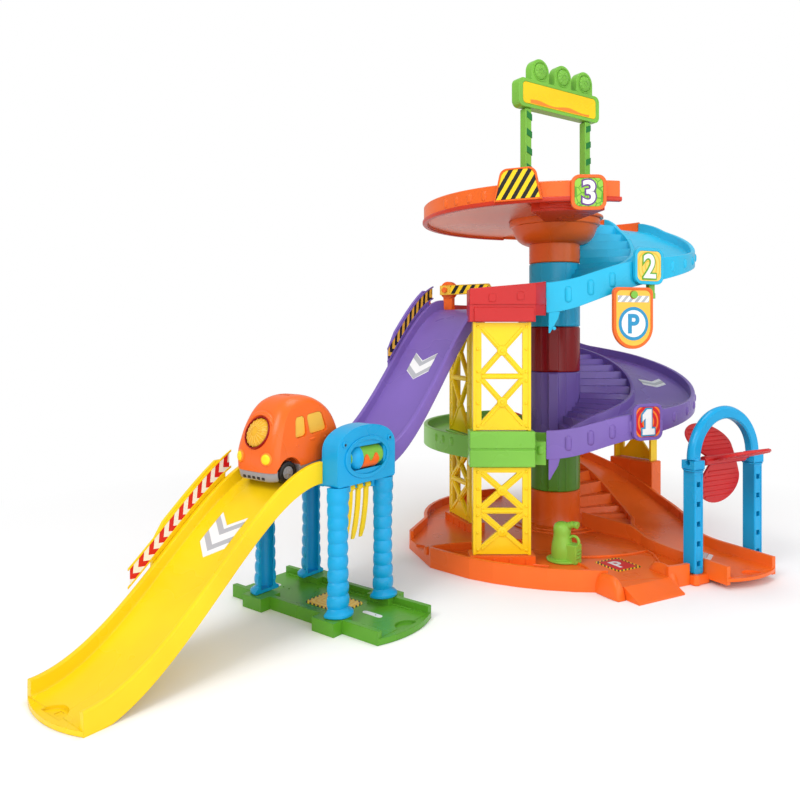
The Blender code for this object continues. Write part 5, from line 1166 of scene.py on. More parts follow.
def hazard_outline(shrink):
    """A trapezium with a straight foot and round shoulders."""
    low, top = HAZARD_LOW + shrink, HAZARD_TOP - shrink
    foot, head = HAZARD_LOW_HALF - shrink, HAZARD_TOP_HALF - shrink
    ease = SHOULDER_EASE
    shoulders = arc(head - ease, top - ease, ease, 10, 90, 10) + arc(
        -head + ease, top - ease, ease, 90, 170, 10
    )
    return [(-foot, low), (foot, low)] + shoulders


matrix = facing(-115, polar(RING_OUTER + GAP + SIGN_THICKNESS / 2, -115, LEVEL_3_Z + 9 * MM))
half = SIGN_THICKNESS / 2
bm = bmesh.new()
add_flat(bm, hazard_outline(0), -half, half - 1 * MM)
add_frame(bm, hazard_outline(0), hazard_outline(1.8 * MM), half - 1.5 * MM, half)
placed("hazard_plate", bm, "orange", matrix, bevel=0.4 * MM, stands_for=["hazard_sign"])
flat_piece(
    "hazard_face", hazard_outline(2 * MM), half - 1.2 * MM, half - 0.4 * MM, "hazard_stripes", matrix
)

PARKING_RADIUS = RING_OUTER + 8.5 * MM
PARKING_ANGLE = -74.7
PARKING_HALF = 24 * MM
PARKING_TOP = 8 * MM
PARKING_LOW = 34 * MM
LETTER_Y = -31 * MM
pin = polar(PARKING_RADIUS, PARKING_ANGLE, LEVEL_2_Z + 12 * MM)
matrix = facing(PARKING_ANGLE, pin)


def parking_outline(shrink):
    """The plate's edge, drawn in by shrink: round below, eased corners above."""
    half = PARKING_HALF - shrink
    top = PARKING_TOP - shrink
    ease = 6 * MM
    points = arc(0, -PARKING_LOW, half, 180, 360, 4) + arc(half - ease, top - ease, ease, 0, 90, 15)
    return points + arc(-half + ease, top - ease, ease, 90, 180, 15)


def disc(radius, low, high, y):
    bm = bmesh.new()
    add_flat(bm, circle(radius, 56, 0, y), low, high)
    return bm


front = SIGN_THICKNESS / 2
bm = bmesh.new()
add_flat(bm, parking_outline(0), -front, front - 0.8 * MM)
bm = combine(bm, [disc(2.3 * MM, -front - 1 * MM, front + 1 * MM, 0)])
placed("parking_plate", bm, "orange", matrix, "swinging_sign", stands_for=["parking_sign"])
bm = bmesh.new()
add_frame(bm, parking_outline(0), parking_outline(3 * MM), front - 1 * MM, front)
placed("parking_border", bm, "orange", matrix, "swinging_sign", bevel=0.5 * MM)
bm = bmesh.new()
add_flat(bm, parking_outline(3.2 * MM), front - 1 * MM, front - 0.3 * MM)
bm = combine(bm, [disc(4.4 * MM, -front, front + 1 * MM, 0)])
placed("parking_face", bm, "ink_gold", matrix, "swinging_sign")
bm = bmesh.new()
band = in_mm((-19, -8), (19, -8), (19, -1), (-19, -1))
add_flat(bm, band, front - 0.4 * MM, front - 0.15 * MM)
bm = combine(bm, [disc(4.6 * MM, -front, front + 1 * MM, 0)])
placed("parking_band", bm, "grey_chevrons", matrix, "swinging_sign")
rounds = (("parking_ring", 18 * MM, "ink_blue", 0), ("parking_field", 14.5 * MM, "white", 1))
for name, radius, ink, level in rounds:
    bm = disc(radius, front - 0.4 * MM, front - 0.1 * MM + 0.15 * MM * level, LETTER_Y)
    placed(name, bm, ink, matrix, "swinging_sign")
bm = bmesh.new()
add_figure(bm, "P", 28 * MM, front - 0.2 * MM, front + 0.3 * MM, 0.9 * MM, 0, LETTER_Y)
placed("parking_letter", bm, "ink_blue", matrix, "swinging_sign")
print("hazard plate and parking sign made")

# %% [markdown]
# ## The sign over the top deck
# The board and its three lamp domes are one shape. The label is set into it, and each lamp gets a
# raised ring and a ribbed lens. The label is bare but for a wave along its lower edge. The posts carry
# thin dark green plates, painted shade that stands in for slanted recesses.

# %% Sign board
ARCH_LEFT = TOWER + Vector((-46 * MM, -56 * MM, 0))
ARCH_RIGHT = TOWER + Vector((42 * MM, 4 * MM, 0))
BOARD_LOW = LEVEL_3_Z + 126 * MM
BOARD_HEIGHT = 35 * MM
BOARD_DEPTH = 13 * MM
LAMP_RADIUS = 15 * MM
LAMP_PITCH = 40 * MM
LAMP_SHIFT = 5 * MM
LAMP_RISE = 13 * MM
POST_HALF = 5 * MM

arch_line = ARCH_RIGHT - ARCH_LEFT
arch_turn = math.degrees(math.atan2(arch_line.y, arch_line.x))
board_width = arch_line.length + 38 * MM
board_centre = (ARCH_LEFT + ARCH_RIGHT) / 2 + upward(BOARD_LOW + BOARD_HEIGHT / 2)
matrix = facing(arch_turn - 90, board_centre)
front = BOARD_DEPTH / 2
lamp_y = BOARD_HEIGHT / 2 + LAMP_RISE
lamp_xs = [LAMP_SHIFT + i * LAMP_PITCH for i in (-1, 0, 1)]

bm = bmesh.new()
add_flat(bm, rounded_outline(board_width, BOARD_HEIGHT, 8 * MM, 8), -front, front)
lobes = []
for x in lamp_xs:
    lobe = bmesh.new()
    outline = arc(x, lamp_y, LAMP_RADIUS, 0, 180, 6)
    outline += [
        (x - LAMP_RADIUS, lamp_y - LAMP_RISE - 4 * MM), (x + LAMP_RADIUS, lamp_y - LAMP_RISE - 4 * MM)
    ]
    add_flat(lobe, outline, -front + 1 * MM, front - 1 * MM)
    lobes.append(lobe)
bm = combine(bm, lobes, "UNION")
cutters = []
pocket = bmesh.new()
outline = rounded_outline(board_width - 13.4 * MM, BOARD_HEIGHT - 8.4 * MM, 5.3 * MM)
add_flat(pocket, outline, front - 2 * MM, front + 2 * MM)
cutters.append(pocket)
for x in lamp_xs:
    socket = bmesh.new()
    add_flat(socket, circle(10.3 * MM, 48, x, lamp_y), front - 3 * MM, front + 2 * MM)
    cutters.append(socket)
bm = combine(bm, cutters)
placed("sign_board", bm, "lime", matrix, bevel=1.1 * MM, steps=3, stands_for=["arch_board"])
bm = bmesh.new()
for x in lamp_xs:
    add_frame(
        bm, circle(12.6 * MM, 48, x, lamp_y), circle(11.4 * MM, 48, x, lamp_y), front - 1.3 * MM,
        front - 0.2 * MM
    )
placed("lamp_rings", bm, "lime", matrix, bevel=0.3 * MM)
for name, x in zip(("left", "middle", "right"), lamp_xs):
    bm = bmesh.new()
    start = Matrix.Translation((x, lamp_y, front - 2.6 * MM))
    add_turned(bm, in_mm((10, 0), (10, 1.2), (9.4, 2.2), (7.6, 3.1), (4, 3.6)), start, 48)
    for i in range(12):
        angle = 2 * pi * i / 12
        tip = Vector((x + 8.6 * MM * cos(angle), lamp_y + 8.6 * MM * sin(angle), front + 0.1 * MM))
        root = Vector((x + 2.5 * MM * cos(angle), lamp_y + 2.5 * MM * sin(angle), front + 1.1 * MM))
        add_rod(bm, root, tip, 0.7 * MM, steps=8)
    placed("lamp_" + name, bm, "lime", matrix, stands_for=["lamp_lens_" + name])
outline = rounded_outline(board_width - 14 * MM, BOARD_HEIGHT - 9 * MM, 5 * MM)
flat_piece(
    "board_label", outline, front - 1.7 * MM, front, "yellow", matrix, bevel=0.3 * MM,
    stands_for=["arch_plate"]
)
label_low = -BOARD_HEIGHT / 2 + 5.5 * MM
crest = [(x * MM, label_low + (3.5 + 1.6 * sin(x / 9)) * MM) for x in range(-53, 54, 3)]
outline = [(-53 * MM, label_low), (52 * MM, label_low)] + crest[::-1]
flat_piece("label_wave", outline, front - 0.4 * MM, front + 0.15 * MM, "ink_orange", matrix)

SLAT_PITCH = 21.5 * MM
SLAT_START = 9 * MM
SLAT_HALF = 4 * MM
SLAT_SIDE = 4.9 * MM
# Painted shade: thin dark green plates on the posts' fronts stand in for their shadowed slanted recesses.
for name, place, lean in (("left", ARCH_LEFT, -2 * MM), ("right", ARCH_RIGHT, 2 * MM)):
    bm = bmesh.new()
    for i in range(6):
        middle = SLAT_START + SLAT_PITCH * i
        corners = [(-SLAT_SIDE, middle - SLAT_HALF - lean), (SLAT_SIDE, middle - SLAT_HALF + lean),
                   (SLAT_SIDE, middle + SLAT_HALF + lean), (-SLAT_SIDE, middle + SLAT_HALF - lean)]
        add_flat(bm, corners, 0, 0.8 * MM)
    front_face = place + heading(arch_turn - 90) * 3.8 * MM + upward(LEVEL_3_Z)
    placed("post_slats_" + name, bm, "deep_green", facing(arch_turn - 90, front_face))
    bm = bmesh.new()
    centre = place - heading(arch_turn) * (POST_HALF + 0.4 * MM) + upward((LEVEL_3_Z + BOARD_LOW) / 2)
    add_box(bm, (2 * MM, 10 * MM, BOARD_LOW - LEVEL_3_Z - 3 * MM), centre, arch_turn)
    foot = place + upward(LEVEL_3_Z + 2 * MM)
    add_box(bm, mm(16, 12, 3.4), foot, arch_turn)
    piece("post_flange_" + name, bm, "lime", bevel=0.7 * MM)
print("sign board made")

# %% [markdown]
# ## Barrier
# The arm comes from the frame. A striped label on its front and a thin raised edge round it turn with
# the arm. The stand, which stays still, gets a round boss over the pin.

# %% Barrier
pivot = down_slide(-9 * MM, -TRACK_WIDTH / 2 + 3 * MM, LEVEL_2_Z + 25 * MM)
matrix = facing(SLIDE_HEADING + 180, pivot - heading(SLIDE_HEADING) * 0.95 * MM)
ARM_HALF = 2.35 * MM
stripe = in_mm((8, -5), (61, -5), (63.5, -1.5), (63.5, 1.5), (61, 5), (8, 5))
flat_piece(
    "barrier_stripes", stripe, ARM_HALF - 0.3 * MM, ARM_HALF + 0.3 * MM, "arm_stripes", matrix, "barrier"
)
bm = bmesh.new()
outer = in_mm((-8, -6), (62, -6), (65, -2), (65, 2), (62, 6), (-8, 6))
inner = in_mm((-6, -5.2), (61.5, -5.2), (64, -1.7), (64, 1.7), (61.5, 5.2), (-6, 5.2))
add_frame(bm, outer, inner, ARM_HALF - 0.5 * MM, ARM_HALF + 0.45 * MM)
placed("barrier_edge", bm, "gold", matrix, "barrier", bevel=0.2 * MM)
bm = bmesh.new()
along = heading(SLIDE_HEADING)
hub = pivot + along * 9 * MM
add_turned(bm, in_mm((8.4, -0.4), (8.4, 0.8), (7, 1.4)), along_axis(hub, along), 32)
add_turned(bm, in_mm((3.4, 1), (3, 2.4)), along_axis(hub, along), 24)
piece("barrier_boss", bm, "orange", bevel=0.3 * MM)
print("barrier dressed")

# %% [markdown]
# ## Slide labels
# The long arrow labels and the side panels' chevrons follow the slides, so they are swept at a small
# height over the floor. Their pattern runs along the sweep by its own distance, not by height.

# %% Labels on the slides
FENCE_HEIGHT = 22 * MM
LABEL_LIFT = 0.45 * MM


def slide_label(name, start, end, reach, floor, notch):
    """A thin label down the middle of a slide; notch makes both its ends point downhill."""
    bm = bmesh.new()
    rows = []
    for side in spread(-reach, reach, 4 * MM):
        shift = notch * (1 - abs(side) / reach)
        row = []
        for distance in spread(start, end, SLIDE_STEP):
            at = distance + shift
            row.append(down_slide(at, side, floor(at) + LABEL_LIFT))
        rows.append(row + [point - upward(LABEL_LIFT + 0.3 * MM) for point in row[::-1]])
    add_loft(bm, rows)
    turn = turned(SLIDE_HEADING + 180)
    origin = Matrix.Translation(down_slide((start + end) / 2)) @ turn
    bmesh.ops.transform(bm, matrix=origin.inverted(), verts=bm.verts)
    placed(name, bm, "arrow_chevrons", origin)


arrow_start = BRIDGE_END + 66 * MM
slide_label("yellow_slide_arrow", arrow_start, arrow_start + 24 * MM, 16 * MM, yellow_floor, 9 * MM)
slide_label("purple_slide_arrow", 82 * MM, 100 * MM, 15 * MM, purple_floor, 8 * MM)


def add_side_strip(bm, start, end, floor, near, far, low, high):
    """A strip along a side panel, between two places across the slide and two heights over its floor."""
    corners = ((near, low), (far, low), (far, high), (near, high))
    add_loft(bm, [[down_slide(distance, side, floor(distance) + up) for side, up in corners]
                  for distance in spread(start, end, SLIDE_STEP)])


def fence_label(name, start, end, floor, ink, frame_colour):
    """A printed strip on the side panel, on the face that looks over the slide."""
    side = -(TRACK_WIDTH / 2 + GAP)
    low, high = RIM_HEIGHT + 5 * MM, RIM_HEIGHT + FENCE_HEIGHT - 4 * MM
    bm = bmesh.new()
    add_side_strip(bm, start, end, floor, side - 0.3 * MM, side + 0.4 * MM, low, high)
    # The print's own coordinates run along the panel and up from its middle line.
    first, last = down_slide(start, side, floor(start)), down_slide(end, side, floor(end))
    way = (last - first).normalized()
    up = way.cross(ACROSS).normalized()
    if up.z < 0:
        up = -up
    turn = Matrix((way, up, way.cross(up))).transposed().to_4x4()
    middle = (first + last) / 2 + upward((low + high) / 2)
    origin = Matrix.Translation(middle) @ turn
    bmesh.ops.transform(bm, matrix=origin.inverted(), verts=bm.verts)
    placed(name, bm, ink, origin)
    bm = bmesh.new()
    for edge in ((low - 1.6 * MM, low + 0.2 * MM), (high - 0.2 * MM, high + 1.6 * MM)):
        add_side_strip(bm, start - 2 * MM, end + 2 * MM, floor, side - 0.5 * MM, side + 0.9 * MM, *edge)
    piece(name + "_frame", bm, frame_colour, bevel=0.3 * MM)


fence_label("purple_panel_print", 18 * MM, 104 * MM, purple_floor, "gold_chevrons", "purple")
panel_start = BRIDGE_END + 42 * MM
fence_label(
    "yellow_panel_print", panel_start, panel_start + 98 * MM, yellow_floor, "red_chevrons", "yellow"
)
print("slide labels made")

# %% [markdown]
# ## Wash bridge
# The bridge's deck is another length of track, but each side carries a tall rounded header. The near
# one has a raised oval frame round the window in which the roller turns. Trunk-like legs with soft
# rings stand on discs.

# %% Bridge deck and headers
HEADER_THICKNESS = 19 * MM
HEADER_BELOW = 10 * MM
HEADER_ABOVE = 42 * MM
HEADER_MIDDLE = TRACK_WIDTH / 2 + HEADER_THICKNESS / 2 - 1.5 * MM
ROLLER_RADIUS = 12 * MM
ROLLER_LENGTH = 42 * MM
ROLLER_Z = BRIDGE_Z + 13 * MM
ROLLER_SIDE = TRACK_WIDTH / 2 + HEADER_THICKNESS - 1.5 * MM - ROLLER_RADIUS + 4 * MM
ROD_Z = BRIDGE_Z - HEADER_BELOW - 5 * MM
ROD_SIDE = HEADER_MIDDLE - 2 * MM
ROD_HALF = 18.6 * MM
ROD_HOLE = 1.75 * MM

half = BRIDGE_LENGTH / 2
SHOULDER = HEADER_ABOVE * 0.45
header_edge = [(half - 2 * MM, -HEADER_BELOW), (half, -HEADER_BELOW + 2 * MM), (half, SHOULDER)]
for a in spread(4, 176, 4):
    angle = radians(a)
    header_edge.append((half * cos(angle), HEADER_ABOVE * (0.45 + 0.55 * sin(angle) ** 0.8)))
header_edge += [(-half, SHOULDER), (-half, -HEADER_BELOW + 2 * MM), (-half + 2 * MM, -HEADER_BELOW)]


def rod_mesh(start, end, radius, steps=32):
    bm = bmesh.new()
    add_rod(bm, start, end, radius, steps=steps)
    return bm


def bore(middle, reach, radius):
    """A cutter that runs along the slides."""
    return rod_mesh(middle - DOWNHILL * reach, middle + DOWNHILL * reach, radius)


roller_middle = down_slide(BRIDGE_MIDDLE, ROLLER_SIDE, ROLLER_Z)
rod_middle = down_slide(BRIDGE_MIDDLE, ROD_SIDE, ROD_Z)
for sign, name in ((1, "near"), (-1, "far")):
    bm = bmesh.new()
    stand = facing(SLIDE_HEADING - 90, down_slide(BRIDGE_MIDDLE, sign * HEADER_MIDDLE, BRIDGE_Z))
    add_plate(bm, header_edge, HEADER_THICKNESS, stand)
    if sign > 0:
        for end in (-1, 1):
            place = down_slide(BRIDGE_MIDDLE + end * (ROD_HALF - 2 * MM), ROD_SIDE, ROD_Z + 2 * MM)
            add_box(bm, mm(4, 8, 9.5), place, SLIDE_HEADING)
        reach = ROLLER_LENGTH / 2 + 1.5 * MM
        room = bore(roller_middle, reach, ROLLER_RADIUS + 1 * MM)
        bearing = bore(roller_middle, reach + 3.5 * MM, 2.6 * MM)
        hole = rod_mesh(rod_middle - DOWNHILL * 40 * MM, rod_middle + DOWNHILL * 40 * MM, ROD_HOLE)
        bm = combine(bm, [room, bearing, hole])
        dress = dict(bevel=2.0 * MM, stands_for=["bridge_deck"])
        piece("bridge_header_near", bm, "blue", steps=3, sharp=50, **dress)
    else:
        piece("bridge_header_far", bm, "blue", bevel=2.4 * MM, steps=3, sharp=50)

bm = bmesh.new()
add_loft(bm, [on_section(track_section(HEADER_BELOW), down_slide(distance, z=BRIDGE_Z), ACROSS)
              for distance in (PURPLE_LENGTH + GAP, BRIDGE_MIDDLE, BRIDGE_END)])
piece("bridge_floor", bm, "blue")

header_face = HEADER_MIDDLE + HEADER_THICKNESS / 2
outer_face = facing(SLIDE_HEADING - 90, down_slide(BRIDGE_MIDDLE, header_face, BRIDGE_Z))


OVAL_STEPS = 56


def oval(wide, high, y):
    angles = [2 * pi * i / OVAL_STEPS for i in range(OVAL_STEPS)]
    return [(wide * cos(a), y + high * sin(a)) for a in angles]


bm = bmesh.new()
add_frame(bm, oval(*mm(31, 19, 13)), oval(*mm(26.5, 15, 13)), -0.6 * MM, 1.5 * MM)
placed("window_frame", bm, "blue", outer_face, bevel=0.7 * MM, steps=3)
bm = bmesh.new()
cap_places = in_mm((-31, 27), (31, 27))
for x, y in cap_places:
    add_turned(bm, in_mm((2.9, -0.5), (2.9, 0.8), (2.2, 1.1)), Matrix.Translation((x, y, 0)), 24)
placed("header_caps", bm, "blue", outer_face, bevel=0.2 * MM)
# Painted shade: small black discs in the caps stand in for the dark inside of their holes.
bm = bmesh.new()
for x, y in cap_places:
    add_turned(bm, in_mm((1.2, 0.4), (1.2, 1.25)), Matrix.Translation((x, y, 0)), 16)
placed("header_holes", bm, "black", outer_face)
print("bridge deck and headers made")

# %% [markdown]
# ## Roller and legs
# The roller is one turned drum with stub axles. The two-coloured print is a raised band that covers
# half the drum, with a wavy edge made by shifting its angle along the axle. The legs are turned in one
# go with their soft rings, then hollowed and opened on the inner side, as a half shell comes out of its
# mould.

# %% Roller and legs
half = ROLLER_LENGTH / 2
turn = along_axis(roller_middle, DOWNHILL)
profile = [(2.5 * MM, half + 4.2 * MM), (2.5 * MM, half), (ROLLER_RADIUS * 0.6, half)]
profile += [(ROLLER_RADIUS * cos(a), half - 9 * MM + 9 * MM * sin(a)) for a in (0.95, 0.7, 0.45, 0.2, 0.0)]
profile += [(ROLLER_RADIUS, half - 11 * MM), (ROLLER_RADIUS - 1.5 * MM, half - 12.5 * MM)]
profile += [
    (ROLLER_RADIUS - 1.5 * MM, -half + 5 * MM), (ROLLER_RADIUS * 0.75, -half), (2.5 * MM, -half),
    (2.5 * MM, -half - 4.2 * MM)
]
bm = bmesh.new()
add_turned(bm, profile, turn, 48)
piece("roller_drum", bm, "lime", "roller", stands_for=["bridge_roller"])
bm = bmesh.new()
drum = ROLLER_RADIUS - 1.2 * MM
WAVE_STEPS = 32
WAVE_SWING = 0.34
WAVE_LENGTH = 20
BAND_REACH = 1.5
down = turn.inverted().to_3x3() @ upward(-1)
band_middle = math.atan2(down.y, down.x)
rings = []
for i in range(WAVE_STEPS + 1):
    along = half - 13 * MM - i * (ROLLER_LENGTH - 21 * MM) / WAVE_STEPS
    swing = band_middle + WAVE_SWING * sin(i * 2 * pi / WAVE_LENGTH)
    angles = [swing + a for a in spread(-BAND_REACH, BAND_REACH, 0.15)]
    ring = [(drum + 0.6 * MM, a) for a in angles] + [(drum - 1.2 * MM, a) for a in angles[::-1]]
    rings.append([turn @ Vector((r * cos(a), r * sin(a), along)) for r, a in ring])
add_loft(bm, rings)
piece("roller_wave", bm, "orange", "roller")
bm = bmesh.new()
CAP_END = half - 10.5 * MM
cap = [(ROLLER_RADIUS * 0.55, half - 0.2 * MM)] + [(r, z + 0.35 * MM) for r, z in profile[3:8]]
cap += [
    (ROLLER_RADIUS + 0.3 * MM, CAP_END), (ROLLER_RADIUS - 0.4 * MM, CAP_END),
    (ROLLER_RADIUS * 0.5, half - 2 * MM)
]
add_turned(bm, cap, turn, 48)
piece("roller_cap", bm, "blue", "roller")

GREEN_TOP_Z = 12 * MM
LEG_RADIUS = 11 * MM
LEG_WALL = 3.4 * MM
LEG_SPREAD = 31 * MM
FOOT_RADIUS = 15 * MM
LEG_RINGS = 9
leg_top = BRIDGE_Z - HEADER_BELOW - GAP
leg_low = GREEN_TOP_Z + GAP


def leg_profile():
    points = [
        (FOOT_RADIUS - 0.8 * MM, leg_low), (FOOT_RADIUS, leg_low + 0.8 * MM),
        (FOOT_RADIUS, leg_low + 2.6 * MM), (FOOT_RADIUS - 1 * MM, leg_low + 3.6 * MM),
        (LEG_RADIUS + 0.6 * MM, leg_low + 4.8 * MM)
    ]
    start = leg_low + 7 * MM
    pitch = (leg_top - 3 * MM - start) / LEG_RINGS
    for i in range(LEG_RINGS):
        waist = 1.3 * MM * sin(pi * (i + 0.5) / LEG_RINGS)
        wide = LEG_RADIUS - waist
        z = start + pitch * i
        points += [
            (wide - 0.7 * MM, z), (wide + 0.15 * MM, z + pitch * 0.18), (wide + 0.6 * MM, z + pitch * 0.42),
            (wide + 0.5 * MM, z + pitch * 0.66), (wide, z + pitch * 0.86)
        ]
    points += [(LEG_RADIUS, leg_top - 2.4 * MM), (LEG_RADIUS, leg_top)]
    return points


LEGS = (("near_right", 1, 1), ("far_right", 1, -1), ("near_left", -1, 1), ("far_left", -1, -1))
for name, side, along in LEGS:
    bm = bmesh.new()
    centre = down_slide(BRIDGE_MIDDLE + along * LEG_SPREAD, side * HEADER_MIDDLE)
    inward = SLIDE_HEADING + 90 * side
    place = Matrix.Translation(centre) @ turned(inward - 90)
    add_turned(bm, leg_profile(), place, 36)
    core = bmesh.new()
    hollow = LEG_RADIUS - LEG_WALL
    add_turned(core, [(hollow, leg_low + 3 * MM), (hollow, leg_top - 3 * MM)], place, 24)
    mouth = bmesh.new()
    add_box(mouth, (2.2 * FOOT_RADIUS, 2 * FOOT_RADIUS, leg_top + 20 * MM), (0, 0, 0))
    bmesh.ops.translate(mouth, vec=Vector((0, FOOT_RADIUS + 1.5 * MM, leg_top / 2)), verts=mouth.verts)
    bmesh.ops.transform(mouth, matrix=place, verts=mouth.verts)
    bm = combine(bm, [core, mouth])
    piece("trunk_" + name, bm, "blue", stands_for=["bridge_leg_" + name])
print("roller and four legs made")

# %% [markdown]
# ## Green road
# The road under the bridge is kept from the frame. On it lie rails, a few thin marks, a rounded dash
# and a label with a striped border.

# %% Road details
GREEN_LENGTH = 186 * MM
GREEN_SHIFT = 6 * MM
GREEN_FLOOR_Z = 6 * MM
road_middle = down_slide(BRIDGE_MIDDLE, GREEN_SHIFT, GREEN_FLOOR_Z)
road = Matrix.Translation(road_middle) @ turned(SLIDE_HEADING - 90)
half = GREEN_LENGTH / 2


def capsule(x0, x1, y, width):
    radius = width / 2
    return arc(x1 - radius, y, radius, -90, 90, 15) + arc(x0 + radius, y, radius, 90, 270, 15)


bm = bmesh.new()
inner = TRACK_WIDTH / 2 - RIM_WALL
for sign in (-1, 1):
    add_flat(
        bm, capsule(-half + 8 * MM, half - 16 * MM, sign * (inner - 3.5 * MM), 2.4 * MM), -0.3 * MM,
        1.1 * MM
    )
for x in (-62, -54, -6, 2, 58):
    add_flat(bm, capsule(x * MM, (x + 1.6) * MM, 0, 1.6 * MM), -0.3 * MM, 0.5 * MM)
placed("road_rails", bm, "green", road, bevel=0.3 * MM)
bm = bmesh.new()
add_flat(bm, capsule(44 * MM, 66 * MM, 0, 5.5 * MM), -0.2 * MM, 0.4 * MM)
add_flat(bm, capsule(-86 * MM, -66 * MM, 0, 5.5 * MM), -0.2 * MM, 0.4 * MM)
placed("road_dashes", bm, "white", road)
bm = bmesh.new()
add_flat(bm, rounded_outline(*mm(48, 34, 6)), -0.2 * MM, 0.35 * MM)
bmesh.ops.translate(bm, vec=Vector((8 * MM, 0, 0)), verts=bm.verts)
placed("road_label_edge", bm, "border_stripes", road)
bm = bmesh.new()
add_flat(bm, rounded_outline(*mm(43, 29, 4.5)), 0.1 * MM, 0.5 * MM)
bmesh.ops.translate(bm, vec=Vector((8 * MM, 0, 0)), verts=bm.verts)
placed("road_label", bm, "gold_rings", road)
print("road dressed")

# %% [markdown]
# ## Spinner gate
# The arch over the exit lane is a smooth band on two collars. The spinner has three leaf-shaped paddles
# with slats, a third of a turn apart, and turns on one axle through both collars.

# %% Gate
GATE_BAR = 6.5 * MM
pivot_z = GATE_LEG_TOP + 7 * MM
arch_spring_z = GATE_LEG_TOP + 10 * MM
AXLE_HOLE = 2.6 * MM
hole_ends = [gate_place(side * GATE_HALF_SPAN, pivot_z) for side in (-1.4, 1.4)]
axle_hole = rod_mesh(*hole_ends, AXLE_HOLE)


def band_section(half_width, half_depth):
    """A rounded band with a ridge on its outer side."""
    return [
        (-half_width, -half_depth + 1.5 * MM), (-half_width + 1.5 * MM, -half_depth),
        (half_width - 2.5 * MM, -half_depth), (half_width - 0.8 * MM, -half_depth + 1.6 * MM),
        (half_width, -1.6 * MM), (half_width + 0.5 * MM, 0), (half_width, 1.6 * MM),
        (half_width - 0.8 * MM, half_depth - 1.6 * MM), (half_width - 2.5 * MM, half_depth),
        (-half_width + 1.5 * MM, half_depth), (-half_width, half_depth - 1.5 * MM)
    ]


bm = bmesh.new()
rings = []
for a in spread(0, 180, 4):
    middle = gate_place(GATE_HALF_SPAN * cos(radians(a)), arch_spring_z + GATE_HALF_SPAN * sin(radians(a)))
    radial = heading(exit_heading + 90) * cos(radians(a)) + Vector((0, 0, sin(radians(a))))
    rings.append(
        [middle + radial * x + heading(exit_heading) * y for x, y in band_section(GATE_BAR, 5 * MM)]
    )
add_loft(bm, rings)
piece("gate_band", bm, "blue", stands_for=["gate_arch"])
bm = bmesh.new()
for sign in (-1, 1):
    size = (GATE_LEG_DEPTH + 2 * MM, GATE_LEG_WIDTH + 3 * MM, 9 * MM)
    add_box(bm, size, gate_place(sign * GATE_HALF_SPAN, GATE_LEG_TOP + GAP + 4.5 * MM), exit_heading)
bm = combine(bm, [axle_hole])
piece("gate_collars", bm, "blue", bevel=1.8 * MM, steps=3)
bm = bmesh.new()
for sign in (-1, 1):
    for forward in (-3.6, 3.6):
        place = Matrix.Translation(gate_place(sign * GATE_HALF_SPAN, GATE_LEG_TOP + 8.6 * MM, forward * MM))
        dome = [(3.6 * MM * cos(a), 5 * MM * sin(a)) for a in (0, 0.4, 0.8, 1.15, 1.4)]
        add_turned(bm, dome, place, 24)
    flange = Matrix.Translation(gate_place(sign * GATE_HALF_SPAN, GATE_LEG_TOP - 1.2 * MM))
    add_turned(bm, in_mm((10.2, 0), (10.6, 0.6), (10.2, 1.2)), flange, 40)
piece("gate_domes", bm, "blue")
bm = bmesh.new()
for sign in (-1, 1):
    for edge in (-1, 1):
        place = gate_place(
            sign * GATE_HALF_SPAN + edge * (GATE_LEG_WIDTH / 2 - 1.6 * MM), 0, GATE_LEG_DEPTH / 2 - 0.3 * MM
        )
        add_rod(bm, place + upward(16 * MM), place + upward(GATE_LEG_TOP - 5 * MM), 1.1 * MM, steps=12)
piece("gate_leg_ribs", bm, "blue")

SPINNER_RADIUS = 50 * MM
SPINNER_WIDTH = 58 * MM
PADDLE = 2.6 * MM
axle_middle = gate_place(0, pivot_z)
across = heading(exit_heading + 90)
bm = bmesh.new()
reach = GATE_HALF_SPAN - 1 * MM
add_rod(bm, axle_middle - across * reach, axle_middle + across * reach, 2.4 * MM)
hub = SPINNER_WIDTH / 2 + 3 * MM
sleeve = [(4.2 * MM, -hub), (5 * MM, -hub + 0.8 * MM), (5 * MM, hub - 0.8 * MM), (4.2 * MM, hub)]
add_turned(bm, sleeve, along_axis(axle_middle, across), 36)
piece("spinner_axle", bm, "red", "gate_spinner", stands_for=["spinner"])
leaf_half = SPINNER_WIDTH / 2
leaf = [(-leaf_half * 0.6, 2 * MM)]
LEAF_MIDDLE = -SPINNER_RADIUS * 0.52
LEAF_DROP = SPINNER_RADIUS * 0.48
leaf_angles = [radians(a) for a in spread(158, 382, 7)]
leaf += [(leaf_half * 1.05 * cos(a), LEAF_MIDDLE + LEAF_DROP * sin(a)) for a in leaf_angles]
leaf += [(leaf_half * 0.6, 2 * MM)]
for k, turn in enumerate((12, 132, 252)):
    bm = bmesh.new()
    add_flat(bm, leaf, -PADDLE / 2, PADDLE / 2)
    for i in range(6):
        drop = -SPINNER_RADIUS * (0.26 + 0.115 * i)
        share = (drop - LEAF_MIDDLE) / LEAF_DROP
        wide = leaf_half * 0.92 * math.sqrt(max(0.05, 1 - share * share))
        add_flat(bm, capsule(-wide, wide, drop, 2.2 * MM), -PADDLE / 2 - 0.9 * MM, PADDLE / 2 + 0.9 * MM)
    matrix = (Matrix.Translation(axle_middle) @ turned(exit_heading + 90)
              @ turned(turn, "X") @ turned(90, "X"))
    placed("spinner_paddle_" + str(k + 1), bm, "red", matrix, "gate_spinner", bevel=0.5 * MM)
print("gate and spinner made")

# %% [markdown]
# ## The car
# The car is built upright in its own coordinates and then set on the slide. Its body is lofted across
# its width from one side view, so the roof draws in evenly. Windows, vents and wheel rooms are cut from
# it.

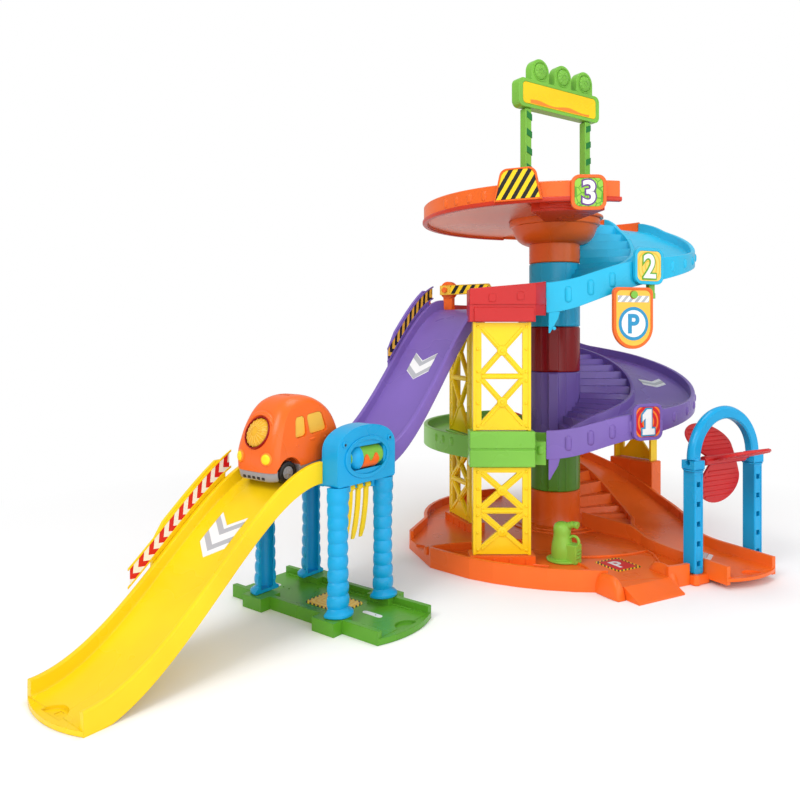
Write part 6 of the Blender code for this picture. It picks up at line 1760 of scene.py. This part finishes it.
# %% Car body
CAR_LENGTH = 88 * MM
CAR_WIDTH = 54 * MM
CAR_HEIGHT = 72 * MM
WHEEL_RADIUS = 10 * MM
WHEEL_WIDTH = 7 * MM
WHEELBASE = 52 * MM
SCREEN_RADIUS = 13 * MM
CAR_LIFT = 0.4 * MM
CAR_DISTANCE = BRIDGE_END + 2 * MM
SHELL_LOW = 13 * MM
WINDOW_Z = CAR_HEIGHT * 0.64
WINDOW_HEIGHT = CAR_HEIGHT * 0.25
WINDOW_LEAN = 0.26

rear_z = yellow_floor(CAR_DISTANCE - WHEELBASE / 2)
front_z = yellow_floor(CAR_DISTANCE + WHEELBASE / 2)
car_place = (Matrix.Translation(down_slide(CAR_DISTANCE, z=(rear_z + front_z) / 2 + GAP + CAR_LIFT))
             @ turned(SLIDE_HEADING + 180)
             @ Matrix.Rotation(math.atan2(rear_z - front_z, WHEELBASE), 4, "Y"))


CURVE_STEPS = 4


def curve_through(points):
    """A smooth curve through the points, as points at short steps."""
    result = []
    for i in range(len(points) - 1):
        a, b, c, d = (Vector(points[min(max(k, 0), len(points) - 1)]) for k in (i - 1, i, i + 1, i + 2))
        for j in range(CURVE_STEPS):
            t = j / CURVE_STEPS
            square, cube = 2 * a - 5 * b + 4 * c - d, 3 * b - a - 3 * c + d
            result.append(0.5 * (2 * b + (c - a) * t + square * t * t + cube * t ** 3))
    return result + [Vector(points[-1])]


side_view = curve_through(
    [
        (-1, 0.18), (-0.99, 0.39), (-0.92, 0.62), (-0.76, 0.80), (-0.45, 0.94), (-0.1, 1.0), (0.25, 0.985),
        (0.5, 0.90), (0.72, 0.73), (0.86, 0.56), (0.97, 0.38), (1, 0.18)
    ]
)


def body_width(z):
    """The body's half width at a height, drawn in above its waist."""
    return CAR_WIDTH / 2 * (1 - 0.22 * max(0.0, (z / CAR_HEIGHT - 0.4) / 0.6) ** 1.5)


def wheel_hub(end):
    return Vector((end * WHEELBASE / 2, 0, WHEEL_RADIUS))


def across_plate(outline, x, z, y_low, y_high):
    """A plate through the car's side, from its outline in the side view."""
    bm = bmesh.new()
    add_loft(bm, [[Vector((x + a, y, z + b)) for a, b in outline] for y in (y_low, y_high)])
    return bm


bm = bmesh.new()
rings = []
for i in range(25):
    t = sin(pi / 2 * (i / 12 - 1))
    ring = []
    for px, pz in side_view:
        z = CAR_HEIGHT * pz
        x = CAR_LENGTH / 2 * px * (1 - 0.16 * abs(t) ** 5)
        ring.append(Vector((x, t * body_width(z), SHELL_LOW + (z - SHELL_LOW) * (1 - 0.10 * abs(t) ** 4))))
    rings.append(ring)
add_loft(bm, rings, caps=False)
for ring in (rings[0], rings[-1]):
    row = [bm.verts.new(point) for point in ring]
    for i in range(len(row) // 2):
        corners = [row[i], row[i + 1], row[-2 - i], row[-1 - i]]
        bm.faces.new(corners if corners[1] is not corners[2] else [corners[0], corners[1], corners[3]])
bmesh.ops.remove_doubles(bm, verts=bm.verts, dist=1e-6)
bmesh.ops.triangulate(bm, faces=bm.faces)
screen_centre = Vector((CAR_LENGTH * 0.36, 0, CAR_HEIGHT * 0.6))
screen_way = Vector((0.87, 0, 0.49)).normalized()
inside, outside = screen_centre - screen_way * 8 * MM, screen_centre + screen_way * 22 * MM
cutters = [rod_mesh(inside, outside, SCREEN_RADIUS + 0.6 * MM, 48)]
windows = ((-13.5 * MM, 23 * MM, -1), (8.5 * MM, 15 * MM, 1))


def window_outline(length, height, radius, way):
    """A rounded window whose outer edge leans in towards the roof; way is 1 for the front window."""
    return [(a - way * WINDOW_LEAN * (way * a / length + 0.5) * (b + height / 2), b)
            for a, b in rounded_outline(length, height, radius)]


for x, length, way in windows:
    outline = window_outline(length, WINDOW_HEIGHT, 4 * MM, way)
    for sign in (-1, 1):
        cutters.append(across_plate(outline, x, WINDOW_Z, sign * 22.4 * MM, sign * 32 * MM))
for i in range(4):
    vent = bmesh.new()
    add_box(vent, mm(2, 14, 20), ((-14 + 5 * i) * MM, 0, CAR_HEIGHT + 6 * MM))
    cutters.append(vent)
bm = combine(bm, cutters)
cutters = []
for end in (-1, 1):
    for sign in (-1, 1):
        hub = wheel_hub(end)
        start, far = hub + sideways(sign * 15.2 * MM), hub + sideways(sign * 39 * MM)
        cutters.append(rod_mesh(start, far, WHEEL_RADIUS + 3.5 * MM))
bm = combine(bm, cutters)
print("car shell is", round(2000 * max(abs(v.co.y) for v in bm.verts), 1), "mm wide")
placed("car_shell", bm, "orange", car_place, "car", bevel=0.6 * MM, stands_for=["car_body"])

bm = bmesh.new()
for x, length, way in windows:
    for sign in (-1, 1):
        outline = window_outline(length - 0.4 * MM, WINDOW_HEIGHT - 0.4 * MM, 3.8 * MM, way)
        pane = across_plate(outline, x, WINDOW_Z, sign * 22 * MM, sign * 23.6 * MM)
        mesh = bpy.data.meshes.new("pane")
        pane.to_mesh(mesh)
        pane.free()
        bm.from_mesh(mesh)
placed("car_panes", bm, "ink_gold", car_place, "car", bevel=0.5 * MM, stands_for=["car_windows"])
print("car body made")

# %% [markdown]
# ## Screen, lamps and wheels
# The round screen is a button, so the lens and its rays ride on a body of their own inside a fixed
# ring. The bumper is one lofted tray with rooms for the wheels. Tyres and hub caps are turned and ride
# on their axle.

# %% Car details
bm = bmesh.new()
ring_turn = along_axis(screen_centre, screen_way)
ring_profile = [(SCREEN_RADIUS + out * MM, up * MM)
                for out, up in ((0.5, 1), (0.5, 5.4), (1.4, 5.4), (1.8, 3), (1.8, 1), (0.5, 1))]
add_turned(bm, ring_profile, ring_turn, 56)
bmesh.ops.remove_doubles(bm, verts=bm.verts, dist=1e-7)
bmesh.ops.delete(bm, geom=[f for f in bm.faces if len(f.verts) > 4], context="FACES_ONLY")
placed("screen_ring", bm, "dark_red", car_place, "car", bevel=0.3 * MM)

bm = bmesh.new()
rings = []
for a in spread(-10, 190, 8):
    angle = radians(a)
    out = ring_turn.to_3x3() @ Vector((-sin(angle), cos(angle), 0))
    rise = 4.2 - 3.0 * cos(angle) ** 2
    middle = screen_centre + out * (SCREEN_RADIUS + 4.4 * MM) + screen_way * rise * MM
    fade = min(1.0, 0.35 + sin(radians(max(0.0, min(180.0, a)))))
    rings.append([middle + out * 2.4 * MM * fade * cos(b) + screen_way * 3.2 * MM * fade * sin(b)
                  for b in (2 * pi * k / 12 for k in range(12))])
add_loft(bm, rings)
placed("screen_brow", bm, "orange", car_place, "car")

bm = bmesh.new()
dome = [(SCREEN_RADIUS, -4 * MM), (SCREEN_RADIUS, 3 * MM)]
dome += [(SCREEN_RADIUS * cos(a), 3 * MM + 5 * MM * sin(a)) for a in (0.2, 0.45, 0.7, 0.95, 1.2, 1.45)]
add_turned(bm, dome, ring_turn, 56)
placed("screen_lens", bm, "amber", car_place, "car_button", stands_for=["car_windscreen"])
bm = bmesh.new()
RAY_BENDS = (0.25, 0.6, 0.95, 1.25)
RAYS = 18
for k in range(RAYS):
    angle = 2 * pi * k / RAYS
    arm = ring_turn.to_3x3() @ Vector((cos(angle), sin(angle), 0))
    points = [screen_centre + arm * SCREEN_RADIUS * cos(a) + screen_way * (3 * MM + 5 * MM * sin(a))
              for a in RAY_BENDS]
    for near, far in zip(points, points[1:]):
        add_rod(bm, near, far, 0.55 * MM, steps=8)
placed("screen_rays", bm, "ink_gold", car_place, "car_button")

BEZEL = in_mm((5.6, -3), (5.6, 0.6), (4.9, 1.3), (4.2, 1.3))
GLASS = in_mm((4.3, -2), (4.3, 1.5), (3.2, 2.1), (1.6, 2.5))
for name, profile, ink in (("lamp_bezels", BEZEL, "ink_orange"), ("lamp_glasses", GLASS, "ink_yellow")):
    bm = bmesh.new()
    for sign in (-1, 1):
        way = Vector((1, sign * 0.28, 0.18)).normalized()
        start = Vector((CAR_LENGTH * 0.478, sign * 16.5 * MM, CAR_HEIGHT * 0.345))
        add_turned(bm, profile, along_axis(start, way), 32)
    placed("head" + name, bm, ink, car_place, "car", bevel=0.25 * MM)

BUMPER_LOW = 4.6 * MM
BUMPER_TOP = 14.6 * MM
bm = bmesh.new()
layers = [(share, BUMPER_LOW + rise * MM) for share, rise in ((0.955, 0), (0.985, 1.2), (1.0, 3.4))]
layers += [(share, BUMPER_TOP - drop * MM) for share, drop in ((1.0, 2), (0.985, 0.6), (0.965, 0))]
bumper_edge = rounded_outline(CAR_LENGTH * 0.99, CAR_WIDTH * 0.985, 13 * MM, 8)
add_loft(bm, [[Vector((x * share, y * share, z)) for x, y in bumper_edge] for share, z in layers])
rooms = []
for end in (-1, 1):
    hub = wheel_hub(end)
    for sign in (-1, 1):
        start, far = hub + sideways(sign * 15 * MM), hub + sideways(sign * 40 * MM)
        rooms.append(rod_mesh(start, far, WHEEL_RADIUS + 1.8 * MM))
    rooms.append(rod_mesh(hub - sideways(30 * MM), hub + sideways(30 * MM), 1.9 * MM, 20))
bm = combine(bm, rooms)
placed("car_bumper", bm, "grey", car_place, "car", bevel=0.3 * MM, stands_for=["car_chassis"])
bm = bmesh.new()
for i in range(5):
    add_box(bm, mm(2.2, 3.6, 2.4), (CAR_LENGTH * 0.487, (i - 2) * 6 * MM, BUMPER_LOW + 3.1 * MM))
placed("grille_ribs", bm, "black", car_place, "car", bevel=0.4 * MM)
bm = bmesh.new()
for i in range(4):
    add_box(bm, mm(1.6, 13.4, 2), ((-14 + 5 * i) * MM, 0, CAR_HEIGHT - 5 * MM))
placed("roof_vents", bm, "dark_red", car_place, "car")
bm = bmesh.new()
for sign in (-1, 1):
    way = (0, sign, 0)
    side = sign * (CAR_WIDTH / 2 - 0.9 * MM)
    for x in (-20, 15):
        add_stud(bm, (x * MM, side, CAR_HEIGHT * 0.44), way, 1.5 * MM, 1.2 * MM)
    add_rod(bm, (-7 * MM, side, CAR_HEIGHT * 0.46), (-1 * MM, side, CAR_HEIGHT * 0.46), 1.3 * MM, steps=16)
placed("door_handles", bm, "orange", car_place, "car")

for end, name in ((1, "front"), (-1, "rear")):
    hub = wheel_hub(end)
    body = "car_" + name + "_wheelset"
    outer = CAR_WIDTH / 2 - 2 * MM
    bm = bmesh.new()
    add_rod(bm, hub - sideways(outer - 1 * MM), hub + sideways(outer - 1 * MM), 1.6 * MM)
    for sign in (-1, 1):
        start = hub + sideways(sign * (outer - WHEEL_WIDTH))
        tread = [
            (WHEEL_RADIUS - 1.2 * MM, 0), (WHEEL_RADIUS, 1.2 * MM), (WHEEL_RADIUS, WHEEL_WIDTH - 1.4 * MM),
            (WHEEL_RADIUS - 0.5 * MM, WHEEL_WIDTH - 0.5 * MM), (WHEEL_RADIUS - 1.6 * MM, WHEEL_WIDTH),
            (6.4 * MM, WHEEL_WIDTH), (6.0 * MM, WHEEL_WIDTH - 1 * MM)
        ]
        add_turned(bm, tread, along_axis(start, (0, sign, 0)), 40)
    placed("tyres_" + name, bm, "black", car_place, body, stands_for=["car_" + name + "_wheels"])
    bm = bmesh.new()
    for sign in (-1, 1):
        start = hub + sideways(sign * (outer - 1.2 * MM))
        place = along_axis(start, (0, sign, 0))
        add_turned(bm, in_mm((5.6, 0), (5.6, 0.7), (4.8, 1.1), (4.4, 0.5), (2, 0.6), (1.4, 1.4)), place, 32)
        for k in range(5):
            arm = place.to_3x3() @ Vector((cos(2 * pi * k / 5), sin(2 * pi * k / 5), 0))
            lift = sideways(sign * 0.7 * MM)
            add_rod(bm, start + lift + arm * 1.4 * MM, start + lift + arm * 4.8 * MM, 0.7 * MM, steps=8)
    placed("hubcaps_" + name, bm, "grey", car_place, body)
print("car details made")

# %% [markdown]
# ## Base
# The plaza's moulded plate comes from the frame. Low ridges mark the parking bay, two round shoulders
# flank the entry ramp, and a stepped collar rises to the column. Behind the parking bay a short wall
# falls towards the edge, and a floor closes the gap to the steps of the exit ramp. Flat arrows and a
# red field are the prints.

# %% Base details
ENTRY_ANGLE = -80.0
ENTRY_TURN = -62.0
ENTRY_WIDTH = 62 * MM
BASE_RADIUS = 226 * MM
RIDGE_RADIUS = 1.5 * MM
entry = polar(BASE_RADIUS - 2 * MM, ENTRY_ANGLE)
ridge_z = BASE_Z + 0.6 * MM


def add_ridge(bm, points):
    for near, far in zip(points, points[1:]):
        add_rod(bm, near, far, RIDGE_RADIUS, steps=14)
    for point in points:
        dome = [(RIDGE_RADIUS * cos(a), RIDGE_RADIUS * sin(a)) for a in (-0.2, 0.3, 0.8, 1.3)]
        add_turned(bm, dome, Matrix.Translation(point), 14)


def add_wall(bm, line, sections):
    """A low wall on the plaza along a line, with one section in millimetres for each of its points."""
    rings = []
    for i, (place, section) in enumerate(zip(line, sections)):
        ahead = (line[min(i + 1, len(line) - 1)] - line[max(i - 1, 0)]).normalized()
        side = Vector((-ahead.y, ahead.x, 0))
        rings.append([place + side * x * MM + upward(BASE_Z + z * MM) for x, z in section])
    add_loft(bm, rings)


bm = bmesh.new()
left_shoulder = entry + heading(ENTRY_TURN - 90) * (ENTRY_WIDTH / 2 + 6 * MM)
right_shoulder = entry + heading(ENTRY_TURN + 90) * (ENTRY_WIDTH / 2 + 6 * MM)
for place in (left_shoulder, right_shoulder):
    rings = []
    for step in spread(-1, 1, 0.125):
        middle = place + heading(ENTRY_TURN) * (18 * MM * step - 4 * MM)
        tall = 0.5 * MM + 21 * MM * math.sqrt(max(0.0, 1 - abs(step) ** 3.2))
        wide = 6.5 * MM * (1 - 0.25 * abs(step) ** 3)
        crown = [(wide * cos(radians(a)), tall * sin(radians(a)) ** 0.7) for a in spread(0, 180, 15)[1:-1]]
        outline = [(wide, 0.3 * MM)] + crown + [(-wide, 0.3 * MM)]
        rings.append([middle + heading(ENTRY_TURN + 90) * x + upward(z) for x, z in outline])
    add_loft(bm, rings)
left_ridge = ((148, -100), (166, -95), (184, -92), (202, -91), (214, -90.5))
right_ridge = ((150, -58), (166, -61), (184, -65), (202, -68), (214, -70))
for ridge in (left_ridge, right_ridge):
    add_ridge(bm, [polar(radius * MM, degrees, ridge_z) for radius, degrees in ridge])
add_ridge(bm, [polar(150 * MM, a, ridge_z) for a in spread(-100, -58, 4)])
add_ridge(bm, [polar(188 * MM, a, ridge_z) for a in spread(-125, -104, 4)])
piece("plaza_ridges", bm, "orange")

bm = bmesh.new()
rim_line = [Vector((TOWER.x + x * MM, TOWER.y + y * MM, 0)) for x, y in
            ((-174, -139), (-160, -130), (-143, -123), (-122, -118), (-98, -115), (-74, -111), (-52, -104))]
rim_section = [(-2.4, -0.5), (2.4, -0.5), (2.4, 7.6), (1.6, 8.6), (-1.6, 8.6), (-2.4, 7.6)]
add_wall(bm, rim_line, [rim_section] * len(rim_line))
piece("lane_rim", bm, "orange")

bm = bmesh.new()
top = BASE_Z - 0.6 * MM
add_ring(bm, [mm(36, 1), mm(89, 1), (89 * MM, top), (36 * MM, top)], 0, spread(-48, -20.6, ARC_STEP))
piece("bay_floor", bm, "orange", bevel=0.4 * MM)
bm = bmesh.new()
bay_line = [polar(42 * MM, -46), polar(108 * MM, -46)]
bay_line += [TOWER + Vector((84, -110, 0)) * MM, TOWER + Vector((90, -138, 0)) * MM]
add_wall(bm, bay_line, [[(-1.8, -1), (1.8, -1), (1.8, rise - 1), (1, rise), (-1, rise), (-1.8, rise - 1)]
                        for rise in (21, 17, 11, 6)])
piece("bay_wall", bm, "orange", bevel=0.4 * MM)
bm = bmesh.new()
steps = in_mm((58, -1), (57.4, 1.4), (50, 1.6), (49.4, 3.2), (44, 3.4))
add_turned(bm, steps, Matrix.Translation(TOWER + upward(BASE_Z)), 72)
piece("column_collar", bm, "orange")
bm = bmesh.new()
for place, turn in ((FRONT_TRUSS, 0), (LEFT_TRUSS, LEFT_TRUSS_TURN)):
    for dx in (-0.42, -0.14, 0.14, 0.42):
        forward = heading(turn + 90) * (SOCKET_MARGIN + 0.2 * MM)
        centre = Vector((*place, 15 * MM)) + heading(turn) * TRUSS_WIDTH * dx - forward
        add_box(bm, mm(3, 1.6, 9), centre, turn)
piece("socket_ribs", bm, "orange", bevel=0.4 * MM)


def floor_label(name, centre, turn, width, length, border, inside):
    matrix = Matrix.Translation(centre) @ turned(turn)
    flat_piece(name + "_edge", rounded_outline(length, width, 3 * MM), -0.2 * MM, 0.3 * MM, border, matrix)
    flat_piece(name, rounded_outline(length - 6 * MM, width - 6 * MM, 2 * MM), 0, 0.45 * MM, inside, matrix)


bay_middle = polar(178 * MM, -80, BASE_Z)
floor_label("bay_label", bay_middle, ENTRY_TURN, 34 * MM, 36 * MM, "border_stripes", "ink_red")
bm = bmesh.new()
matrix = Matrix.Translation(bay_middle) @ turned(ENTRY_TURN + 90)
add_figure(bm, "P", 26 * MM, 0.3 * MM, 0.65 * MM, 0.5 * MM)
placed("bay_letter", bm, "white", matrix)

lane_arrow = bend_end + heading(exit_heading) * 4 * MM


def lane_label(name, centre, turn, z):
    """A broad arrow of three nested chevrons, lying flat."""
    matrix = Matrix.Translation(Vector((centre.x, centre.y, z))) @ turned(turn)
    for k, ink in enumerate(("white", "pale_grey", "white")):
        tip, arm, thick = (8 - 6.4 * k) * MM, 15 * MM, 5.6 * MM
        back = tip - 9 * MM
        outline = [
            (tip, 0), (back, arm), (back - thick, arm), (tip - thick, 0), (back - thick, -arm), (back, -arm)
        ]
        flat_piece(name + "_" + str(k + 1), outline, -0.1 * MM, 0.4 * MM, ink, matrix)


lane_label("exit_arrow", lane_arrow, exit_heading, BASE_Z)


def ramp_label(name, middle, floor):
    """The same arrow, laid on a spiral ramp and following its fall."""
    for k, ink in enumerate(("white", "pale_grey", "white")):
        rows = []
        for across in spread(*mm(-15, 15, 5)):
            back = (abs(across) * 0.6 + 6.4 * MM * k) / RING_MIDDLE
            row = []
            for step in (0, 5.6 * MM / RING_MIDDLE):
                degrees = middle - 4 + math.degrees(back + step)
                row.append(polar(RING_MIDDLE + across, degrees, floor(degrees)))
            rows.append([row[0] + upward(0.4 * MM), row[1] + upward(0.4 * MM),
                         row[1] - upward(0.3 * MM), row[0] - upward(0.3 * MM)])
        bm = bmesh.new()
        add_loft(bm, rows)
        piece(name + "_" + str(k + 1), bm, ink)


ramp_label("purple_ramp_arrow", 2, purple_ramp_floor)
print("base and labels made")

# %% [markdown]
# ## Fuel pump
# The pump is a jug turned about its own axis, with a bent spout made of short tapered rods, a block
# with three ribs at its front, and a ring for a handle.

# %% Fuel pump
pump = polar(163 * MM, -99, BASE_Z + GAP)
out = heading(-40)
bm = bmesh.new()
body = [
    (12.6, 0), (13, 0.8), (11.4, 3), (12, 10), (11.2, 18), (9.4, 25.5), (9.2, 30), (9.6, 33), (9.2, 37),
    (8, 39.4), (5, 41.4), (2, 42)
]
add_turned(bm, [(r * MM, z * MM) for r, z in body], Matrix.Translation(pump), 40)
add_turned(bm, in_mm((16.4, 0.1), (17, 0.7), (17, 2.0), (16.2, 2.6)), Matrix.Translation(pump), 48)
spout = [
    pump + out * x * MM + upward(z * MM) for x,
    z in ((2, 36), (7, 38.5), (11, 40.5), (15, 41.4), (17.5, 41))
]
for near, far, wide, thin in zip(spout, spout[1:], (4.2, 3.9, 3.6, 3.4), (3.9, 3.6, 3.4, 3.0)):
    add_rod(bm, near, far, wide * MM, thin * MM)
add_turned(bm, in_mm((3.9, -1.2), (3.9, 1.2)), along_axis(spout[-1], spout[-1] - spout[-2]), 24)
piece("pump_jug", bm, "bright_green", stands_for=["fuel_pump"])
bm = bmesh.new()
add_box(bm, mm(15, 14, 20), pump + out * 12 * MM + upward(10 * MM), -40)
for z in (6, 10, 14):
    add_box(bm, mm(2, 9, 1.4), pump + out * 19.8 * MM + upward(z * MM), -40)
piece("pump_block", bm, "bright_green", bevel=1.2 * MM, steps=3)
bm = bmesh.new()
rings = []
grip = pump + out * 14 * MM + upward(23 * MM)
for i in range(25):
    a = 2 * pi * i / 24
    arm = out * cos(a) + upward(sin(a))
    rings.append(
        [
            grip + arm * (5.6 * MM + 1.6 * MM * cos(b)) + heading(50) * 1.8 * MM * sin(b)
            for b in (2 * pi * k / 10 for k in range(10))
        ]
    )
add_loft(bm, rings, caps=False)
bmesh.ops.remove_doubles(bm, verts=bm.verts, dist=1e-6)
piece("pump_handle", bm, "bright_green")
print("fuel pump made")

# %% [markdown]
# ## The junction on level 2
# Here the blue ramp hands over to the purple slide. A wall rises towards the ramp, a lower box clamps
# the truss, and both carry small moulded bosses. The wall is lofted through three places along the
# deck's edge.

# %% Junction on level 2
bm = bmesh.new()
front_y = FRONT_TRUSS[1] - SOCKET_MARGIN
wall_line = [Vector((FRONT_TRUSS[0] - TRUSS_WIDTH / 2 - SOCKET_MARGIN, front_y, 0)),
             Vector((TOWER.x - 58 * MM, front_y, 0)), polar(RING_OUTER, FRONT_LEFT)]
wall_low = LEVEL_2_Z + 1.5 * MM
rings = []
wall_ways = (sideways(-1), Vector((0.1, -1, 0)).normalized(), heading(FRONT_LEFT))
for place, out, rise in zip(wall_line, wall_ways, (18.4, 24.5, 27.0)):
    top = LEVEL_2_Z + rise * MM
    shoulder = top - 0.8 * MM
    section = [
        (1.2 * MM, wall_low), (1.2 * MM, shoulder), (0.4 * MM, top), (-2 * MM, top), (-2.8 * MM, shoulder),
        (-2.8 * MM, wall_low)
    ]
    rings.append([Vector((place.x, place.y, 0)) + out * x + upward(z) for x, z in section])
add_loft(bm, rings)
piece("junction_wall", bm, "red", bevel=0.3 * MM)
bm = bmesh.new()
box_low = LEVEL_2_Z - 17 * MM
box_top = LEVEL_2_Z - 1.5 * MM
box_size = (TRUSS_WIDTH + 2 * SOCKET_MARGIN - 6 * MM, 4 * MM, box_top - box_low)
add_box(bm, box_size, (FRONT_TRUSS[0] + 1.5 * MM, front_y + 0.4 * MM, (box_low + box_top) / 2))
piece("junction_box", bm, "red", bevel=0.9 * MM)
bm = bmesh.new()
for x, z in ((-74, 10.5), (-104, 8.5)):
    place = facing(-90, Vector((TOWER.x + x * MM, front_y - 1.2 * MM, LEVEL_2_Z + z * MM)))
    mould = rounded_outline(*mm(8, 9, 2.4))
    add_loft(bm, [[place @ Vector((a, b, up)) for a, b in mould] for up in mm(-0.6, 0.7)])
piece("junction_bosses", bm, "red", bevel=0.5 * MM)
bm = bmesh.new()
place = polar(RING_OUTER + 1 * MM, FRONT_LEFT + 3, LEVEL_2_Z - 24 * MM)
add_rod(bm, place, place - heading(FRONT_LEFT + 3) * 6 * MM, 2 * MM, steps=20)
piece("purple_pin", bm, "light_blue", bevel=0.5 * MM)
print("junction dressed")

# %% [markdown]
# ## Floor, light and camera
# The garage stands on a plain white floor in soft studio light: a broad key from the front left, a
# weaker fill from the right, a low broad lamp in front and a top light. The world is white where the
# camera looks straight at it and much dimmer where it lights the plastic. The floor fades to the same
# white away from the garage, so that only the shadow close to the feet shows.

# %% World and floor
def camera_ray(tree):
    """1 where a ray comes straight from the camera, or by a mirror or clear piece."""
    path = tree.nodes.new("ShaderNodeLightPath")
    return math_node(tree, "MAXIMUM", path.outputs["Is Camera Ray"], path.outputs["Is Transmission Ray"])


WORLD_LIGHT = 0.60
world = bpy.data.worlds.new("studio")
bpy.context.scene.world = world
world.use_nodes = True
tree = world.node_tree
background = tree.nodes["Background"]
background.inputs["Color"].default_value = (1, 1, 1, 1)
tree.links.new(map_range(tree, camera_ray(tree), 0, 1, WORLD_LIGHT, 1.0), background.inputs["Strength"])

FLOOR_SIZE = 8.0
FADE_START = 0.42
FADE_END = 0.75
floor_mesh = bpy.data.meshes.new("floor")
bm = bmesh.new()
bmesh.ops.create_grid(bm, x_segments=4, y_segments=4, size=FLOOR_SIZE / 2)
bm.to_mesh(floor_mesh)
bm.free()
floor = bpy.data.objects.new("floor", floor_mesh)
bpy.context.scene.collection.objects.link(floor)
material, tree, shader = new_material("white_floor", 0.6, 0.1)
shader.inputs["Base Color"].default_value = (0.93, 0.93, 0.93, 1)
white = add_node(tree, "Emission", {"Color": (1, 1, 1, 1), "Strength": 1.0})
distance = tree.nodes.new("ShaderNodeVectorMath")
distance.operation = "LENGTH"
tree.links.new(own_coordinates(tree), distance.inputs[0])
fade = map_range(tree, distance.outputs["Value"], FADE_START, FADE_END, 0.0, 1.0)
blend = tree.nodes.new("ShaderNodeMixShader")
tree.links.new(math_node(tree, "MULTIPLY", fade, camera_ray(tree)), blend.inputs["Fac"])
tree.links.new(shader.outputs[0], blend.inputs[1])
tree.links.new(white.outputs[0], blend.inputs[2])
tree.links.new(blend.outputs[0], tree.nodes["Material Output"].inputs["Surface"])
floor_mesh.materials.append(material)
print("floor and world ready")

# %% [markdown]
# ## Lamps
# Large discs far away give soft shadows. The front lamp is the largest, so that flat walls that face
# the camera mirror only a faint sheen of it and keep their colour.

# %% Lights
def soft_light(name, place, target, size, power):
    lamp = bpy.data.lights.new(name, "AREA")
    lamp.shape = "DISK"
    lamp.size = size
    lamp.energy = power
    obj = bpy.data.objects.new(name, lamp)
    obj.location = place
    obj.rotation_euler = (Vector(target) - Vector(place)).to_track_quat("-Z", "Y").to_euler()
    bpy.context.scene.collection.objects.link(obj)


AIM = (0, 0, 0.25)
soft_light("key", (-1.3, -1.6, 1.9), AIM, 1.2, 24)
soft_light("fill", (1.7, -1.2, 1.0), AIM, 1.6, 10)
soft_light("front", (0.3, -2.2, 0.72), AIM, 2.2, 18)
soft_light("top", (0.2, 0.3, 2.2), AIM, 1.2, 13)
print("four soft lights")

# %% [markdown]
# ## The camera
# It stands low in front of the garage and looks straight ahead; a small shift frames the picture, so
# that upright posts stay upright.

# %% Camera
camera_data = bpy.data.cameras.new("camera")
camera_data.lens = 32.805
camera_data.shift_y = -0.08375
camera = bpy.data.objects.new("camera", camera_data)
camera.location = (-0.07034, -0.79726, 0.260)
camera.rotation_euler = (pi / 2, 0, 0)
bpy.context.scene.collection.objects.link(camera)
bpy.context.scene.camera = camera
bpy.context.scene.view_settings.view_transform = "Standard"
print("camera at", [round(v, 3) for v in camera.location])
